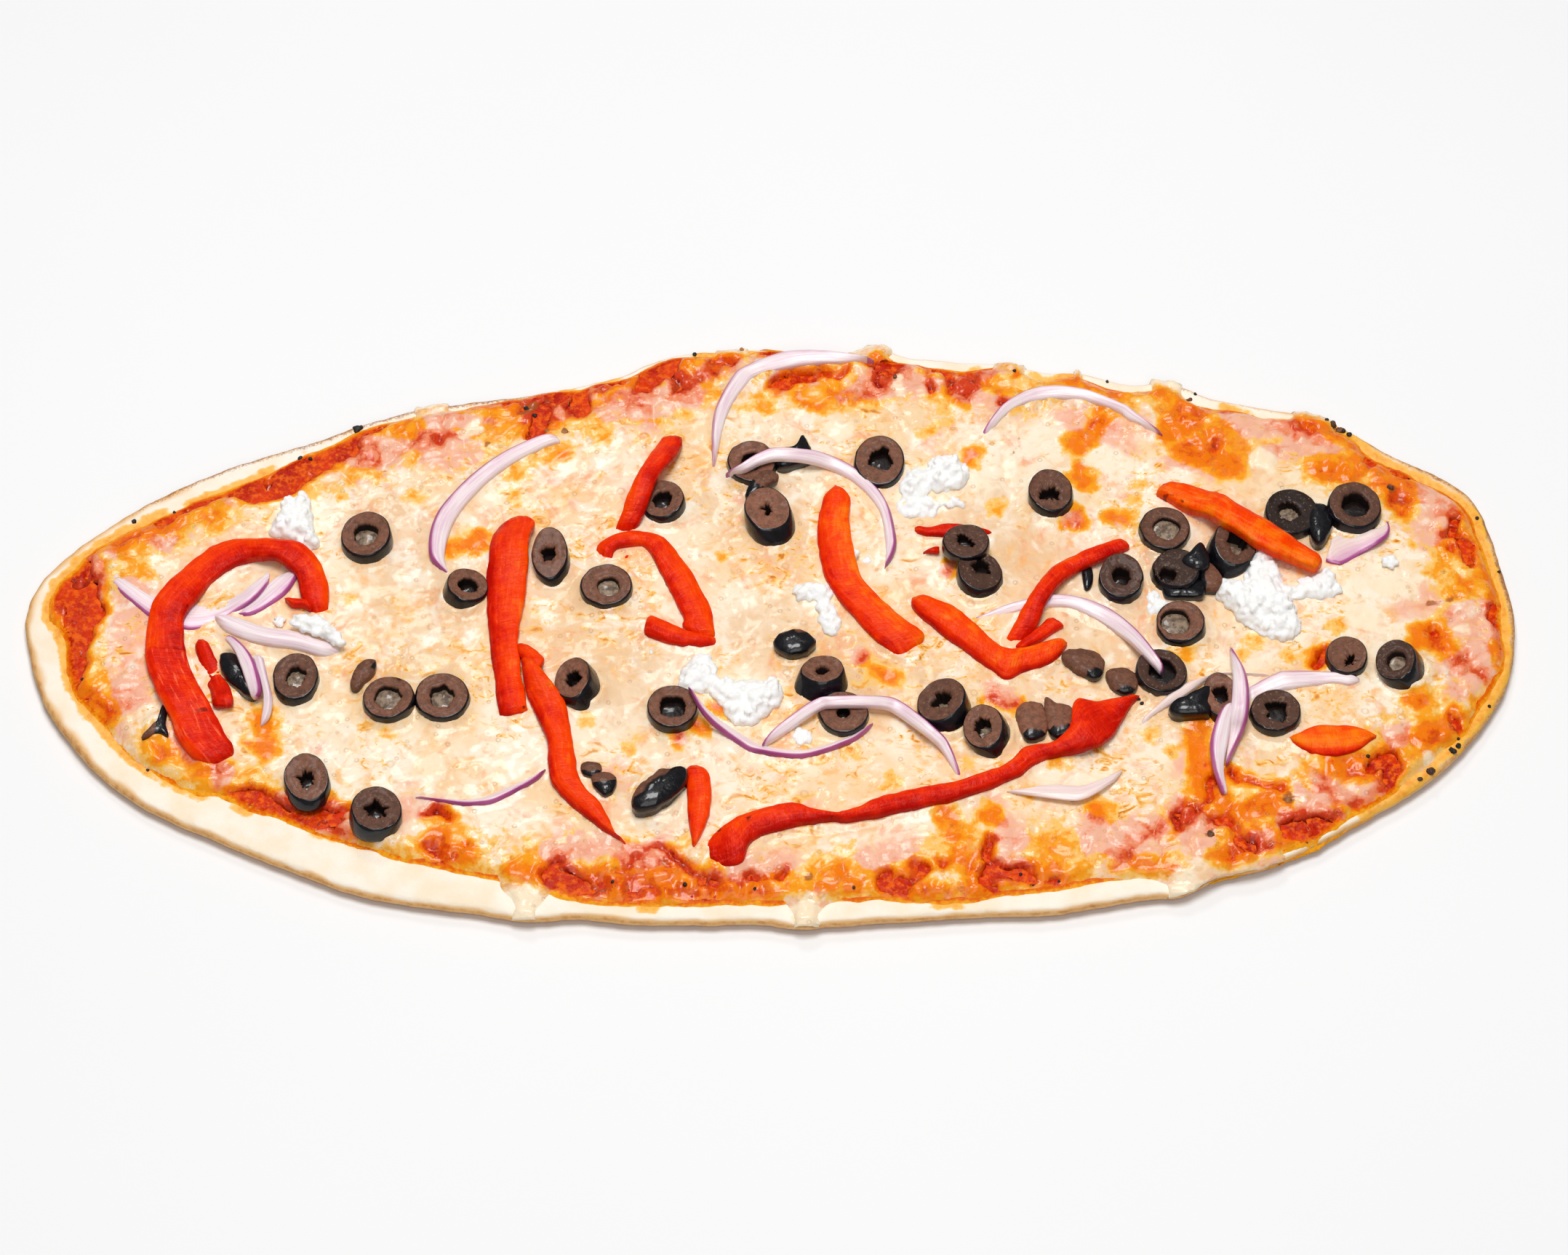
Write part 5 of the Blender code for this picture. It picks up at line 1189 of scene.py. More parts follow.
OLIVES: dict[str, list] = {
    "olive_left_far": [Ring(-112.2, 26.2, 7.0, 3.3, 4.6, 8, -6, fill=0.55, lean=(0.3, -0.6))],
    "olive_by_pepper": [Ring(-83.2, 8.9, 5.9, 2.7, 4.4, -4, 12, lean=(-1.6, -1.0), swell=0.06, ragged=0.2)],
    "olive_long": [Ring(-61.2, 19.6, 5.1, 2.1, 4.6, 14, 0, 0.4, 0.3, 1.55, 90, (0.8, -0.8))],
    "olive_flat_centre": [Ring(-45.2, 8.8, 7.2, 3.1, 3.4, 0, 0, fill=0.6, off=(0.5, -0.4))],
    "olive_behind_strip": [Ring(-30.2, 38.2, 6.0, 2.6, 3.8, 6, -10, 0.25, lean=(0.4, -0.8))],
    "olives_under_arc": [
        Ring(-5.6, 51.4, 6.9, 3.0, 3.8, 7, 0, tone=0.2),
        Lump([(0.5, 50), (3, 54.5), (7, 57), (9.3, 60.4), (11.4, 51), (3.5, 47)], 4.2),
        Ring(-1.0, 34.8, 6.6, 1.6, 5.4, 8, 6, 0.8, 0.1, 1.08, 120, (1.0, -2.4), 0.05),
        Lump([(-7.4, 38), (-3.4, 47), (0.6, 48), (2, 44.6), (-1, 42), (-3, 38)], 3.2, 60, 0.6)],
    "olive_ragged": [Ring(30.4, 51.6, 7.0, 3.3, 3.4, 8, 0, 0.3, long=1.16, off=(0.3, 0.4))],
    "olive_slit": [
        Ring(77.8, 41.2, 6.3, 2.5, 4.4, 8, 6, 0.7, 0.5, 1.08, 80, (0.4, -1.0), off=(-0.4, -1.4))],
    "olives_on_strip": [
        Ring(53.8, 23.6, 6.0, 2.0, 3.4, 0, 0, 0.6, 0.7, 1.1, 0),
        Ring(57.6, 13.6, 6.5, 2.3, 4.2, 4, 10, 0.45, 0.8, off=(0.6, 1.4), lean=(0, -1.2))],
    "olives_far_right_group": [
        Ring(109.1, 28.2, 7.3, 3.8, 3.2, tone=0.5, fill=0.6, off=(0.3, 0.0)),
        Ring(111.6, 14.6, 6.4, 2.2, 4.8, 4, -4, 0.3, 0.9, 1.05, 0, (0, -1.2), 0.06, (-2.6, -1.8)),
        Lump([(112.6, 14.4), (114.6, 18.2), (118.6, 22.8), (120.8, 18), (120, 12),
            (116, 10.6)], 6.2, 250, 0.1),
        Lump([(118, 7), (118.6, 15), (121.4, 15.8), (124, 11), (123.6, 6.6), (121, 5.4)], 3.6, 0, 0.7),
        Ring(128.4, 23.2, 6.2, 3.0, 4.4, 8, 8, 0.3, 0.6, 1.2, 90, (-2.4, -2.0), 0.05, (0.6, 0.4), 0.3),
        Lump([(108, 4), (108.4, 9), (118, 10), (118.6, 4.6), (114, 3)], 3.2, None),
        Ring(111.9, -3.4, 6.9, 3.9, 3.8, 4, -4, fill=0.62, off=(-1.4, 0.2), lean=(0.4, -0.6))],
    "olive_oval_right": [Ring(96.2, 12.0, 6.2, 2.4, 4.6, 12, 0, 0.3, 0.75, 1.1, 90, (0, -0.8))],
    "olives_far_right_pair": [
        Ring(144.6, 34.0, 7.4, 3.0, 4.0, 4, 4, 0.3, 1.0, fill=0.4, off=(-0.6, 0)),
        Lump([(148.6, 25.2), (149.4, 33), (151.6, 36.8), (155, 35), (155.4, 28), (152.6, 21.4),
            (150, 20.8)], 4.4),
        Ring(162.3, 36.2, 7.5, 3.9, 4.8, 8, 6, 0.14, 0.6, lean=(0, -1.0))],
    "olive_with_onion_end": [
        Ring(106.0, -19.6, 7.2, 3.9, 3.6, 0, 4, 0.16, 0.8, off=(0.4, 0)),
        Lump([(90.5, -21), (93, -18.6), (97, -19), (99.6, -22.6), (98.4, -27.4), (95, -28.6),
            (91.6, -26)], 3.0, 90, 0.9),
        Lump([(78.7, -14.6), (83, -12.6), (88.6, -14.2), (91, -18.4), (88.4, -23.8), (84, -22.6),
            (80.4, -19)], 3.4, 120, 0.9)],
    "olives_centre_pair": [
        Ring(46.0, -29.2, 6.4, 2.4, 5.4, 4, -16, 0.4, 0.5, 1.1, 60, (1.8, -2.0), 0.1, fill=0.3),
        Ring(57.0, -37.8, 5.6, 2.4, 4.8, 4, -10, 0.4, 0.2, 1.25, 95, (2.6, -0.6), 0.08, fill=0.3),
        Lump([(66, -36), (67, -31), (70.6, -29.8), (74, -32), (74.6, -40), (72, -43.4),
            (68, -43)], 3.4, 100, 0.9, 0.1),
        Lump([(74, -28.8), (77, -30), (81, -31.4), (83, -36), (80.6, -41.6), (76, -42.8),
            (74, -39)], 3.0, 100, 0.8, 0.2)],
    "olives_centre_low": [
        Ring(19.6, -33.2, 6.9, 1.8, 3.4),
        Ring(14.0, -19.2, 5.0, 1.6, 5.6, -6, 0, 0.3, 0.3, 1.2, 10, (-0.4, -3.6), 0.28),
        Lump([(0.4, -11), (2.6, -7.4), (6, -6.2), (10.4, -7.4), (12.3, -11.6), (9.6, -15.4), (5, -16.6),
            (1.8, -14.6)], 4.4, 80, 0.2)],
    "olive_flat_low": [Ring(-26.6, -31.4, 7.0, 3.5, 4.2, ragged=0.18)],
    "olive_faces_left": [Ring(-53.8, -22.2, 5.0, 2.0, 5.6, 2, -18, 0.4, 0.2, 1.36, 90, (3.0, -0.8), 0.14)],
    "olive_black_half": [
        Lump([(-37, -62), (-34.6, -56.4), (-29, -51.6), (-23.4, -51.2), (-22, -54.6), (-25, -61),
            (-30.6, -66), (-35.6, -66.4)], 5.0, 140, 0.35)],
    "olives_left_pair": [
        Ring(-88.8, -28.0, 7.6, 3.2, 3.4, 0, 0, 0.2, fill=0.4),
        Ring(-103.4, -28.4, 7.1, 3.6, 4.0, 0, -4, fill=0.6),
        Lump([(-112, -17.5), (-107.5, -16), (-107.3, -20), (-109.2, -24), (-112, -27),
            (-113.8, -25)], 2.8, 180, 0.9)],
    "olive_under_tangle": [
        Ring(-128.8, -21.4, 6.4, 2.6, 4.0, 6, 0, 0.3, 0.5, 1.15, 90, (0, -0.6), fill=0.6)],
    "olive_black_sliver": [
        Lump([(-149.8, -14.6), (-146.4, -13.6), (-142, -17.4), (-138.6, -24), (-138.4, -28.8),
            (-141, -29.5), (-145.6, -25.6), (-149, -20)], 3.6)],
    "olive_low_left": [Ring(-124.0, -54.2, 6.0, 2.1, 4.4, 12, 0, 0.6, 0.3, 1.2, 110, (0, -1.2), 0.04)],
    "olive_low_round": [Ring(-104.8, -64.2, 6.8, 2.2, 4.6, 4, 4, 0.6, 0.6, lean=(-0.8, -1.0), swell=0.03)],
    "olives_right_wedge": [
        Lump([(106.8, -33), (110, -29.6), (118.6, -24.8), (118.4, -30), (118, -35.4), (109.8, -36.2)], 4.6),
        Ring(121.6, -27.4, 4.6, 2.0, 4.2, 8, -6, 0.3, 0.2, 1.5, 96, (0.4, -1.0))],
    "olive_low_right": [Ring(136.2, -32.6, 7.0, 3.0, 3.4, 0, 0, 0.4, 0.7)],
    "olive_small_right": [
        Ring(156.6, -14.4, 5.7, 1.5, 3.8, 4, 0, 0.8, 0.35, 1.04, 90, (0, -0.6), 0.0, (0.8, -2.0))],
    "olive_faces_left_right": [
        Ring(169.6, -16.2, 5.6, 2.6, 4.8, 0, -14, 0.1, 0.8, 1.22, 90, (3.2, -0.6), 0.14, (0.2, -0.2), 0.6)],
}
# Small olive pieces that lie on the cheese by themselves.
OLIVE_BITS: dict[str, list] = {
    "cheese": [
        Lump([(-50.6, -50.4), (-48.6, -49.4), (-45.2, -50.4), (-45.6, -53.6), (-48, -55),
            (-50.4, -53.6)], 2.2, 90, 0.6),
        Lump([(-47.8, -54), (-44.6, -52.6), (-41.2, -54.6), (-41.6, -59), (-44, -61),
            (-46.8, -58.6)], 2.6, 100, 0.5),
        Lump([(-169, -42.5), (-165.5, -37), (-164, -30.5), (-162.8, -32), (-162.4, -38), (-161.5, -42),
            (-164.5, -41.2)], 2.4, 180, 0.4),
        Lump([(86, 6.4), (85.6, 13), (87.6, 18), (88.8, 12), (88, 7)], 2.4),
        Lump([(92, 24.6), (93.6, 26.2), (96, 25.8), (95.4, 24.4)], 1.6),
        Lump([(-30.6, 27.6), (-28.6, 30.2), (-25.6, 29.6), (-26.6, 27.4)], 1.6, 90, 0.8),
        Lump([(-25.2, 31.6), (-23.6, 34.6), (-21.4, 33.6), (-22.4, 31)], 1.5, 90, 0.6),
        Lump([(-28, 33), (-26.6, 35.6), (-24.8, 36), (-25.6, 33.2)], 1.4),
        Lump([(-81, 3.4), (-79.4, 4.8), (-78.2, 3.6), (-79.6, 2.6)], 1.3, 90, 0.8),
        Lump([(-61.8, -50.4), (-60.8, -50), (-60.2, -51), (-61.2, -51.6)], 1.0),
        Lump([(160, -19.6), (161, -19.4), (161.8, -21.2), (160.6, -21.4)], 1.0)],
}


@dataclass
class Topping:
    """One node's toppings of a kind: what they are, where they sit and which noise is theirs."""

    name: str
    parts: list
    seat: Seat
    footprints: Footprints
    seed: int

    def shapes(self) -> list[Shape]:
        """The shapes of all the parts."""
        raise NotImplementedError

    def build(self, material: Material, title: str) -> Object:
        """Makes the node's parts as one piece.

        Args:
            material: its finish.
            title: the piece's name.

        Returns:
            The piece.
        """
        return Shape.joined(self.shapes()).build(title, material)


class OliveSlices(Topping):
    """Slices of olive and broken pieces."""

    SIDES = 72
    SUNK = 0.5  # how deep its foot sits in the cheese
    # Share of the radius between hole and skin, share of the height.
    SKIN = ((0.9, 0.0), (0.97, 0.06), (1.0, 0.2), (1.01, 0.4), (1.0, 0.6), (0.99, 0.78), (0.975, 0.9),
            (0.955, 0.97), (0.92, 1.0))
    FACE = ((0.96, 0), (0.62, 0.13), (0.42, 0.14), (0.1, 0.03))
    HOLE = ((0.02, 0.93), (-0.06, 0.75), (-0.1, 0.25), (-0.04, 0))
    # Of a broken piece: share of the way out to its outline, share of the height.
    DOME = ((0.98, 0.12), (0.97, 0.74), (0.86, 0.97), (0.2, 0.96))

    def shapes(self) -> list[Shape]:
        """The shapes of all slices and pieces."""
        result = []
        for number, part in enumerate(self.parts):
            seed = 31 * self.seed + 7 * number
            result += self.ring(part, seed) if isinstance(part, Ring) else [self.lump(part, seed)]
        return result

    def ring(self, ring: Ring, seed: int) -> list[Shape]:
        """A slice, with its skin, its cut face, its ragged stone hole and what closes it below: cheese run
        into it, or a plug painted near black as the hole's shade.
        """
        around = 0.5 * (0.9 * ring.radius + ring.hole)
        base = self.seat.ring_base(self.name, ring.x, ring.y, around, ring.height)
        px, py = to_plan(ring.x, ring.y, base + ring.height)
        width = ring.radius * (0.97 + ring.swell)
        self.footprints.add(px + ring.lean[0], py + ring.lean[1], width, base, 1.8)
        base -= self.SUNK
        height = ring.height + self.SUNK
        turns = np.arange(self.SIDES) * 2 * math.pi / self.SIDES
        circle = np.stack([np.cos(turns), np.sin(turns)], axis=1)
        way = math.radians(ring.turn)
        along = circle @ np.array([math.cos(way), math.sin(way)])
        oval = 1 / np.sqrt(along ** 2 / ring.long ** 2 + (1 - along ** 2))
        uneven = 0.05 * noise(circle * 8, 9, seed) + 0.02 * noise(circle * 8, 3, seed + 8)
        outer = ring.radius * oval * (1 + uneven)
        torn = noise(circle * 3, 2.2, seed + 1, 3)
        spikes = np.abs(noise(circle * 3, 0.9, seed + 2, 2))
        hole = ring.hole * oval ** 0.6 * (1 + 1.3 * ring.ragged * torn + ring.ragged * (spikes - 0.3))
        # Shift towards the hole, radius, share of the height, sinking, how far it is cut face and hole.
        rows = [(0, outer * reach, share, 0.0, 0, 0) for reach, share in self.SKIN]
        rows += [(1 - reach, hole + (0.93 * outer - hole) * reach, 1.0, -sink * 1.5, 1, 0)
                 for reach, sink in self.FACE]
        # The hole's rows take the hole mask: painted shade, near black, inside the hole.
        rows += [(1, hole * (1 + reach), share, -0.05, *((1, 0.4) if share > 0.9 else (0.7, 1)))
                 for reach, share in self.HOLE]
        slope = np.array([-math.tan(math.radians(ring.roll)), math.tan(math.radians(ring.pitch))])
        lean, off = np.array(ring.lean), np.array(ring.off)
        points, masks = [], []
        for shift, reach, share, sink, face, inside in rows:
            foot = 1 - share
            step = (reach * (1 + ring.swell * foot))[:, None] * circle + off * shift
            lift = np.maximum(height + step @ slope, 0.4 * height)
            place = np.array([px, py]) + step + lean * foot
            points.append(np.column_stack([place, base + share * lift + sink]))
            masks.append(np.tile([face, inside, 0.5 + 0.5 * ring.tone], (self.SIDES, 1)))
        faces = tube_faces(len(points), self.SIDES, looped=True)
        points, masks = np.concatenate(points), np.concatenate(masks)
        away = outward(points[:, :2], np.array([px, py]), 0.1)
        wrinkle = 0.16 * noise(points, 2.6, seed + 3) + 0.07 * noise(points, 1.0, seed + 4)
        points[:, :2] += away * (wrinkle * np.clip(1.3 - masks[:, 0], 0, 1))[:, None]
        dents = 0.13 * noise(points, 1.2, seed + 5, 2) + 0.14 * noise(points, 4, seed + 6)
        points[:, 2] += masks[:, 0] * dents
        slice_shape = Shape(points, faces, {"olive": masks, "core": np.zeros((len(points), 3))})
        floor = base + (ring.fill or 0.4) * height - 0.6
        spot = np.append(np.array([px, py]) + off + 0.5 * lean, floor)
        return [slice_shape, self.filling(spot, ring.hole * 1.2 * ring.long ** 0.5, ring.fill > 0, seed)]

    def filling(self, spot: Array, radius: float, cheese: bool, seed: int) -> Shape:
        """What closes a stone hole below: melted cheese, painted grey-brown as shade, or a plug painted near
        black as shade in the hole.
        """
        shape = ball(spot, (radius, radius, 0.9), 28, 12)
        shape.points[:, 2] += 0.25 * noise(shape.points, 2.2, seed + 11)
        # The plug's hole mask and the cheese's core mask both carry painted shade.
        shape.masks = {name: np.tile([float(first), float(second), 0.0], (len(shape.points), 1))
                       for name, first, second in (("olive", False, not cheese), ("core", cheese, False))}
        return shape

    def lump(self, lump: Lump, seed: int) -> Shape:
        """A broken piece: a flat-topped dome over its outline, with cut flesh on one side."""
        base = self.seat.lump_top(self.name, *lump.middle()) - lump.height
        rim = lump.rim(base, 0.55, 0.3)
        heart = rim.mean(axis=0)
        size = float(np.median(np.hypot(*(rim - heart).T)))
        self.footprints.add(heart[0], heart[1], 0.8 * size, base, 1.0)
        foot, tall = base - self.SUNK, lump.height + self.SUNK
        points = np.concatenate([
            np.column_stack([heart + (rim - heart) * reach, np.full(len(rim), foot + tall * up)])
            for reach, up in self.DOME])
        rough = 0.09 * size * noise(points, 3.2, seed + 1, 2) + 0.14 * noise(points, 1.1, seed + 2)
        points = points + outward(points, np.array([*heart, base]), 0.3) * (rough * 1.3)[:, None]
        cut = np.zeros(len(points))
        if lump.cut is not None:
            way = np.array([math.cos(math.radians(lump.cut)), math.sin(math.radians(lump.cut))])
            side = (points[:, :2] - heart) @ way / size + 0.25 * noise(points, 3, seed + 3)
            height = (points[:, 2] - base) / lump.height
            cut = smoothstep(-0.12, 0.12, side + 2 * lump.share - 1) * smoothstep(0.4, 0.8, height)
        masks = np.stack([cut, np.zeros(len(points)), np.full(len(points), 0.5 + 0.5 * lump.tone)], axis=1)
        faces = tube_faces(len(self.DOME), len(rim))
        here, after = rim - heart, np.roll(rim, -1, axis=0) - heart
        if (here[:, 0] * after[:, 1] - here[:, 1] * after[:, 0]).sum() < 0:
            faces = [tuple(reversed(face)) for face in faces]
        return Shape(points, faces, {"olive": masks, "core": np.zeros((len(points), 3))})


# --- strips of pepper and onion
@dataclass(frozen=True)
class Strip:
    """A strip: its thickness, and at stations along it its two edges as seen, an onion's skin side first."""

    thick: float
    pairs: list
    hues_and_shade: tuple = (0.2, 0.6, 0.6)  # of a pepper, red to orange, the redder flank partly painted shade: first edge, crest, second edge
    crest: float = -0.4  # where its crest runs, from -1 at its first edge to 1
    falls: tuple = (0.5, 0.2)  # how far it falls from the crest to either edge, as a share of its thickness
    purple: float = 1.0  # of an onion, how strong its skin line is
    clear: float = 0.0  # of an onion, how glassy it is
    hatch: float = 0.0  # of a pepper, how plainly its fibres show


PEPPERS: dict[str, list[Strip]] = {
    "pepper_loop": [
        Strip(3.6, [(-121.5, 0, -125.6, -1.2), (-121.4, 4, -128.4, 3.2), (-122, 10, -129.5, 8),
            (-124, 16, -130.6, 11.8), (-127, 21, -133, 14.4), (-131, 24, -135.6, 16.4),
            (-138, 25.2, -139, 17.3), (-146, 24.8, -143.4, 16.8), (-152, 23.4, -147.2, 14.8),
            (-157, 20, -152, 11), (-165.5, 10, -158, 3.4), (-169, 4, -160, -0.6), (-170.2, -3, -160.4, -5),
            (-170, -14, -159, -14)], (0.6, 0.34, 0.12), -0.1, (0.3, 0.35)),
        Strip(3.6, [(-170.4, -12, -159.6, -11.6), (-168, -22, -156.4, -21), (-161.5, -36, -150, -33),
            (-159.5, -42, -147.6, -38), (-153.5, -49, -144.4, -44), (-147, -51, -144.8, -49.4)],
            (0.5, 0.32, 0.34), -0.7, (0.3, 0.3), hatch=1.0),
        Strip(2.6, [(-156.5, -10, -154, -9.5), (-156, -15, -151.5, -14), (-151.5, -27, -146, -26),
            (-150.2, -31, -144.8, -31)], (0.1, 0.3, 0.2)),
        Strip(2.4, [(-133.5, 5, -133, 3.4), (-130.8, 4.6, -131, 1.4), (-127.8, 4, -128, 1),
            (-125.4, 2, -126, 0)], (0.5, 0.3, 0.2))],
    "pepper_long_left": [
        Strip(2.8, [(-73.6, 30.6, -68.5, 32.6), (-76, 27.4, -65.4, 29.4), (-77.6, 22, -66.8, 24),
            (-78, 4, -67.4, 5), (-76.4, -11, -68.9, -10), (-73, -34.9, -65.4, -32.8)],
            (0.1, 0.55, 0.62), -0.45, (0.55, 0.1))],
    "pepper_upright": [
        Strip(3.2, [(-29.8, 60, -25.2, 60.2), (-32.4, 56, -25.3, 56), (-36.6, 48.4, -30.2, 48.4),
            (-39, 43, -32.4, 42.6), (-41.6, 33, -35.4, 32.6), (-43.4, 27, -38, 27)], (0.6, 0.4, 0.08), 0.1,
            (0.3, 0.45))],
    "pepper_curl": [
        Strip(3.4, [(-48.2, 19.2, -43.8, 15), (-47.6, 23, -43.4, 19.4), (-41.5, 26.8, -40.4, 21.2),
            (-32.6, 26.8, -34.2, 20.6), (-25.6, 19.6, -30.4, 12.4), (-16.9, 2.4, -24.4, -1.6),
            (-15.7, -4, -24.2, -5), (-15, -8.4, -21, -8)], (0.6, 0.42, 0.2), 0.0, (0.3, 0.3)),
        Strip(3.0, [(-14.8, -12, -15.2, -7.5), (-20, -12.2, -20.5, -6.5), (-26, -11.6, -25.5, -4.6),
            (-34.8, -8, -33.6, -0.4)], (0.15, 0.5, 0.5), -0.3, (0.4, 0.2)),
        Strip(2.2, [(-41, 20.6, -42.4, 15.4), (-35, 19.4, -36.6, 11), (-31.5, 15.5, -33, 10.6),
            (-30.4, 12, -31, 10.8)], (0.15, 0.3, 0.55), 0.0, (0.2, 0.3))],
    "pepper_centre": [
        Strip(3.0, [(17.4, 42.6, 18.4, 42.8), (14.9, 38.8, 22, 38.6), (12.9, 29, 21.8, 29),
            (14.2, 14.6, 23.8, 15), (17, 7, 27, 8), (26, -6.4, 37, -3), (31.4, -12.6, 41.8, -7.6),
            (36.6, -16.6, 40.8, -11.6)], (0.3, 0.75, 0.8), -0.35, (0.5, 0.15))],
    "pepper_tapered": [
        Strip(3.2, [(-68, -15, -64, -16.5), (-66.4, -26, -58, -25.6), (-64.6, -31, -55.4, -30.6),
            (-60.2, -42, -53.3, -42), (-58.6, -55.4, -50.8, -55), (-50.6, -65.4, -44.8, -63.4),
            (-41.6, -73.2, -40.9, -71.8), (-38.4, -75.6, -38.2, -75)], (0.12, 0.6, 0.6), -0.5, (0.5, 0.25)),
        Strip(2.6, [(-69.4, -11.2, -67, -10.8), (-68.6, -14.4, -63.6, -13.6), (-66.6, -17, -61.6, -16.4),
            (-64.4, -19.2, -62.4, -18.6)], (0.3, 0.6, 0.6))],
    "pepper_short_low": [
        Strip(2.6, [(-22.4, -51, -19, -50.4), (-22.7, -55, -16.2, -54.6), (-21.9, -66, -16.3, -66),
            (-20.6, -76.2, -19.9, -76.2)], (0.35, 0.7, 0.6), -0.3, (0.4, 0.2))],
    "pepper_short_high": [
        Strip(2.4, [(39.8, 28.8, 39.8, 26.8), (43, 29, 43.4, 25), (51.4, 30, 52, 25),
            (61.4, 27.2, 59.4, 25.6)], (0.3, 0.35, 0.1), 0.1, (0.3, 0.4)),
        Strip(1.4, [(42, 20, 42.2, 19.7), (44, 21.4, 44.2, 19.6), (46.5, 22.5, 46.5, 19.5)],
            (0.2, 0.2, 0.2))],
    "pepper_bent_high": [
        Strip(3.0, [(97.6, 25, 99.4, 20.8), (93.4, 23.8, 95.2, 18.6), (78.6, 16, 81.4, 10.6),
            (71.4, 6.4, 75.8, 3.2), (66.6, -4, 72.8, -4.6), (63.2, -11.4, 67.4, -11.8)],
            (0.62, 0.3, 0.1), -0.3, (0.3, 0.4))],
    "pepper_fork": [
        Strip(3.4, [(39.4, 5.4, 38.2, 3), (43.4, 5.2, 39.4, 0), (52.4, 0, 47.6, -8.6),
            (61, -10.2, 59.6, -19.6), (65, -12.2, 64, -23), (69.4, -12, 68.4, -20.6),
            (74, -10.4, 74, -18.8), (78.6, -9, 78.4, -15.6), (80.8, -9.6, 80.6, -12)],
            (0.75, 0.7, 0.15), 0.35, (0.15, 0.5)),
        Strip(2.6, [(66.4, -11.2, 69, -12.6), (70, -8.2, 73, -10.6), (73.2, -4.6, 77, -7.4),
            (76, -1.4, 80.4, -5)], (0.3, 0.3, 0.2))],
    "pepper_bulb": [
        Strip(4.0, [(-17.8, -75.5, -16.8, -81.4), (-14.4, -71.2, -12, -83.2), (-10, -67.6, -7.4, -81),
            (-5.6, -65, -4.6, -74.4), (5, -62.4, 5.6, -70.4), (15.4, -64.8, 15.4, -68.4),
            (20.6, -64.4, 21, -68.5), (33, -59, 34, -65.8), (49, -55.4, 50, -61.6), (63, -49.4, 65, -55),
            (68, -44.4, 71, -50.6), (75, -42.8, 77.4, -47.6), (80, -38, 84.4, -45.6), (82.4, -29, 90, -43),
            (88, -29.4, 94.4, -37), (94, -28.4, 97, -32), (99.6, -27.6, 99.6, -28.8)],
            (0.5, 0.25, 0.02), 0.0, (0.3, 0.45))],
    "pepper_orange": [
        Strip(4.2, [(110.8, 45.2, 106.8, 39.8), (121, 41.9, 115.5, 33.6), (125.2, 40.8, 121, 31.4),
            (131.8, 35.8, 127.6, 27), (141, 29.2, 135.4, 20.6), (147.4, 23.2, 143.8, 15.6),
            (152.4, 18, 149.8, 13.3)], (0.62, 0.92, 0.75), -0.1, (0.35, 0.3), hatch=0.6)],
    "pepper_lens": [
        Strip(2.4, [(139.4, -41, 139.4, -42.2), (141.4, -40.1, 141, -44.4), (148, -37.3, 148, -47.6),
            (156.6, -37.6, 156.6, -46.2), (162.8, -40.6, 162.6, -41.8)], (0.8, 1.0, 0.25), 0.45,
            (0.2, 0.45))],
}
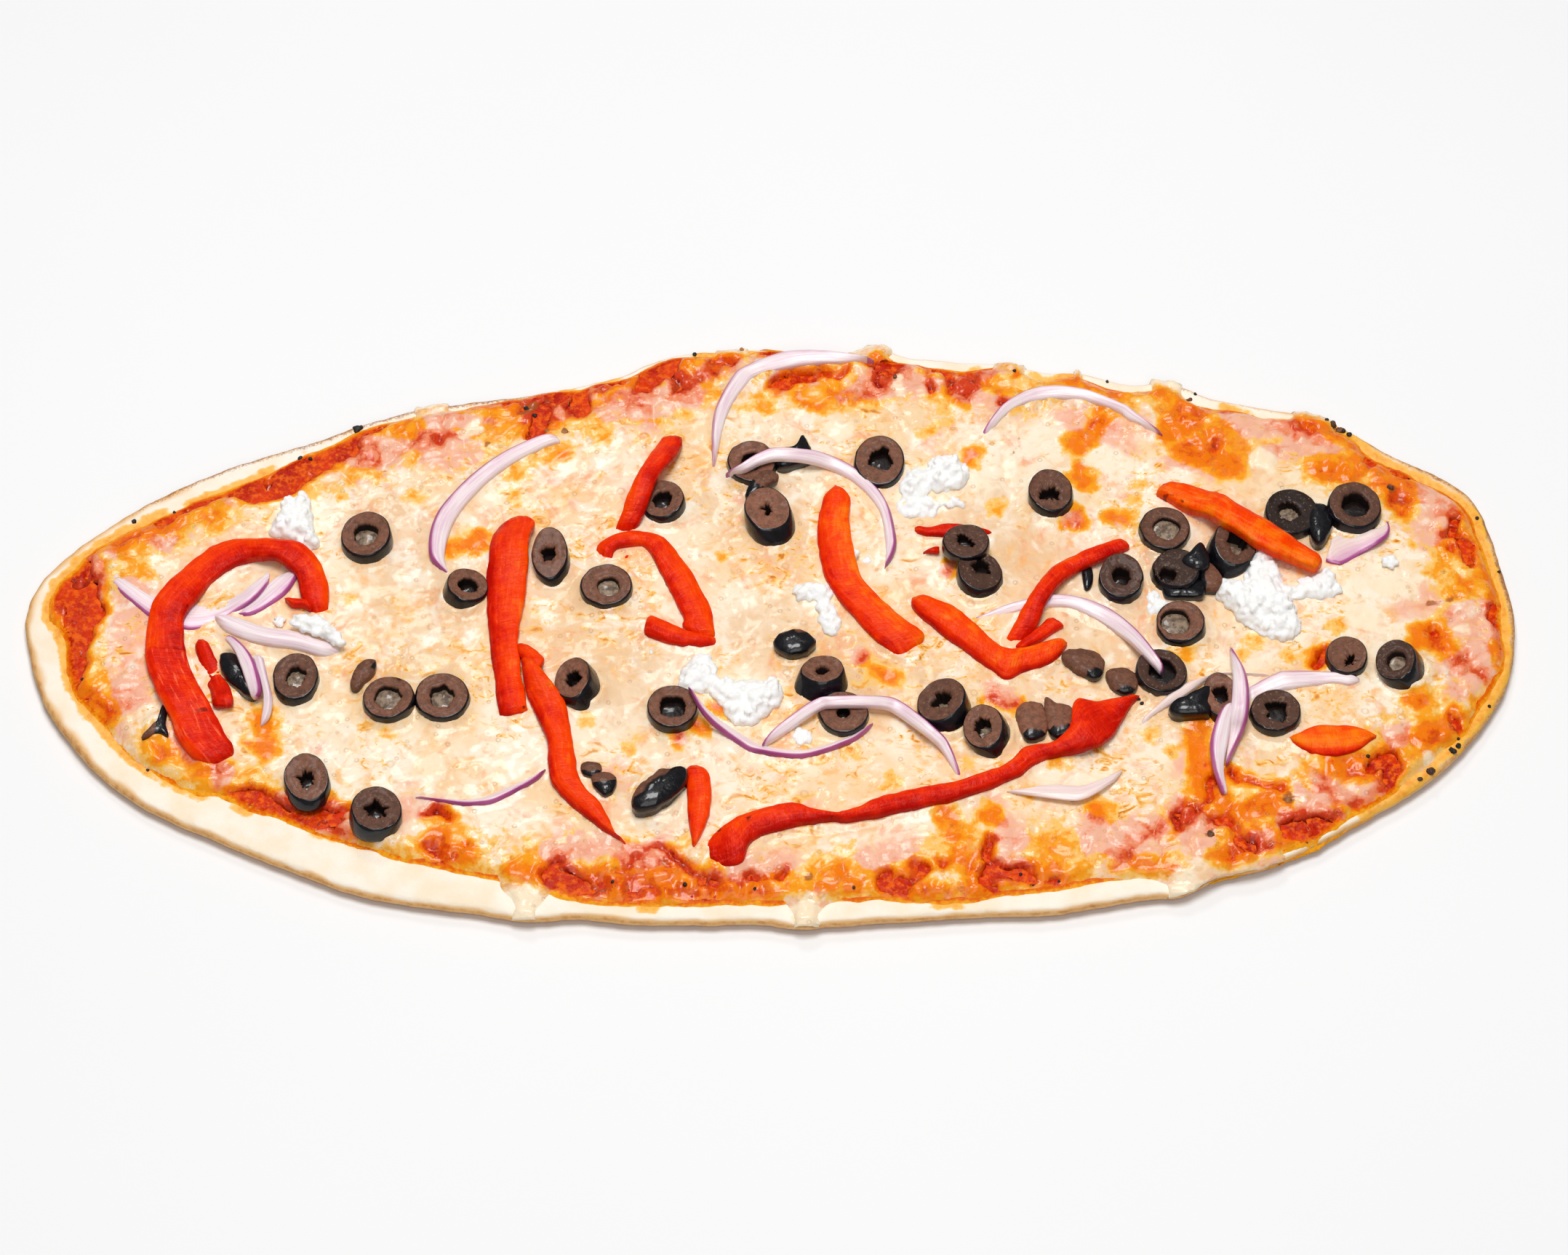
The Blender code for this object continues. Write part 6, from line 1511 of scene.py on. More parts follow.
ONIONS: dict[str, list[Strip]] = {
    "onion_arc_high": [
        Strip(2.6, [(-16.4, 49.4, -15.8, 49.4), (-16.4, 67, -12.6, 67), (-11.6, 80.4, -6.8, 78.8),
            (-7, 85.6, -2.6, 82), (5, 91, 8.4, 85), (19, 90.7, 20, 85.9), (29.2, 87.2, 29, 86.9)],
            purple=0.7)],
    "onion_arc_left": [
        Strip(2.8, [(-61.5, 61.2, -58.8, 57.8), (-66, 60.4, -63, 56), (-76.5, 53.8, -72.8, 49.8),
            (-86.2, 44, -81.4, 41.2), (-93.4, 31.6, -88, 30.4), (-94.2, 18.6, -90, 19),
            (-88.6, 11, -88.2, 11.4)])],
    "onion_arc_centre": [
        Strip(2.4, [(-12.8, 47, -12.2, 46.6), (-9, 50.2, -7.4, 47.6), (-4, 54.4, -3, 50),
            (2, 56.6, 2.4, 51.4), (14, 55, 13, 49.8), (24.6, 48.4, 22.6, 44.2), (32, 38, 29.6, 35),
            (34.6, 25, 31.6, 25), (33.9, 19, 31.8, 20), (31.6, 14.2, 31.2, 14.6)])],
    "onion_arc_right": [
        Strip(2.8, [(59.2, 58.6, 60.4, 59.4), (60, 63, 62, 62), (65.8, 72.2, 68.4, 69.4),
            (76, 78.2, 77.2, 72.6), (88, 77.6, 87.4, 72.4), (99.4, 71.8, 97.4, 68.6),
            (102.6, 69.2, 100.6, 65.6), (110, 60.4, 109.6, 60.2)])],
    "onion_lens_pair": [
        Strip(2.4, [(-22.4, -25.4, -21.8, -25.2), (-17.6, -35.4, -15.6, -33.6), (-8.6, -44.2, -7, -40.6),
            (-3, -47.2, -2, -43.6), (9, -48.5, 9, -45), (20.6, -44.2, 19.6, -41.6),
            (25.4, -40.6, 24.2, -39), (27.7, -37.2, 27, -37)], clear=0.3),
        Strip(2.4, [(-2.4, -43.4, -1.8, -44.2), (1.4, -38, 3.6, -40.4), (11, -29.4, 13, -33),
            (17, -27.6, 18, -32), (30, -27.8, 29.6, -32.2), (36, -30, 34.4, -34.6),
            (45.6, -39.6, 43.2, -42.4), (48.8, -45.4, 46.4, -46.8), (51.2, -55, 50, -55)])],
    "onion_through_bend": [
        Strip(2.4, [(54.6, -3.4, 55, -4.4), (58, -1, 58.6, -3.8), (67, 3.4, 68, -0.6), (80, 6, 80, 1.2),
            (91.4, 2.2, 89.6, -3.6), (100, -6, 97.6, -10.6), (106, -16, 104, -18.6),
            (106.6, -19.6, 105.4, -20.4)])],
    "onion_pale_right": [
        Strip(1.8, [(99, -36.4, 100.4, -39), (102.3, -33, 103, -35.1), (110.9, -24.4, 111.6, -28.4),
            (120.1, -20.9, 119.4, -22.6), (127, -20.7, 127, -21.6), (135, -21.2, 135, -21.6)], purple=0.15,
            clear=0.8),
        Strip(2.4, [(128.4, -25.4, 128.6, -31.9), (136.6, -20.5, 137, -27.1), (140.9, -19.4, 141, -25.9),
            (152.3, -19.8, 151.6, -24.4), (156.6, -20.5, 156.4, -24.8), (159.4, -21.9, 159.4, -23.7)],
            purple=0.75)],
    "onion_crossed_right": [
        Strip(2.4, [(122.8, -30.6, 125.6, -30.4), (120.5, -34.4, 124.2, -35), (118.1, -42.3, 122.8, -42.6),
            (118.2, -50.9, 121.3, -50.9), (120.1, -59.4, 121.9, -58.9)], purple=0.9),
        Strip(2.6, [(125.1, -11.9, 124.9, -12.4), (128.4, -18.7, 125.2, -19.4),
            (129.4, -26.6, 124.8, -27.3), (128, -37.3, 123.4, -36.8), (122.6, -49.8, 121.8, -49.6)])],
    "onion_thin_low": [
        Strip(1.8, [(-94.6, -60.9, -94, -60.7), (-83.5, -63.4, -83.5, -61.1), (-78, -63.5, -78, -60.8),
            (-72.6, -62.2, -73.2, -58.8), (-63, -56, -64.4, -54.2), (-60, -52, -60.4, -51.6)], clear=0.4)],
    "onion_tangle_front": [
        Strip(2.0, [(-138, -15, -141, -14.4), (-135.5, -25, -137.6, -25.4), (-134.5, -30, -137, -30.6),
            (-135, -35, -137.2, -34.6), (-136.8, -38, -137.4, -37.4)], purple=0.4),
        Strip(2.2, [(-147, -8, -149, -8.8), (-143, -12, -146, -13), (-140, -17, -143.8, -18.4),
            (-137.8, -25, -141.4, -25.6), (-137.9, -28, -140.2, -28.4)], purple=1.2),
        Strip(3.0, [(-151.8, -3, -152, -0.5), (-149, -6.6, -147, -1.3), (-144, -9.6, -142, -3.2),
            (-138, -11.5, -138, -4.8), (-130, -13, -130, -6), (-123.5, -15, -124, -8.5),
            (-119, -15.8, -118, -10.5), (-117, -15.6, -116, -13.5)], purple=0.3)],
    "onion_tangle_back": [
        Strip(1.6, [(-181.6, 9, -181, 13.6), (-170, -2, -169, 5), (-164, -4.5, -163, 3.4),
            (-158.5, -6.5, -158, 3), (-152, -5, -151, 3.6), (-146, -0.5, -146, 6), (-141, 4, -142, 10),
            (-138, 9, -138, 14)]),
        Strip(1.6, [(-146, -2, -145, 0.6), (-141, -1.5, -142.6, 3), (-133, 5.5, -136.6, 11.2),
            (-129.8, 12.4, -131, 14.4)], purple=1.3)],
}
# Very thin slices that lie melted into the cheese.
THIN_ONIONS: dict[str, list[Strip]] = {
    "cheese": [
        Strip(0.7, [(152.9, 16.6, 153.2, 18.4), (155.6, 15.8, 154.6, 22.6), (158.6, 16.4, 156.4, 25.6),
            (170.1, 24.6, 168.4, 28.4), (171.3, 30.2, 170.6, 30.6)], purple=1.4, clear=0.8),
        Strip(0.8, [(63, -59, 63, -58.5), (78, -61.5, 75, -56.5), (84, -61, 84, -56.5),
            (92, -55.5, 94.5, -51.4)], purple=0.1, clear=0.6)],
}


class Strips(Topping):
    """Strips of one pepper or onion node. Each kind has its own section, lift, wrinkles and marks."""

    STEP = 0.7
    SIDES = 30
    SINK = 0.5  # how deep the underside sits in the cheese
    CLEAR = 1.6  # how far the thin slices that have no solid of their own stand above the cheese's solid

    def shapes(self) -> list[Shape]:
        """The shapes of all strips."""
        spines = [self.spine(part) for part in self.parts]
        raised = self.CLEAR if self.name == "cheese" else 0.0
        result = []
        for number, part in enumerate(self.parts):
            tops = self.seat.strip_tops(self.name, spines[number], spines[number + 1:]) + raised
            result.append(self.loft(part, spines[number], tops, 31 * self.seed + 7 * number))
        return result

    def spine(self, part: Strip) -> Array:
        """Middle x, y, width, and the step x, y from the middle to the first edge, in small steps."""
        pairs = np.array(part.pairs, float)
        middle = 0.5 * (pairs[:, :2] + pairs[:, 2:])
        rows = smooth_rows(np.hstack([middle, pairs[:, :2] - middle]).tolist(), self.STEP)
        return np.column_stack([rows[:, :2], 2 * np.hypot(rows[:, 2], rows[:, 3]), rows[:, 2:]])

    def edge(self, spine: Array, middle: Array, thick: float, side: int) -> Array:
        """Place of one edge: what faces the eye is seen at its foot, what faces away at its top."""
        half = side * spine[:, 3:5]
        facing = half[:, 1] / np.maximum(np.hypot(half[:, 0], half[:, 1]), 0.2)
        return np.stack(to_plan(spine[:, 0] + half[:, 0], spine[:, 1] + half[:, 1],
                                middle + facing * 0.32 * thick), axis=1)

    def loft(self, part: Strip, spine: Array, tops: Array, seed: int) -> Shape:
        """A strip between its two edges."""
        middle = tops - 0.5 * part.thick
        first = self.edge(spine, middle, part.thick, 1)
        second = self.edge(spine, middle, part.thick, -1)
        centre, half = 0.5 * (first + second), 0.5 * (first - second)
        run = np.concatenate([[0], np.cumsum(np.hypot(*np.diff(centre, axis=0).T))])
        for place, width, top in zip(centre[::3], spine[::3, 2], tops[::3]):
            self.footprints.add(place[0], place[1], 0.42 * width, top - part.thick, 0.9)
        turns = np.arange(self.SIDES) * 2 * math.pi / self.SIDES
        across, up = self.section(turns)
        size = 0.5 * spine[:, 2]
        ends = np.minimum(run, run[-1] - run)
        reach = across[None, :] * np.sqrt(np.clip(0.45 + ends, 0, 1))[:, None]
        roof = np.interp(-across, [-1, part.crest, 1], [1 - 0.7 * part.falls[0], 1, 1 - 0.7 * part.falls[1]])
        thick = (part.thick + self.SINK) * (0.7 + 0.3 * smoothstep(0, 1.6, ends))[:, None]
        points = np.empty((len(spine), self.SIDES, 3))
        points[:, :, :2] = centre[:, None, :] + half[:, None, :] * reach[:, :, None]
        points[:, :, 2] = ((tops - part.thick - self.SINK)[:, None] + thick * (up * roof)[None, :]
                           + self.lift(part, size, run, across, seed))
        points = points.reshape(-1, 3)
        away = outward(points, np.column_stack([centre, middle]).repeat(self.SIDES, axis=0), 0.4)
        place = np.stack([run.repeat(self.SIDES), (reach * size[:, None]).ravel()], axis=1)
        points = points + away * self.wrinkles(points, place, seed)[:, None]
        masks = self.marks(part, place, np.tile(across, len(spine)), np.tile(up, len(spine)), seed)
        faces = tube_faces(len(spine), self.SIDES)
        if np.cross(np.append(centre[1] - centre[0], 0), np.append(half[0], 0))[2] < 0:
            faces = [tuple(reversed(face)) for face in faces]
        return Shape(points, faces, masks, place)

    def bar(self, turns: Array, side: float, top: float) -> tuple[Array, Array]:
        """A flat bar: across, from -1 at the second edge to 1 at the first, and up, from 0 to 1."""
        across = np.sign(np.cos(turns)) * np.abs(np.cos(turns)) ** side
        return across, 0.5 + 0.5 * np.sign(np.sin(turns)) * np.abs(np.sin(turns)) ** top


class PepperStrips(Strips):
    """Roasted pepper: thick slabs with a cut flank, wrinkled across."""

    def section(self, turns: Array) -> tuple[Array, Array]:
        """A flat bar with rounded corners."""
        return self.bar(turns, 0.30, 0.34)

    def lift(self, part: Strip, size: Array, run: Array, across: Array, seed: int) -> Array:
        """A lean that changes along the strip, and edges that curl a little."""
        line = np.stack([run, np.zeros(len(run))], axis=1)
        lean = 0.12 * noise(line, 22, seed + 1) * size
        hollow = 0.35 * noise(line, 15, seed + 2) - 0.1
        return lean[:, None] * across[None, :] + hollow[:, None] * (across[None, :] ** 2 - 0.4)

    def wrinkles(self, points: Array, place: Array, seed: int) -> Array:
        """Folds across the strip, creases along it and small dents."""
        folds = noise(place * [1, 0.35], 3.4, seed + 3, 2)
        creases = noise(place * [0.12, 1], 2.2, seed + 4, 2)
        dents = 0.26 * noise(points, 5, seed + 5) + 0.07 * noise(points, 1.1, seed + 6)
        return 0.28 * folds + 0.18 * creases + dents

    def marks(self, part: Strip, place: Array, across: Array, up: Array, seed: int) -> dict:
        """Hue, fibres, and burnt spots; the hue carries painted shade low on the sides and on a flank, and
        the dark mask painted shade at the foot.
        """
        crest = -part.crest
        # Red to orange across the strip: partly the pepper's own colour, partly painted shade on its darker
        # flank.
        hue = np.interp(across, [-1, crest - 0.12, crest + 0.12, 1],
                        [part.hues_and_shade[2], part.hues_and_shade[1], 0.5 * (part.hues_and_shade[0] + part.hues_and_shade[1]), part.hues_and_shade[0]])
        # Random hue changes, and redder low on the sides as painted shade.
        hue = hue + 0.16 * noise(place, 9, seed + 7) - 0.25 * (1 - smoothstep(0.15, 0.55, up))
        burnt = 0.75 * smoothstep(0.66, 0.84, noise(place, 3.2, seed + 8))
        # Darker at the strip's foot: painted shade, added to the burnt spots.
        dark = burnt + 0.35 * (1 - smoothstep(0.1, 0.35, up))
        return {"pepper": np.stack([0.2 + 0.8 * hue, np.full(len(up), part.hatch), dark], axis=1)}


class OnionStrips(Strips):
    """Slices of red onion: thin, glassy bands with a skin line on their outer side."""

    def section(self, turns: Array) -> tuple[Array, Array]:
        """A thin bar with fine edges."""
        return self.bar(turns, 0.7, 0.45)

    def lift(self, part: Strip, size: Array, run: Array, across: Array, seed: int) -> Array:
        """The outer side stands higher than the inner one."""
        line = np.stack([run, np.zeros(len(run))], axis=1)
        lean = min(1.0, 0.4 * part.thick) * (0.3 + 0.15 * noise(line, 16, seed + 1))
        return lean[:, None] * across[None, :] - 0.12 * (1 - across[None, :] ** 2)

    def wrinkles(self, points: Array, place: Array, seed: int) -> Array:
        """Fine ridges along the band."""
        return 0.10 * noise(place * [0.08, 1], 1.5, seed + 3, 2) + 0.10 * noise(points, 4, seed + 4)

    def marks(self, part: Strip, place: Array, across: Array, up: Array, seed: int) -> dict:
        """How near the outer side a point is, how purple it is and how glassy."""
        half = np.abs(place[:, 1]) / np.maximum(np.abs(across), 0.05)
        line = (1 - smoothstep(0.5, 1.5, half * (1 - across))) * part.purple
        outer = (0.5 + 0.5 * across) * min(1.0, 0.25 + 0.6 * part.purple)
        return {"onion": np.stack([outer, line, np.full(len(up), part.clear)], axis=1)}


# --- crumbled feta
FETA: dict[str, list[Lump]] = {
    "feta_spires": [
        Lump([(-138.5, 28), (-135, 41), (-133, 37.4), (-131, 41.5), (-128.5, 38), (-127.5, 30), (-125, 22),
            (-128, 20.5), (-133, 25), (-137, 25.8)], 5.6)],
    "feta_on_tangle": [
        Lump([(-131.5, -2.5), (-130, -1), (-125, -0.5), (-122, -2.5), (-117, -8.5), (-116.5, -11.5),
            (-124, -7.6), (-129, -5.4)], 3.4),
        Lump([(-136.5, -2), (-134.6, -1), (-132.4, -2.4), (-133.6, -4.5), (-136, -4.2)], 2.4)],
    "feta_crumbly": [
        Lump([(43, 45), (44, 51), (48, 54.5), (53, 53.6), (55, 48.5), (54, 43.5), (50, 41.4),
            (45, 41.4)], 5.0),
        Lump([(36, 42), (37.6, 48), (41, 50), (44.4, 47), (44, 41), (41, 38), (37.4, 38.4)], 4.4),
        Lump([(35, 33), (36.4, 38.6), (46.4, 38.6), (47, 33.6), (44, 30.6), (38.6, 30.6)], 4.2),
        Lump([(48, 36), (49.4, 38.8), (53, 38.6), (54, 36.4), (51, 35.2)], 2.8)],
    "feta_hook": [
        Lump([(6.5, 5), (7, 9), (11, 10.2), (15.6, 8.4), (16.4, 4.4), (9, 3.6)], 3.8),
        Lump([(12.6, 4.4), (16, 4.6), (19, -4), (17.6, -7.5), (14.6, -7), (13, -2.4)], 3.4)],
    "feta_low": [
        Lump([(-25, -24), (-21.6, -15), (-17, -14), (-15, -19), (-14.6, -24), (-16, -27), (-21, -27)], 4.8),
        Lump([(-16.4, -24), (-14, -21.4), (-9, -22.6), (-5, -22), (-4.4, -28), (-7, -34.6), (-10, -37.4),
            (-13, -32)], 4.8),
        Lump([(-6.6, -23.4), (-2, -22.4), (2, -21.4), (2.5, -29), (-4.4, -37), (-8.4, -36)], 4.8)],
    "feta_great": [
        Lump([(131.5, 16.6), (134.4, 22.2), (139.6, 17), (140, 5), (134, 4), (130.4, 8)], 5.8),
        Lump([(122.4, 9.4), (126, 11.6), (139, 10), (143.6, 1), (141, -3), (135, -4.4), (129, -3),
            (126.6, 1), (123.6, 5)], 6.0),
        Lump([(127.4, -1.6), (131, -4.6), (134.4, -8.4), (138, -9.9), (142.2, -9.2), (144.4, -5),
            (143, -0.6), (131, 1)], 4.6),
        Lump([(144.4, 6), (144.8, 10.4), (149.4, 12.6), (152.4, 15.6), (155, 13.4), (155.6, 9.6),
            (156.8, 7.4), (154.6, 4.4), (150, 4)], 4.2),
        Lump([(139, 8), (141.6, 9.4), (145.4, 8.4), (147, 5.6), (143.6, 3.8), (140, 4.4)], 3.8)],
}
# Crumbs that lie on the cheese by themselves.
FETA_BITS: dict[str, list[Lump]] = {
    "cheese": [
        Lump([(19.5, 18.4), (20.6, 21.4), (23.6, 21), (24.2, 18)], 2.2),
        Lump([(24.6, 15.6), (25.6, 18.4), (27.4, 17.8), (27, 15.2)], 1.8),
        Lump([(26.3, 26.4), (27, 27.8), (27.9, 26.8)], 1.2),
        Lump([(6, -41), (7, -38.2), (10, -38.6), (11, -42), (9, -44), (6.8, -43.4)], 2.2),
        Lump([(168.7, 16.4), (169.6, 19), (172, 18.6), (172.6, 16), (170.6, 14.6)], 1.8),
        Lump([(106.4, 10.4), (106.6, 13), (108.4, 13.8), (109.6, 11.6), (108.4, 10)], 2.2),
        Lump([(103, 6.4), (105.4, 9), (111, 3.4), (109.6, -1), (106.6, -3.4), (103.4, -2.4)], 3.2),
        Lump([(-33.4, -14.6), (-32.4, -13.4), (-31.4, -14.4)], 1.0)],
}


@dataclass
class Crumble(Topping):
    """A heap of crumbled cheese: many small crumbs grown into one body."""

    VOXEL = 0.42
    CRUMB = 1.75
    APART = 1.1  # between the middles of neighbouring crumbs
    CLEAR = 1.2  # how far the crumbs that have no solid of their own stand above what is under them

    def __post_init__(self) -> None:
        """Starts the heap's own random draws."""
        self.rng = np.random.default_rng(1000 + self.seed)

    def shapes(self) -> list[Shape]:
        """The crumbs of all lumps."""
        return [crumb for part in self.parts for crumb in self.crumbs(part)]

    def build(self, material: Material, title: str) -> Object:
        """Makes the heap, then melts its crumbs together with a fine remesh.

        Args:
            material: its finish.
            title: the piece's name.

        Returns:
            The piece.
        """
        heap = super().build(material, title)
        modifier = heap.modifiers.new("grown", "REMESH")
        modifier.mode = "VOXEL"
        modifier.voxel_size = self.VOXEL * MM
        grown = bpy.data.meshes.new_from_object(heap.evaluated_get(bpy.context.evaluated_depsgraph_get()))
        heap.modifiers.clear()
        old = heap.data
        heap.data = grown
        bpy.data.meshes.remove(old)
        self.roughen(grown)
        return heap

    def crumbs(self, part: Lump) -> list[Shape]:
        """The crumbs of one lump: a dense heap over its outline, lower and looser at its edge."""
        middle = part.middle()
        top = self.seat.lump_top(self.name, *middle)
        if self.name == "cheese":
            top = max([top, *self.seat.heights("pepper_centre", [middle])]) + self.CLEAR
        base = top - part.height
        rim = part.rim(base, 0.8, 0.25)
        heart = rim.mean(axis=0)
        self.footprints.add(heart[0], heart[1], 0.7 * float(np.median(np.hypot(*(rim - heart).T))), base, 0.4)
        low, high = rim.min(axis=0), rim.max(axis=0)
        columns, rows = (np.arange(low[k], high[k] + self.APART, self.APART) for k in (0, 1))
        result = []
        for place in itertools.product(columns, rows):
            spot = np.array(place) + self.rng.uniform(-0.5, 0.5, 2) * self.APART
            inside = self.inside(spot, rim)
            if inside < 0.1:
                continue
            radius = min(self.CRUMB * self.rng.uniform(0.4, 1.1), inside + 0.6)
            heap = 1 - 0.5 * math.exp(-max(inside - 0.3, 0) / 1.1)
            room = part.height * heap * self.rng.uniform(0.62, 1.04)
            up = max(room - radius, 0.1)
            result.append(self.crumb(np.array([*spot, base + up]), radius))
            if up > 1.4:
                result.append(self.crumb(np.array([*spot, base + 0.4 * up]), radius * 1.15))
        return result

    def inside(self, spot: Array, rim: Array) -> float:
        """How far a spot is inside an outline, below 0 outside."""
        nearest = float(np.hypot(*(rim - spot).T).min())
        x0, y0 = rim[:, 0], rim[:, 1]
        x1, y1 = np.roll(x0, -1), np.roll(y0, -1)
        crosses = (y0 > spot[1]) != (y1 > spot[1])
        at = x0 + (spot[1] - y0) * (x1 - x0) / np.where(y1 == y0, 1e-9, y1 - y0)
        return nearest if (crosses & (spot[0] < at)).sum() % 2 else -nearest

    def crumb(self, centre: Array, radius: float) -> Shape:
        """One crumb: a squashed ball with flats broken onto it."""
        shape = ball(np.zeros(3), (1, 1, 1))
        points = shape.points
        for _ in range(5):
            way = self.rng.normal(size=3)
            way /= np.linalg.norm(way)
            points = points - np.clip(points @ way - self.rng.uniform(0.45, 0.8), 0, None)[:, None] * way
        return Shape(centre + points * radius * self.rng.uniform(0.8, 1.15, 3), shape.faces)

    def roughen(self, mesh: bpy.types.Mesh) -> None:
        """Breaks up the grown surface."""
        points, normals = (np.empty(len(mesh.vertices) * 3, np.float32) for _ in range(2))
        mesh.vertices.foreach_get("co", points)
        mesh.vertices.foreach_get("normal", normals)
        points = points.reshape(-1, 3).astype(float) / MM
        depth = 0.34 * noise(points, 2.2, self.seed, 3) + 0.10 * noise(points, 0.8, self.seed + 9)
        points += normals.reshape(-1, 3) * depth[:, None]
        mesh.vertices.foreach_set("co", (points * MM).astype(np.float32).ravel())
        mesh.update()
        mesh.shade_smooth()


# --- burnt bits
# Seen x, y, size across and how black, of the burnt specks on the edge and on the cheese.
SPECKS = [
    (-177, 32, 1.6, 1), (-166, 35, 1.2, 1), (-132, 53.8, 1.5, 1), (-129, 53.3, 1.3, 1),
    (-186.5, -22.5, 1.2, 0.8), (-167, -50.3, 1.1, 0.8), (-69, 71, 1.8, 1), (-66.6, 68.6, 1.6, 1),
    (-22, 93, 1.3, 1), (-63, 62, 1.6, 0.3), (-58, 61.5, 1.8, 0.3), (35, 81, 1.6, 0.5), (69, 83.5, 1.1, 1),
    (-22.5, -87.5, 1.2, 1), (-41.5, -87, 1.1, 1), (-4, -89, 1.1, 1), (22, -89, 1.2, 0.6), (66, -84, 1.2, 1),
    (76, -86, 1.2, 0.9), (6.8, -69.8, 1, 1), (121, 78.8, 1, 1), (118.5, 75, 1.5, 0.5),
    (117.6, 73.6, 1.3, 0.5), (172.5, 42, 1.9, 0.5), (196.3, 33.5, 1.2, 1), (202.4, 15.4, 1.1, 1),
    (147.8, -38.7, 1.1, 1), (160, -47.8, 1.4, 1), (116.5, -72.5, 2.4, 0.5), (96, 84, 1.3, 1),
    (177, -51.4, 2.4, 0.7), (179, -52.6, 2, 0.6), (174, -54, 1.8, 0.6), (184.6, -45.4, 2.2, 1),
    (186.2, -43.6, 1.7, 1), (185.2, -40.2, 1.1, 1), (195.6, -30.6, 1.3, 1), (137.6, -61.6, 2.4, 0.35),
    (-118.5, 68.2, 2.6, 0.9), (-116.8, 67.6, 1.8, 0.7), (157.2, 68.4, 1.7, 1), (159.4, 67.2, 2.2, 0.6),
    (161.8, 66.8, 2.4, 0.5), (163.4, 67.4, 1.4, 1), (164.7, 65.2, 1.6, 1), (-8.5, 95, 1.6, 0.2),
    (99, -29.6, 1.4, 0.9), (100, -31, 1.2, 1),
]


class Specks:
    """The burnt specks, each a crumb at its true size."""

    WIDTH = 0.44  # a speck's half width as a share of its size

    def __init__(self, bread: Bread) -> None:
        self.bread = bread

    def build(self, material: Material) -> Object:
        """Makes all the specks as one piece."""
        shapes = []
        for number, (x, y, size, burn) in enumerate(SPECKS):
            radius = self.WIDTH * size
            px, py, top = self.bread.place_on(*to_plan(x, y, CHEESE_TOP), 0.8 + radius)
            shape = ball((px, py, top + 0.1 * radius), (radius, radius, 0.75 * radius), 14, 9)
            away = shape.points - np.array([px, py, top])
            shape.points += away * (0.8 * noise(shape.points, 0.8 + 0.3 * radius, 60 + number, 2))[:, None]
            shape.masks = {"burn": np.tile([float(burn), 0.0, 0.0], (len(shape.points), 1))}
            shapes.append(shape)
        return Shape.joined(shapes).build("burnt_specks", material)


# --- studio
class Studio:
    """Camera, light and floor."""

    # Each light's place, width and power.
    LIGHTS = {"softbox_above": ((0.0, 0.1, 1.5), 0.6, 15.4),
              "softbox_behind": ((-0.25, 1.25, 1.5), 0.35, 4.6),
              "softbox_front": ((0.1, -1.0, 1.4), 0.9, 5.4)}
    ROOM = 0.18  # strength of the light from all around

    def build(self) -> None:
        """Sets the camera of the photograph, soft light from above and a plain floor."""
        self.camera()
        self.lights()
        bpy.ops.mesh.primitive_plane_add(size=6.0, location=(0, 0, -0.0002))
        floor = bpy.context.object
        floor.name = "floor"
        floor.data.materials.append(StageFinish("floor", roughness=0.8, specular=0.2).build())
        view = bpy.context.scene.view_settings
        view.view_transform = "Standard"
        view.look = "None"
        view.exposure = 0.0

    def camera(self) -> None:
        """The camera, 55 degrees above the table."""
        data = bpy.data.cameras.new("camera")
        data.sensor_width = SENSOR
        data.lens = LENS
        data.clip_start = 0.05
        data.clip_end = 20
        camera = bpy.data.objects.new("camera", data)
        target = Vector(((TARGET_X + SHIFT[0]) * MM, SHIFT[1] * MM, 0))
        camera.location = target + Vector((0, EYE[1] * MM, EYE[2] * MM))
        camera.rotation_euler = (target - camera.location).to_track_quat("-Z", "Y").to_euler()
        bpy.context.scene.collection.objects.link(camera)
        bpy.context.scene.camera = camera

    def lights(self) -> None:
        """A soft light overhead, weaker ones behind and in front, and a pale room."""
        for name, (place, size, power) in self.LIGHTS.items():
            data = bpy.data.lights.new(name, "AREA")
            data.shape = "SQUARE"
            data.size = size
            data.energy = power
            lamp = bpy.data.objects.new(name, data)
            lamp.location = place
            lamp.rotation_euler = (-Vector(place)).to_track_quat("-Z", "Y").to_euler()
            bpy.context.scene.collection.objects.link(lamp)
        world = bpy.data.worlds.new("room")
        world.use_nodes = True
        background = world.node_tree.nodes["Background"]
        background.inputs["Color"].default_value = paint("#FFFFFF")
        background.inputs["Strength"].default_value = self.ROOM
        bpy.context.scene.world = world


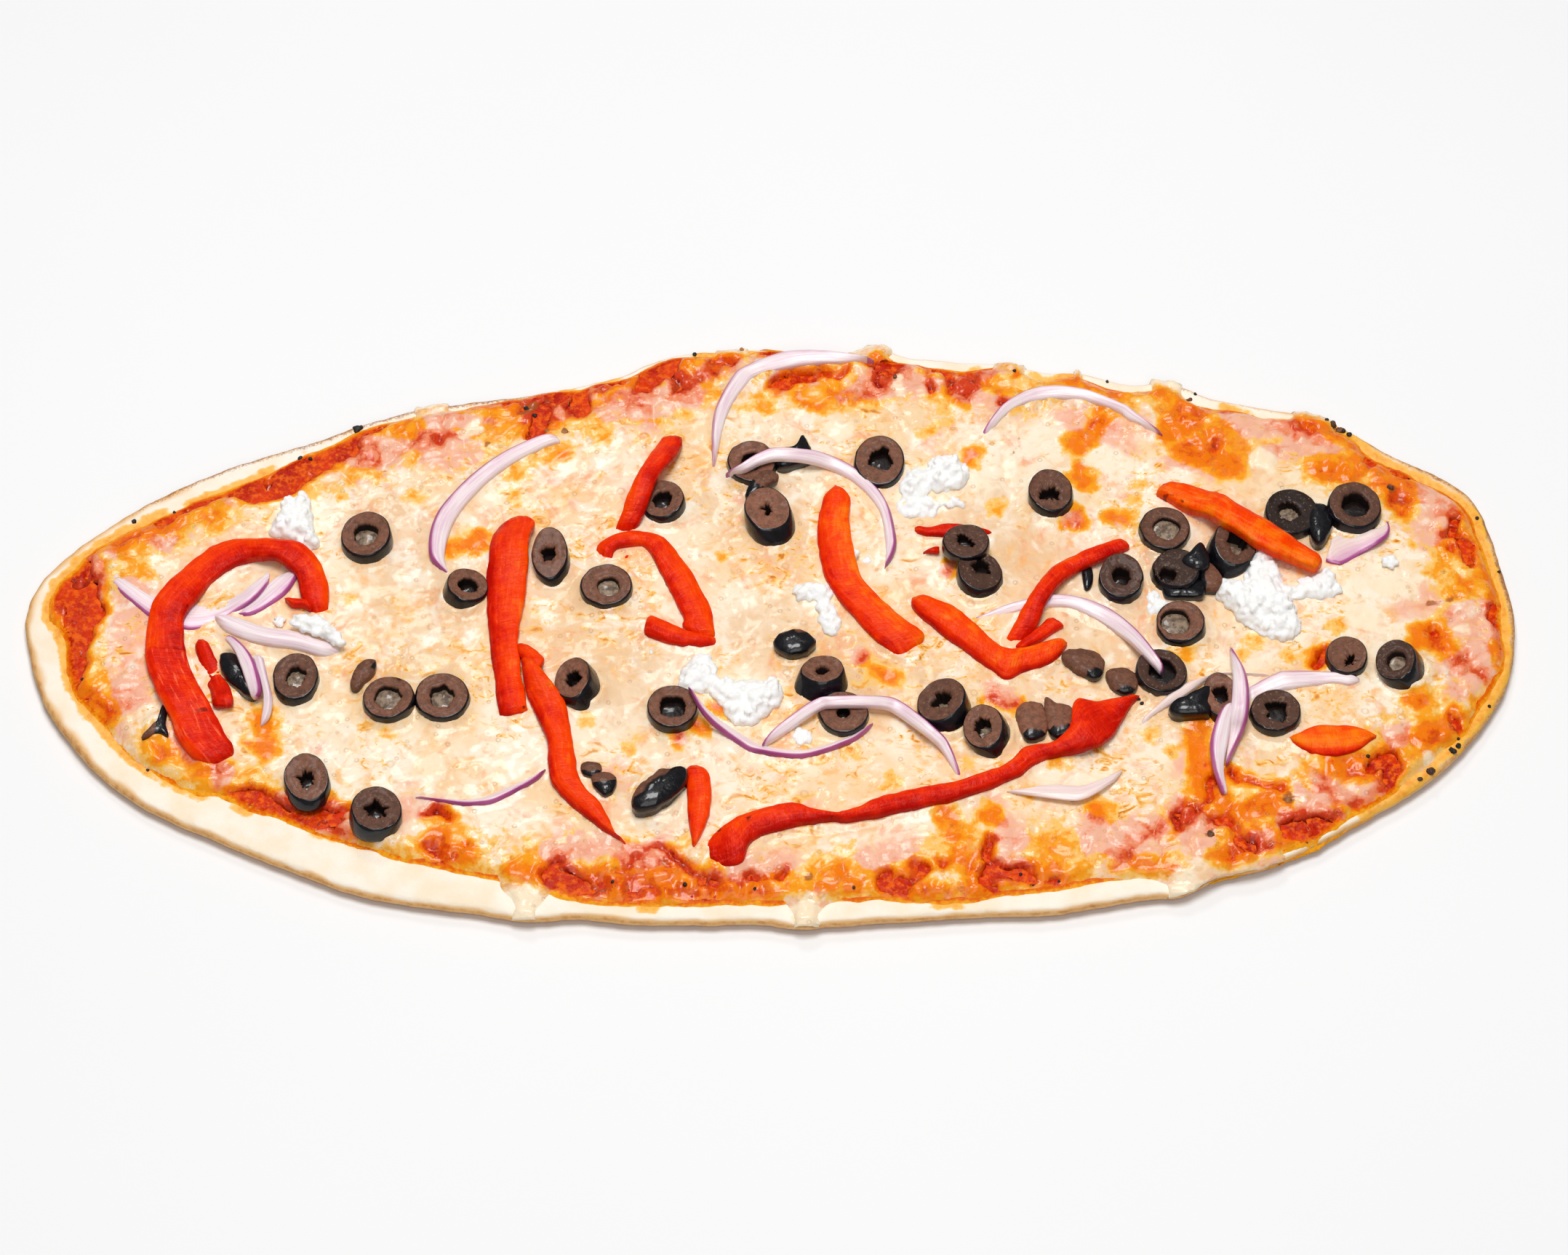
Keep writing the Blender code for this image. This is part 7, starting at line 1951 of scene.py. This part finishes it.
def dress(piece: Object, node: str, slot: str) -> None:
    """Lets a piece stand for a node, and reports it."""
    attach(piece, "root")
    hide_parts(node)
    LOG.info("%s made, %d points", piece.name, len(piece.data.vertices))


def main() -> None:
    """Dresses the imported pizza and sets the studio."""
    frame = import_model()
    logging.basicConfig(level=logging.INFO, format="%(message)s")
    seat = Seat(frame["nodes"])
    footprints = Footprints()
    olive = OliveFinish("black olive", specular=0.2).build()
    pepper = PepperFinish("roasted pepper", specular=0.08, subsurface=0.05, scatter=(1.0, 0.2, 0.1)).build()
    onion = OnionFinish("red onion", roughness=0.28, subsurface=0.2, scatter=(0.9, 0.6, 0.8)).build()
    feta = FetaFinish("feta", roughness=0.75, specular=0.3, subsurface=0.5, scatter=(1, 0.9, 0.7)).build()
    kinds = ((OLIVES, OliveSlices, olive, "olive", ""), (PEPPERS, PepperStrips, pepper, "pepper", ""),
             (ONIONS, OnionStrips, onion, "onion", ""), (FETA, Crumble, feta, "feta", ""),
             (OLIVE_BITS, OliveSlices, olive, "olive", "small_olive_bits"),
             (THIN_ONIONS, OnionStrips, onion, "onion", "thin_onion_slices"),
             (FETA_BITS, Crumble, feta, "feta", "small_feta"))
    for table, maker, material, slot, title in kinds:
        for seed, (name, parts) in enumerate(table.items()):
            topping = maker(name, parts, seat, footprints, seed + 1)
            dress(topping.build(material, title or f"look_{name}"), name, slot)
    bread = Bread(Outline(), Grid())
    bread.layer_fields()
    bread.climb(footprints)
    dough = DoughFinish("baked dough", roughness=0.7, specular=0.3, subsurface=0.08).build()
    sauce = SauceFinish("tomato sauce", specular=0.1).build()
    cheese = CheeseFinish("melted cheese", specular=0.12, coat=0.35, subsurface=0.12).build()
    dress(bread.build_dough(dough), "dough", "dough")
    dress(bread.build_sauce(sauce), "sauce", "sauce")
    dress(bread.build_cheese(cheese), "cheese", "cheese")
    dress(Specks(bread).build(CrispFinish("burnt cheese", roughness=0.6).build()), "cheese", "cheese")
    Studio().build()


if __name__ == "__main__":
    main()
